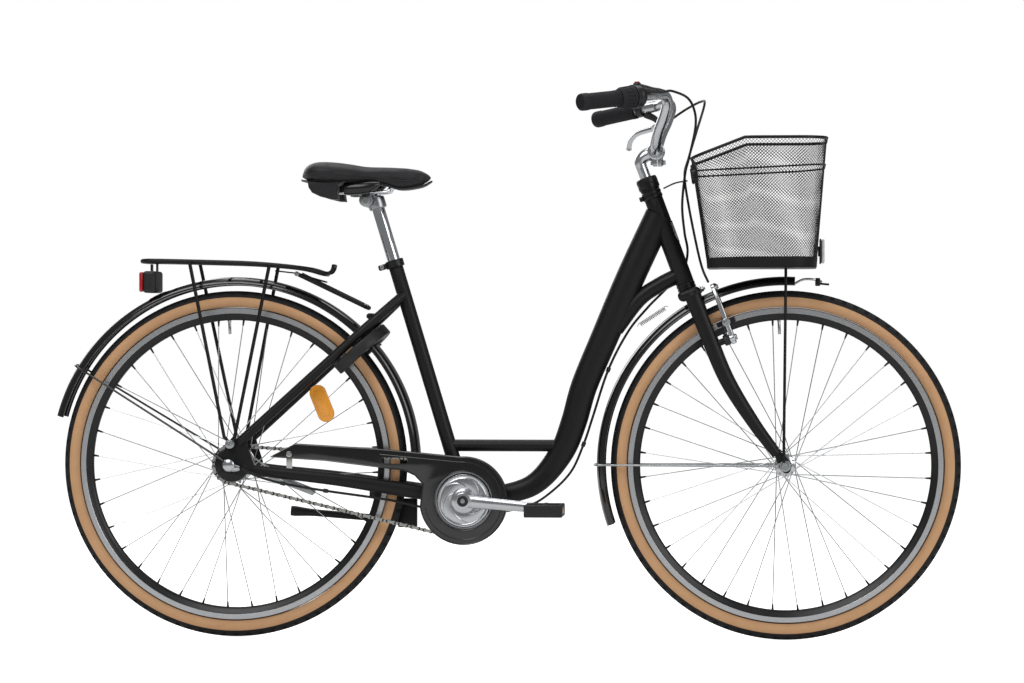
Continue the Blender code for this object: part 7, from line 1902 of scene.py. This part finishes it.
lens = box_of((REAR.x - 0.1900, -0.043, LIGHT_LOW + 0.002), (REAR.x - 0.1823, 0.043, LIGHT_LOW + 0.042), 0.0034, 5)
lens_ribs = [bar(0.0009, (REAR.x - 0.1897, -0.037, LIGHT_LOW + z), (REAR.x - 0.1897, 0.037, LIGHT_LOW + z), 10)
             for z in (0.010, 0.016, 0.022, 0.028, 0.034)]
piece("tail_light_lens_moulding", [lens] + lens_ribs, RED_ACRYLIC, "frame", "tail_light_lens")

# ---------------------------------------------------------------- ring lock
# A horseshoe case of black nylon over steel, bolted to the seat stays. Its hardened bar slides round
# inside it and through the spokes. The barrel takes a key from the left.
LOCK_MEAN = 0.062
LOCK_CENTRE = joint_place("shackle_turn")
lock_out = Vector((cos(LOCK_ANGLE), 0.0, sin(LOCK_ANGLE)))
lock_side = Vector((sin(LOCK_ANGLE), 0.0, -cos(LOCK_ANGLE)))
LOCK_FRAME = Matrix((
    (lock_out.x, lock_side.x, 0.0, LOCK_CENTRE.x),
    (0.0, 0.0, 1.0, 0.0),
    (lock_out.z, lock_side.z, 0.0, LOCK_CENTRE.z),
    (0.0, 0.0, 0.0, 1.0),
))
lock_start = pi + radians(40)
lock_end = 3 * pi - radians(40)
case_outline = arc((0, 0), LOCK_MEAN + 0.0100, lock_start, lock_end, 72)
case_outline += arc((0, 0), LOCK_MEAN - 0.0100, lock_end, lock_start, 72)


def ring_bar(radius, start, end, steps):
    """A round bar along an arc of the lock's ring."""
    bent = rod([(x, 0.0, z) for x, z in arc((0, 0), LOCK_MEAN, start, end, steps)], radius, 24)
    bent.transform(LOCK_FRAME)
    return bent


case_mesh = solid(case_outline, -0.0115, 0.0115, 0.0030, 4, LOCK_FRAME)
case_mesh = combined(case_mesh, [ring_bar(0.0055, lock_start - radians(4), lock_end + radians(4), 60)], "DIFFERENCE")
piece("ring_lock_case", case_mesh, PLASTIC, "frame", "ring_lock_body")
shackle_start = lock_start + radians(2)
piece("ring_lock_bar", ring_bar(0.0045, shackle_start, shackle_start + radians(130), 60), CHROME, "lock_shackle", "lock_shackle")
barrel = turned([(0.0, 0.0115), (0.0072, 0.0115), (0.0076, 0.0142), (0.0070, 0.0150), (0.0026, 0.0150), (0.0, 0.0150)], 36,
                (0.0, 0.0, 0.0), "Y")
barrel.transform(LOCK_FRAME @ Matrix.Translation((0.030, 0.0, 0.0545)))
piece("ring_lock_barrel", barrel, CHROME, "frame")

# ---------------------------------------------------------------- kickstand
# A steel leg with a welded pivot eye and a pressed foot, folded up beside the wheel. It turns on a bolt
# through a bracket welded behind the bottom bracket.
STAND_PIVOT = joint_place("kickstand_fold")
STAND_TILT = radians(18)
STAND_OUT = Vector((0.0, cos(STAND_TILT), sin(STAND_TILT)))
bracket_block = box_of((STAND_PIVOT.x - 0.019, 0.0250, STAND_PIVOT.z - 0.012), (STAND_PIVOT.x + 0.020, 0.0425, BRACKET.z + 0.0005),
                       0.0032, 4)
piece("kickstand_bracket_block", [bracket_block, bar(0.0050, STAND_PIVOT - STAND_OUT * 0.020, STAND_PIVOT + STAND_OUT * 0.0062, 24)],
      POWDER_COAT, "frame", "kickstand_bracket")
stand_frame = (Matrix.Translation(STAND_PIVOT) @ Matrix.Rotation(STAND_TILT, 4, "X") @ Matrix.Rotation(radians(5), 4, "Y"))
eye_ring = turned([(0.0056, -0.0055), (0.0112, -0.0055), (0.0120, -0.0047), (0.0120, 0.0047), (0.0112, 0.0055), (0.0056, 0.0055)],
                  40, along="Y", ring=True)
leg_rod = rod([(-0.0100, 0.0, 0.0, 0.0052), (-0.020, 0.0, 0.0, 0.0072), (-0.190, 0.0, 0.0, 0.0072), (-0.205, 0.0, 0.0, 0.0080),
               (-0.232, 0.0, 0.0, 0.0105), (-0.240, 0.0, 0.0, 0.0100)], 0.0072, 28)
leg_mesh = join([eye_ring, leg_rod])
leg_mesh.transform(stand_frame)
piece("kickstand_leg_tube", leg_mesh, POWDER_COAT, "kickstand", "kickstand_leg")

# ---------------------------------------------------------------- cables
# Steel wire in a wound steel casing under a black vinyl jacket. The brake cable curves from the lever to
# the front brake. The gear cable passes the head tube and runs under the tube to the hub's elbow.


def vinyl_jacket():
    """Extruded black vinyl over a wound casing: a satin skin in which the turns below just show."""
    material, tree, shader, place = new_material("extruded_cable_vinyl", "#161617", 0.34, IOR=1.53, Specular_IOR_Level=0.28)
    mottle(tree, place, 60.0, ("#131314", "#1B1B1D"), (0.28, 0.42), shader)
    grain(tree, place, 1.8, 0.02, shader)
    return material


JACKET = vinyl_jacket()
GRIP_TOP = BAR_TOP
barrel_end = CABLE_STOP + (CABLE_STOP - (LEVER_PIVOT + LEVER_AXIS * 0.010)).normalized() * 0.0012
brake_route = [tuple(barrel_end)] + from_rear([
    (0.905, 0.130, GRIP_TOP - 0.012), (0.938, 0.090, GRIP_TOP + 0.002), (0.945, 0.065, GRIP_TOP - 0.006),
    (0.930, 0.045, GRIP_TOP - 0.060), (0.914, 0.034, GRIP_TOP - 0.115), (0.906, 0.030, GRIP_TOP - 0.150),
    (0.914, 0.031, 0.870), (0.931, 0.031, 0.785), (0.9420, 0.028, 0.742)])
brake_route.append(tuple(steer_point(0.044, 0.013, BRAKE_UP + 0.122)))
piece("front_brake_cable", rod(brake_route, 0.0025, 16, smooth=10), JACKET, "steering", "brake_cable")
shift_route = [tuple(NOZZLE_END + nozzle_way * 0.0012)] + from_rear([
    (0.888, -0.175, GRIP_TOP + 0.006), (0.916, -0.125, GRIP_TOP - 0.004), (0.929, -0.090, GRIP_TOP - 0.028),
    (0.930, -0.065, GRIP_TOP - 0.060), (0.917, -0.045, GRIP_TOP - 0.118), (0.909, -0.038, GRIP_TOP - 0.150),
    (0.903, -0.032, 0.868), (0.907, -0.014, 0.815), (0.9125, 0.013, 0.775), (0.901, 0.031, 0.735), (0.862, 0.033, 0.695),
    (0.832, 0.020, 0.664), (0.7935, 0.008, 0.616), (0.754, 0.003, 0.5395), (0.7230, 0.000, 0.4450), (0.7045, 0.000, 0.390),
    (0.678, -0.002, 0.333), (0.632, -0.006, 0.2880), (0.590, -0.009, 0.2650), (0.530, -0.012, 0.2530),
    (0.467, -0.018, 0.2520), (0.400, -0.030, 0.2600), (0.320, -0.041, 0.2780), (0.190, -0.053, 0.2970),
    (0.105, -0.064, 0.3120), (0.056, -0.080, 0.3270), (0.0240, -0.0865, REAR.z - 0.0058)])
shift_piece = piece("gear_cable", rod(shift_route, 0.0025, 16, smooth=8), JACKET, None, "shift_cable")
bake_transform(shift_piece)
clips = []
for number in (14, 16, 24, 25):
    spot = Vector(shift_route[number])
    way = (Vector(shift_route[number + 1]) - Vector(shift_route[number - 1])).normalized()
    clips.append(bar(0.0042, spot - way * 0.0050, spot + way * 0.0050, 24, 0.0008))
piece("cable_clips", clips, PLASTIC, "frame")

# ---------------------------------------------------------------- steering spring
# A small zinc-plated tension spring keeps the loaded fork straight. It hooks on a band round the main
# tube and on a clip at the crown.
spring_low = Vector((REAR.x + 0.812, 0.0, 0.626))
spring_high = Vector((REAR.x + 0.874, 0.0, 0.6665))
spring_way = (spring_high - spring_low).normalized()
spring_up = Vector((-spring_way.z, 0.0, spring_way.x))
coil = []
for step in range(17 * 12 + 1):
    turn = 2 * pi * step / 12
    along = spring_low.lerp(spring_high, 0.10 + 0.80 * step / (17 * 12))
    coil.append(tuple(along + spring_up * 0.0040 * cos(turn) + Vector((0, 0.0040 * sin(turn), 0))))
coil = [tuple(spring_low)] + coil + [tuple(spring_high)]
spring_piece = piece("steering_spring", rod(coil, 0.0007, 6), ZINC, None)
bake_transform(spring_piece)
piece("basket_tie_wire", rod([(REAR.x + 0.8650, -0.016, 0.9020), (REAR.x + 0.8890, -0.014, 0.9130),
                              (REAR.x + 0.9130, -0.010, 0.9175)], 0.0016, 12, smooth=5), BLACK_OXIDE, "steering")
tip_x, tip_z = FRONT.x + 0.0155, FRONT.z + FENDER_RADIUS - 0.0080
tip_hoop = [(tip_x, -0.0130, tip_z - 0.0080), (tip_x + 0.0200, -0.0130, tip_z + 0.0020), (tip_x + 0.0420, -0.0115, tip_z + 0.0020),
            (tip_x + 0.0560, 0.0, tip_z - 0.0020)]
tip_hoop += [mirrored(point) for point in reversed(tip_hoop[:-1])]
piece("front_fender_tip_hoop", rod(tip_hoop, 0.0022, 14, smooth=8), NICKEL, "steering")
piece("front_fender_tip_clamp", [
    box_of((tip_x + 0.0440, -0.0130, tip_z - 0.0110), (tip_x + 0.0540, 0.0130, tip_z + 0.0050), 0.0020, 3),
    bar(0.0022, (tip_x + 0.0500, 0.0, tip_z - 0.0060), (tip_x + 0.0720, 0.0, tip_z - 0.0080), 14)], BLACK_OXIDE, "steering")
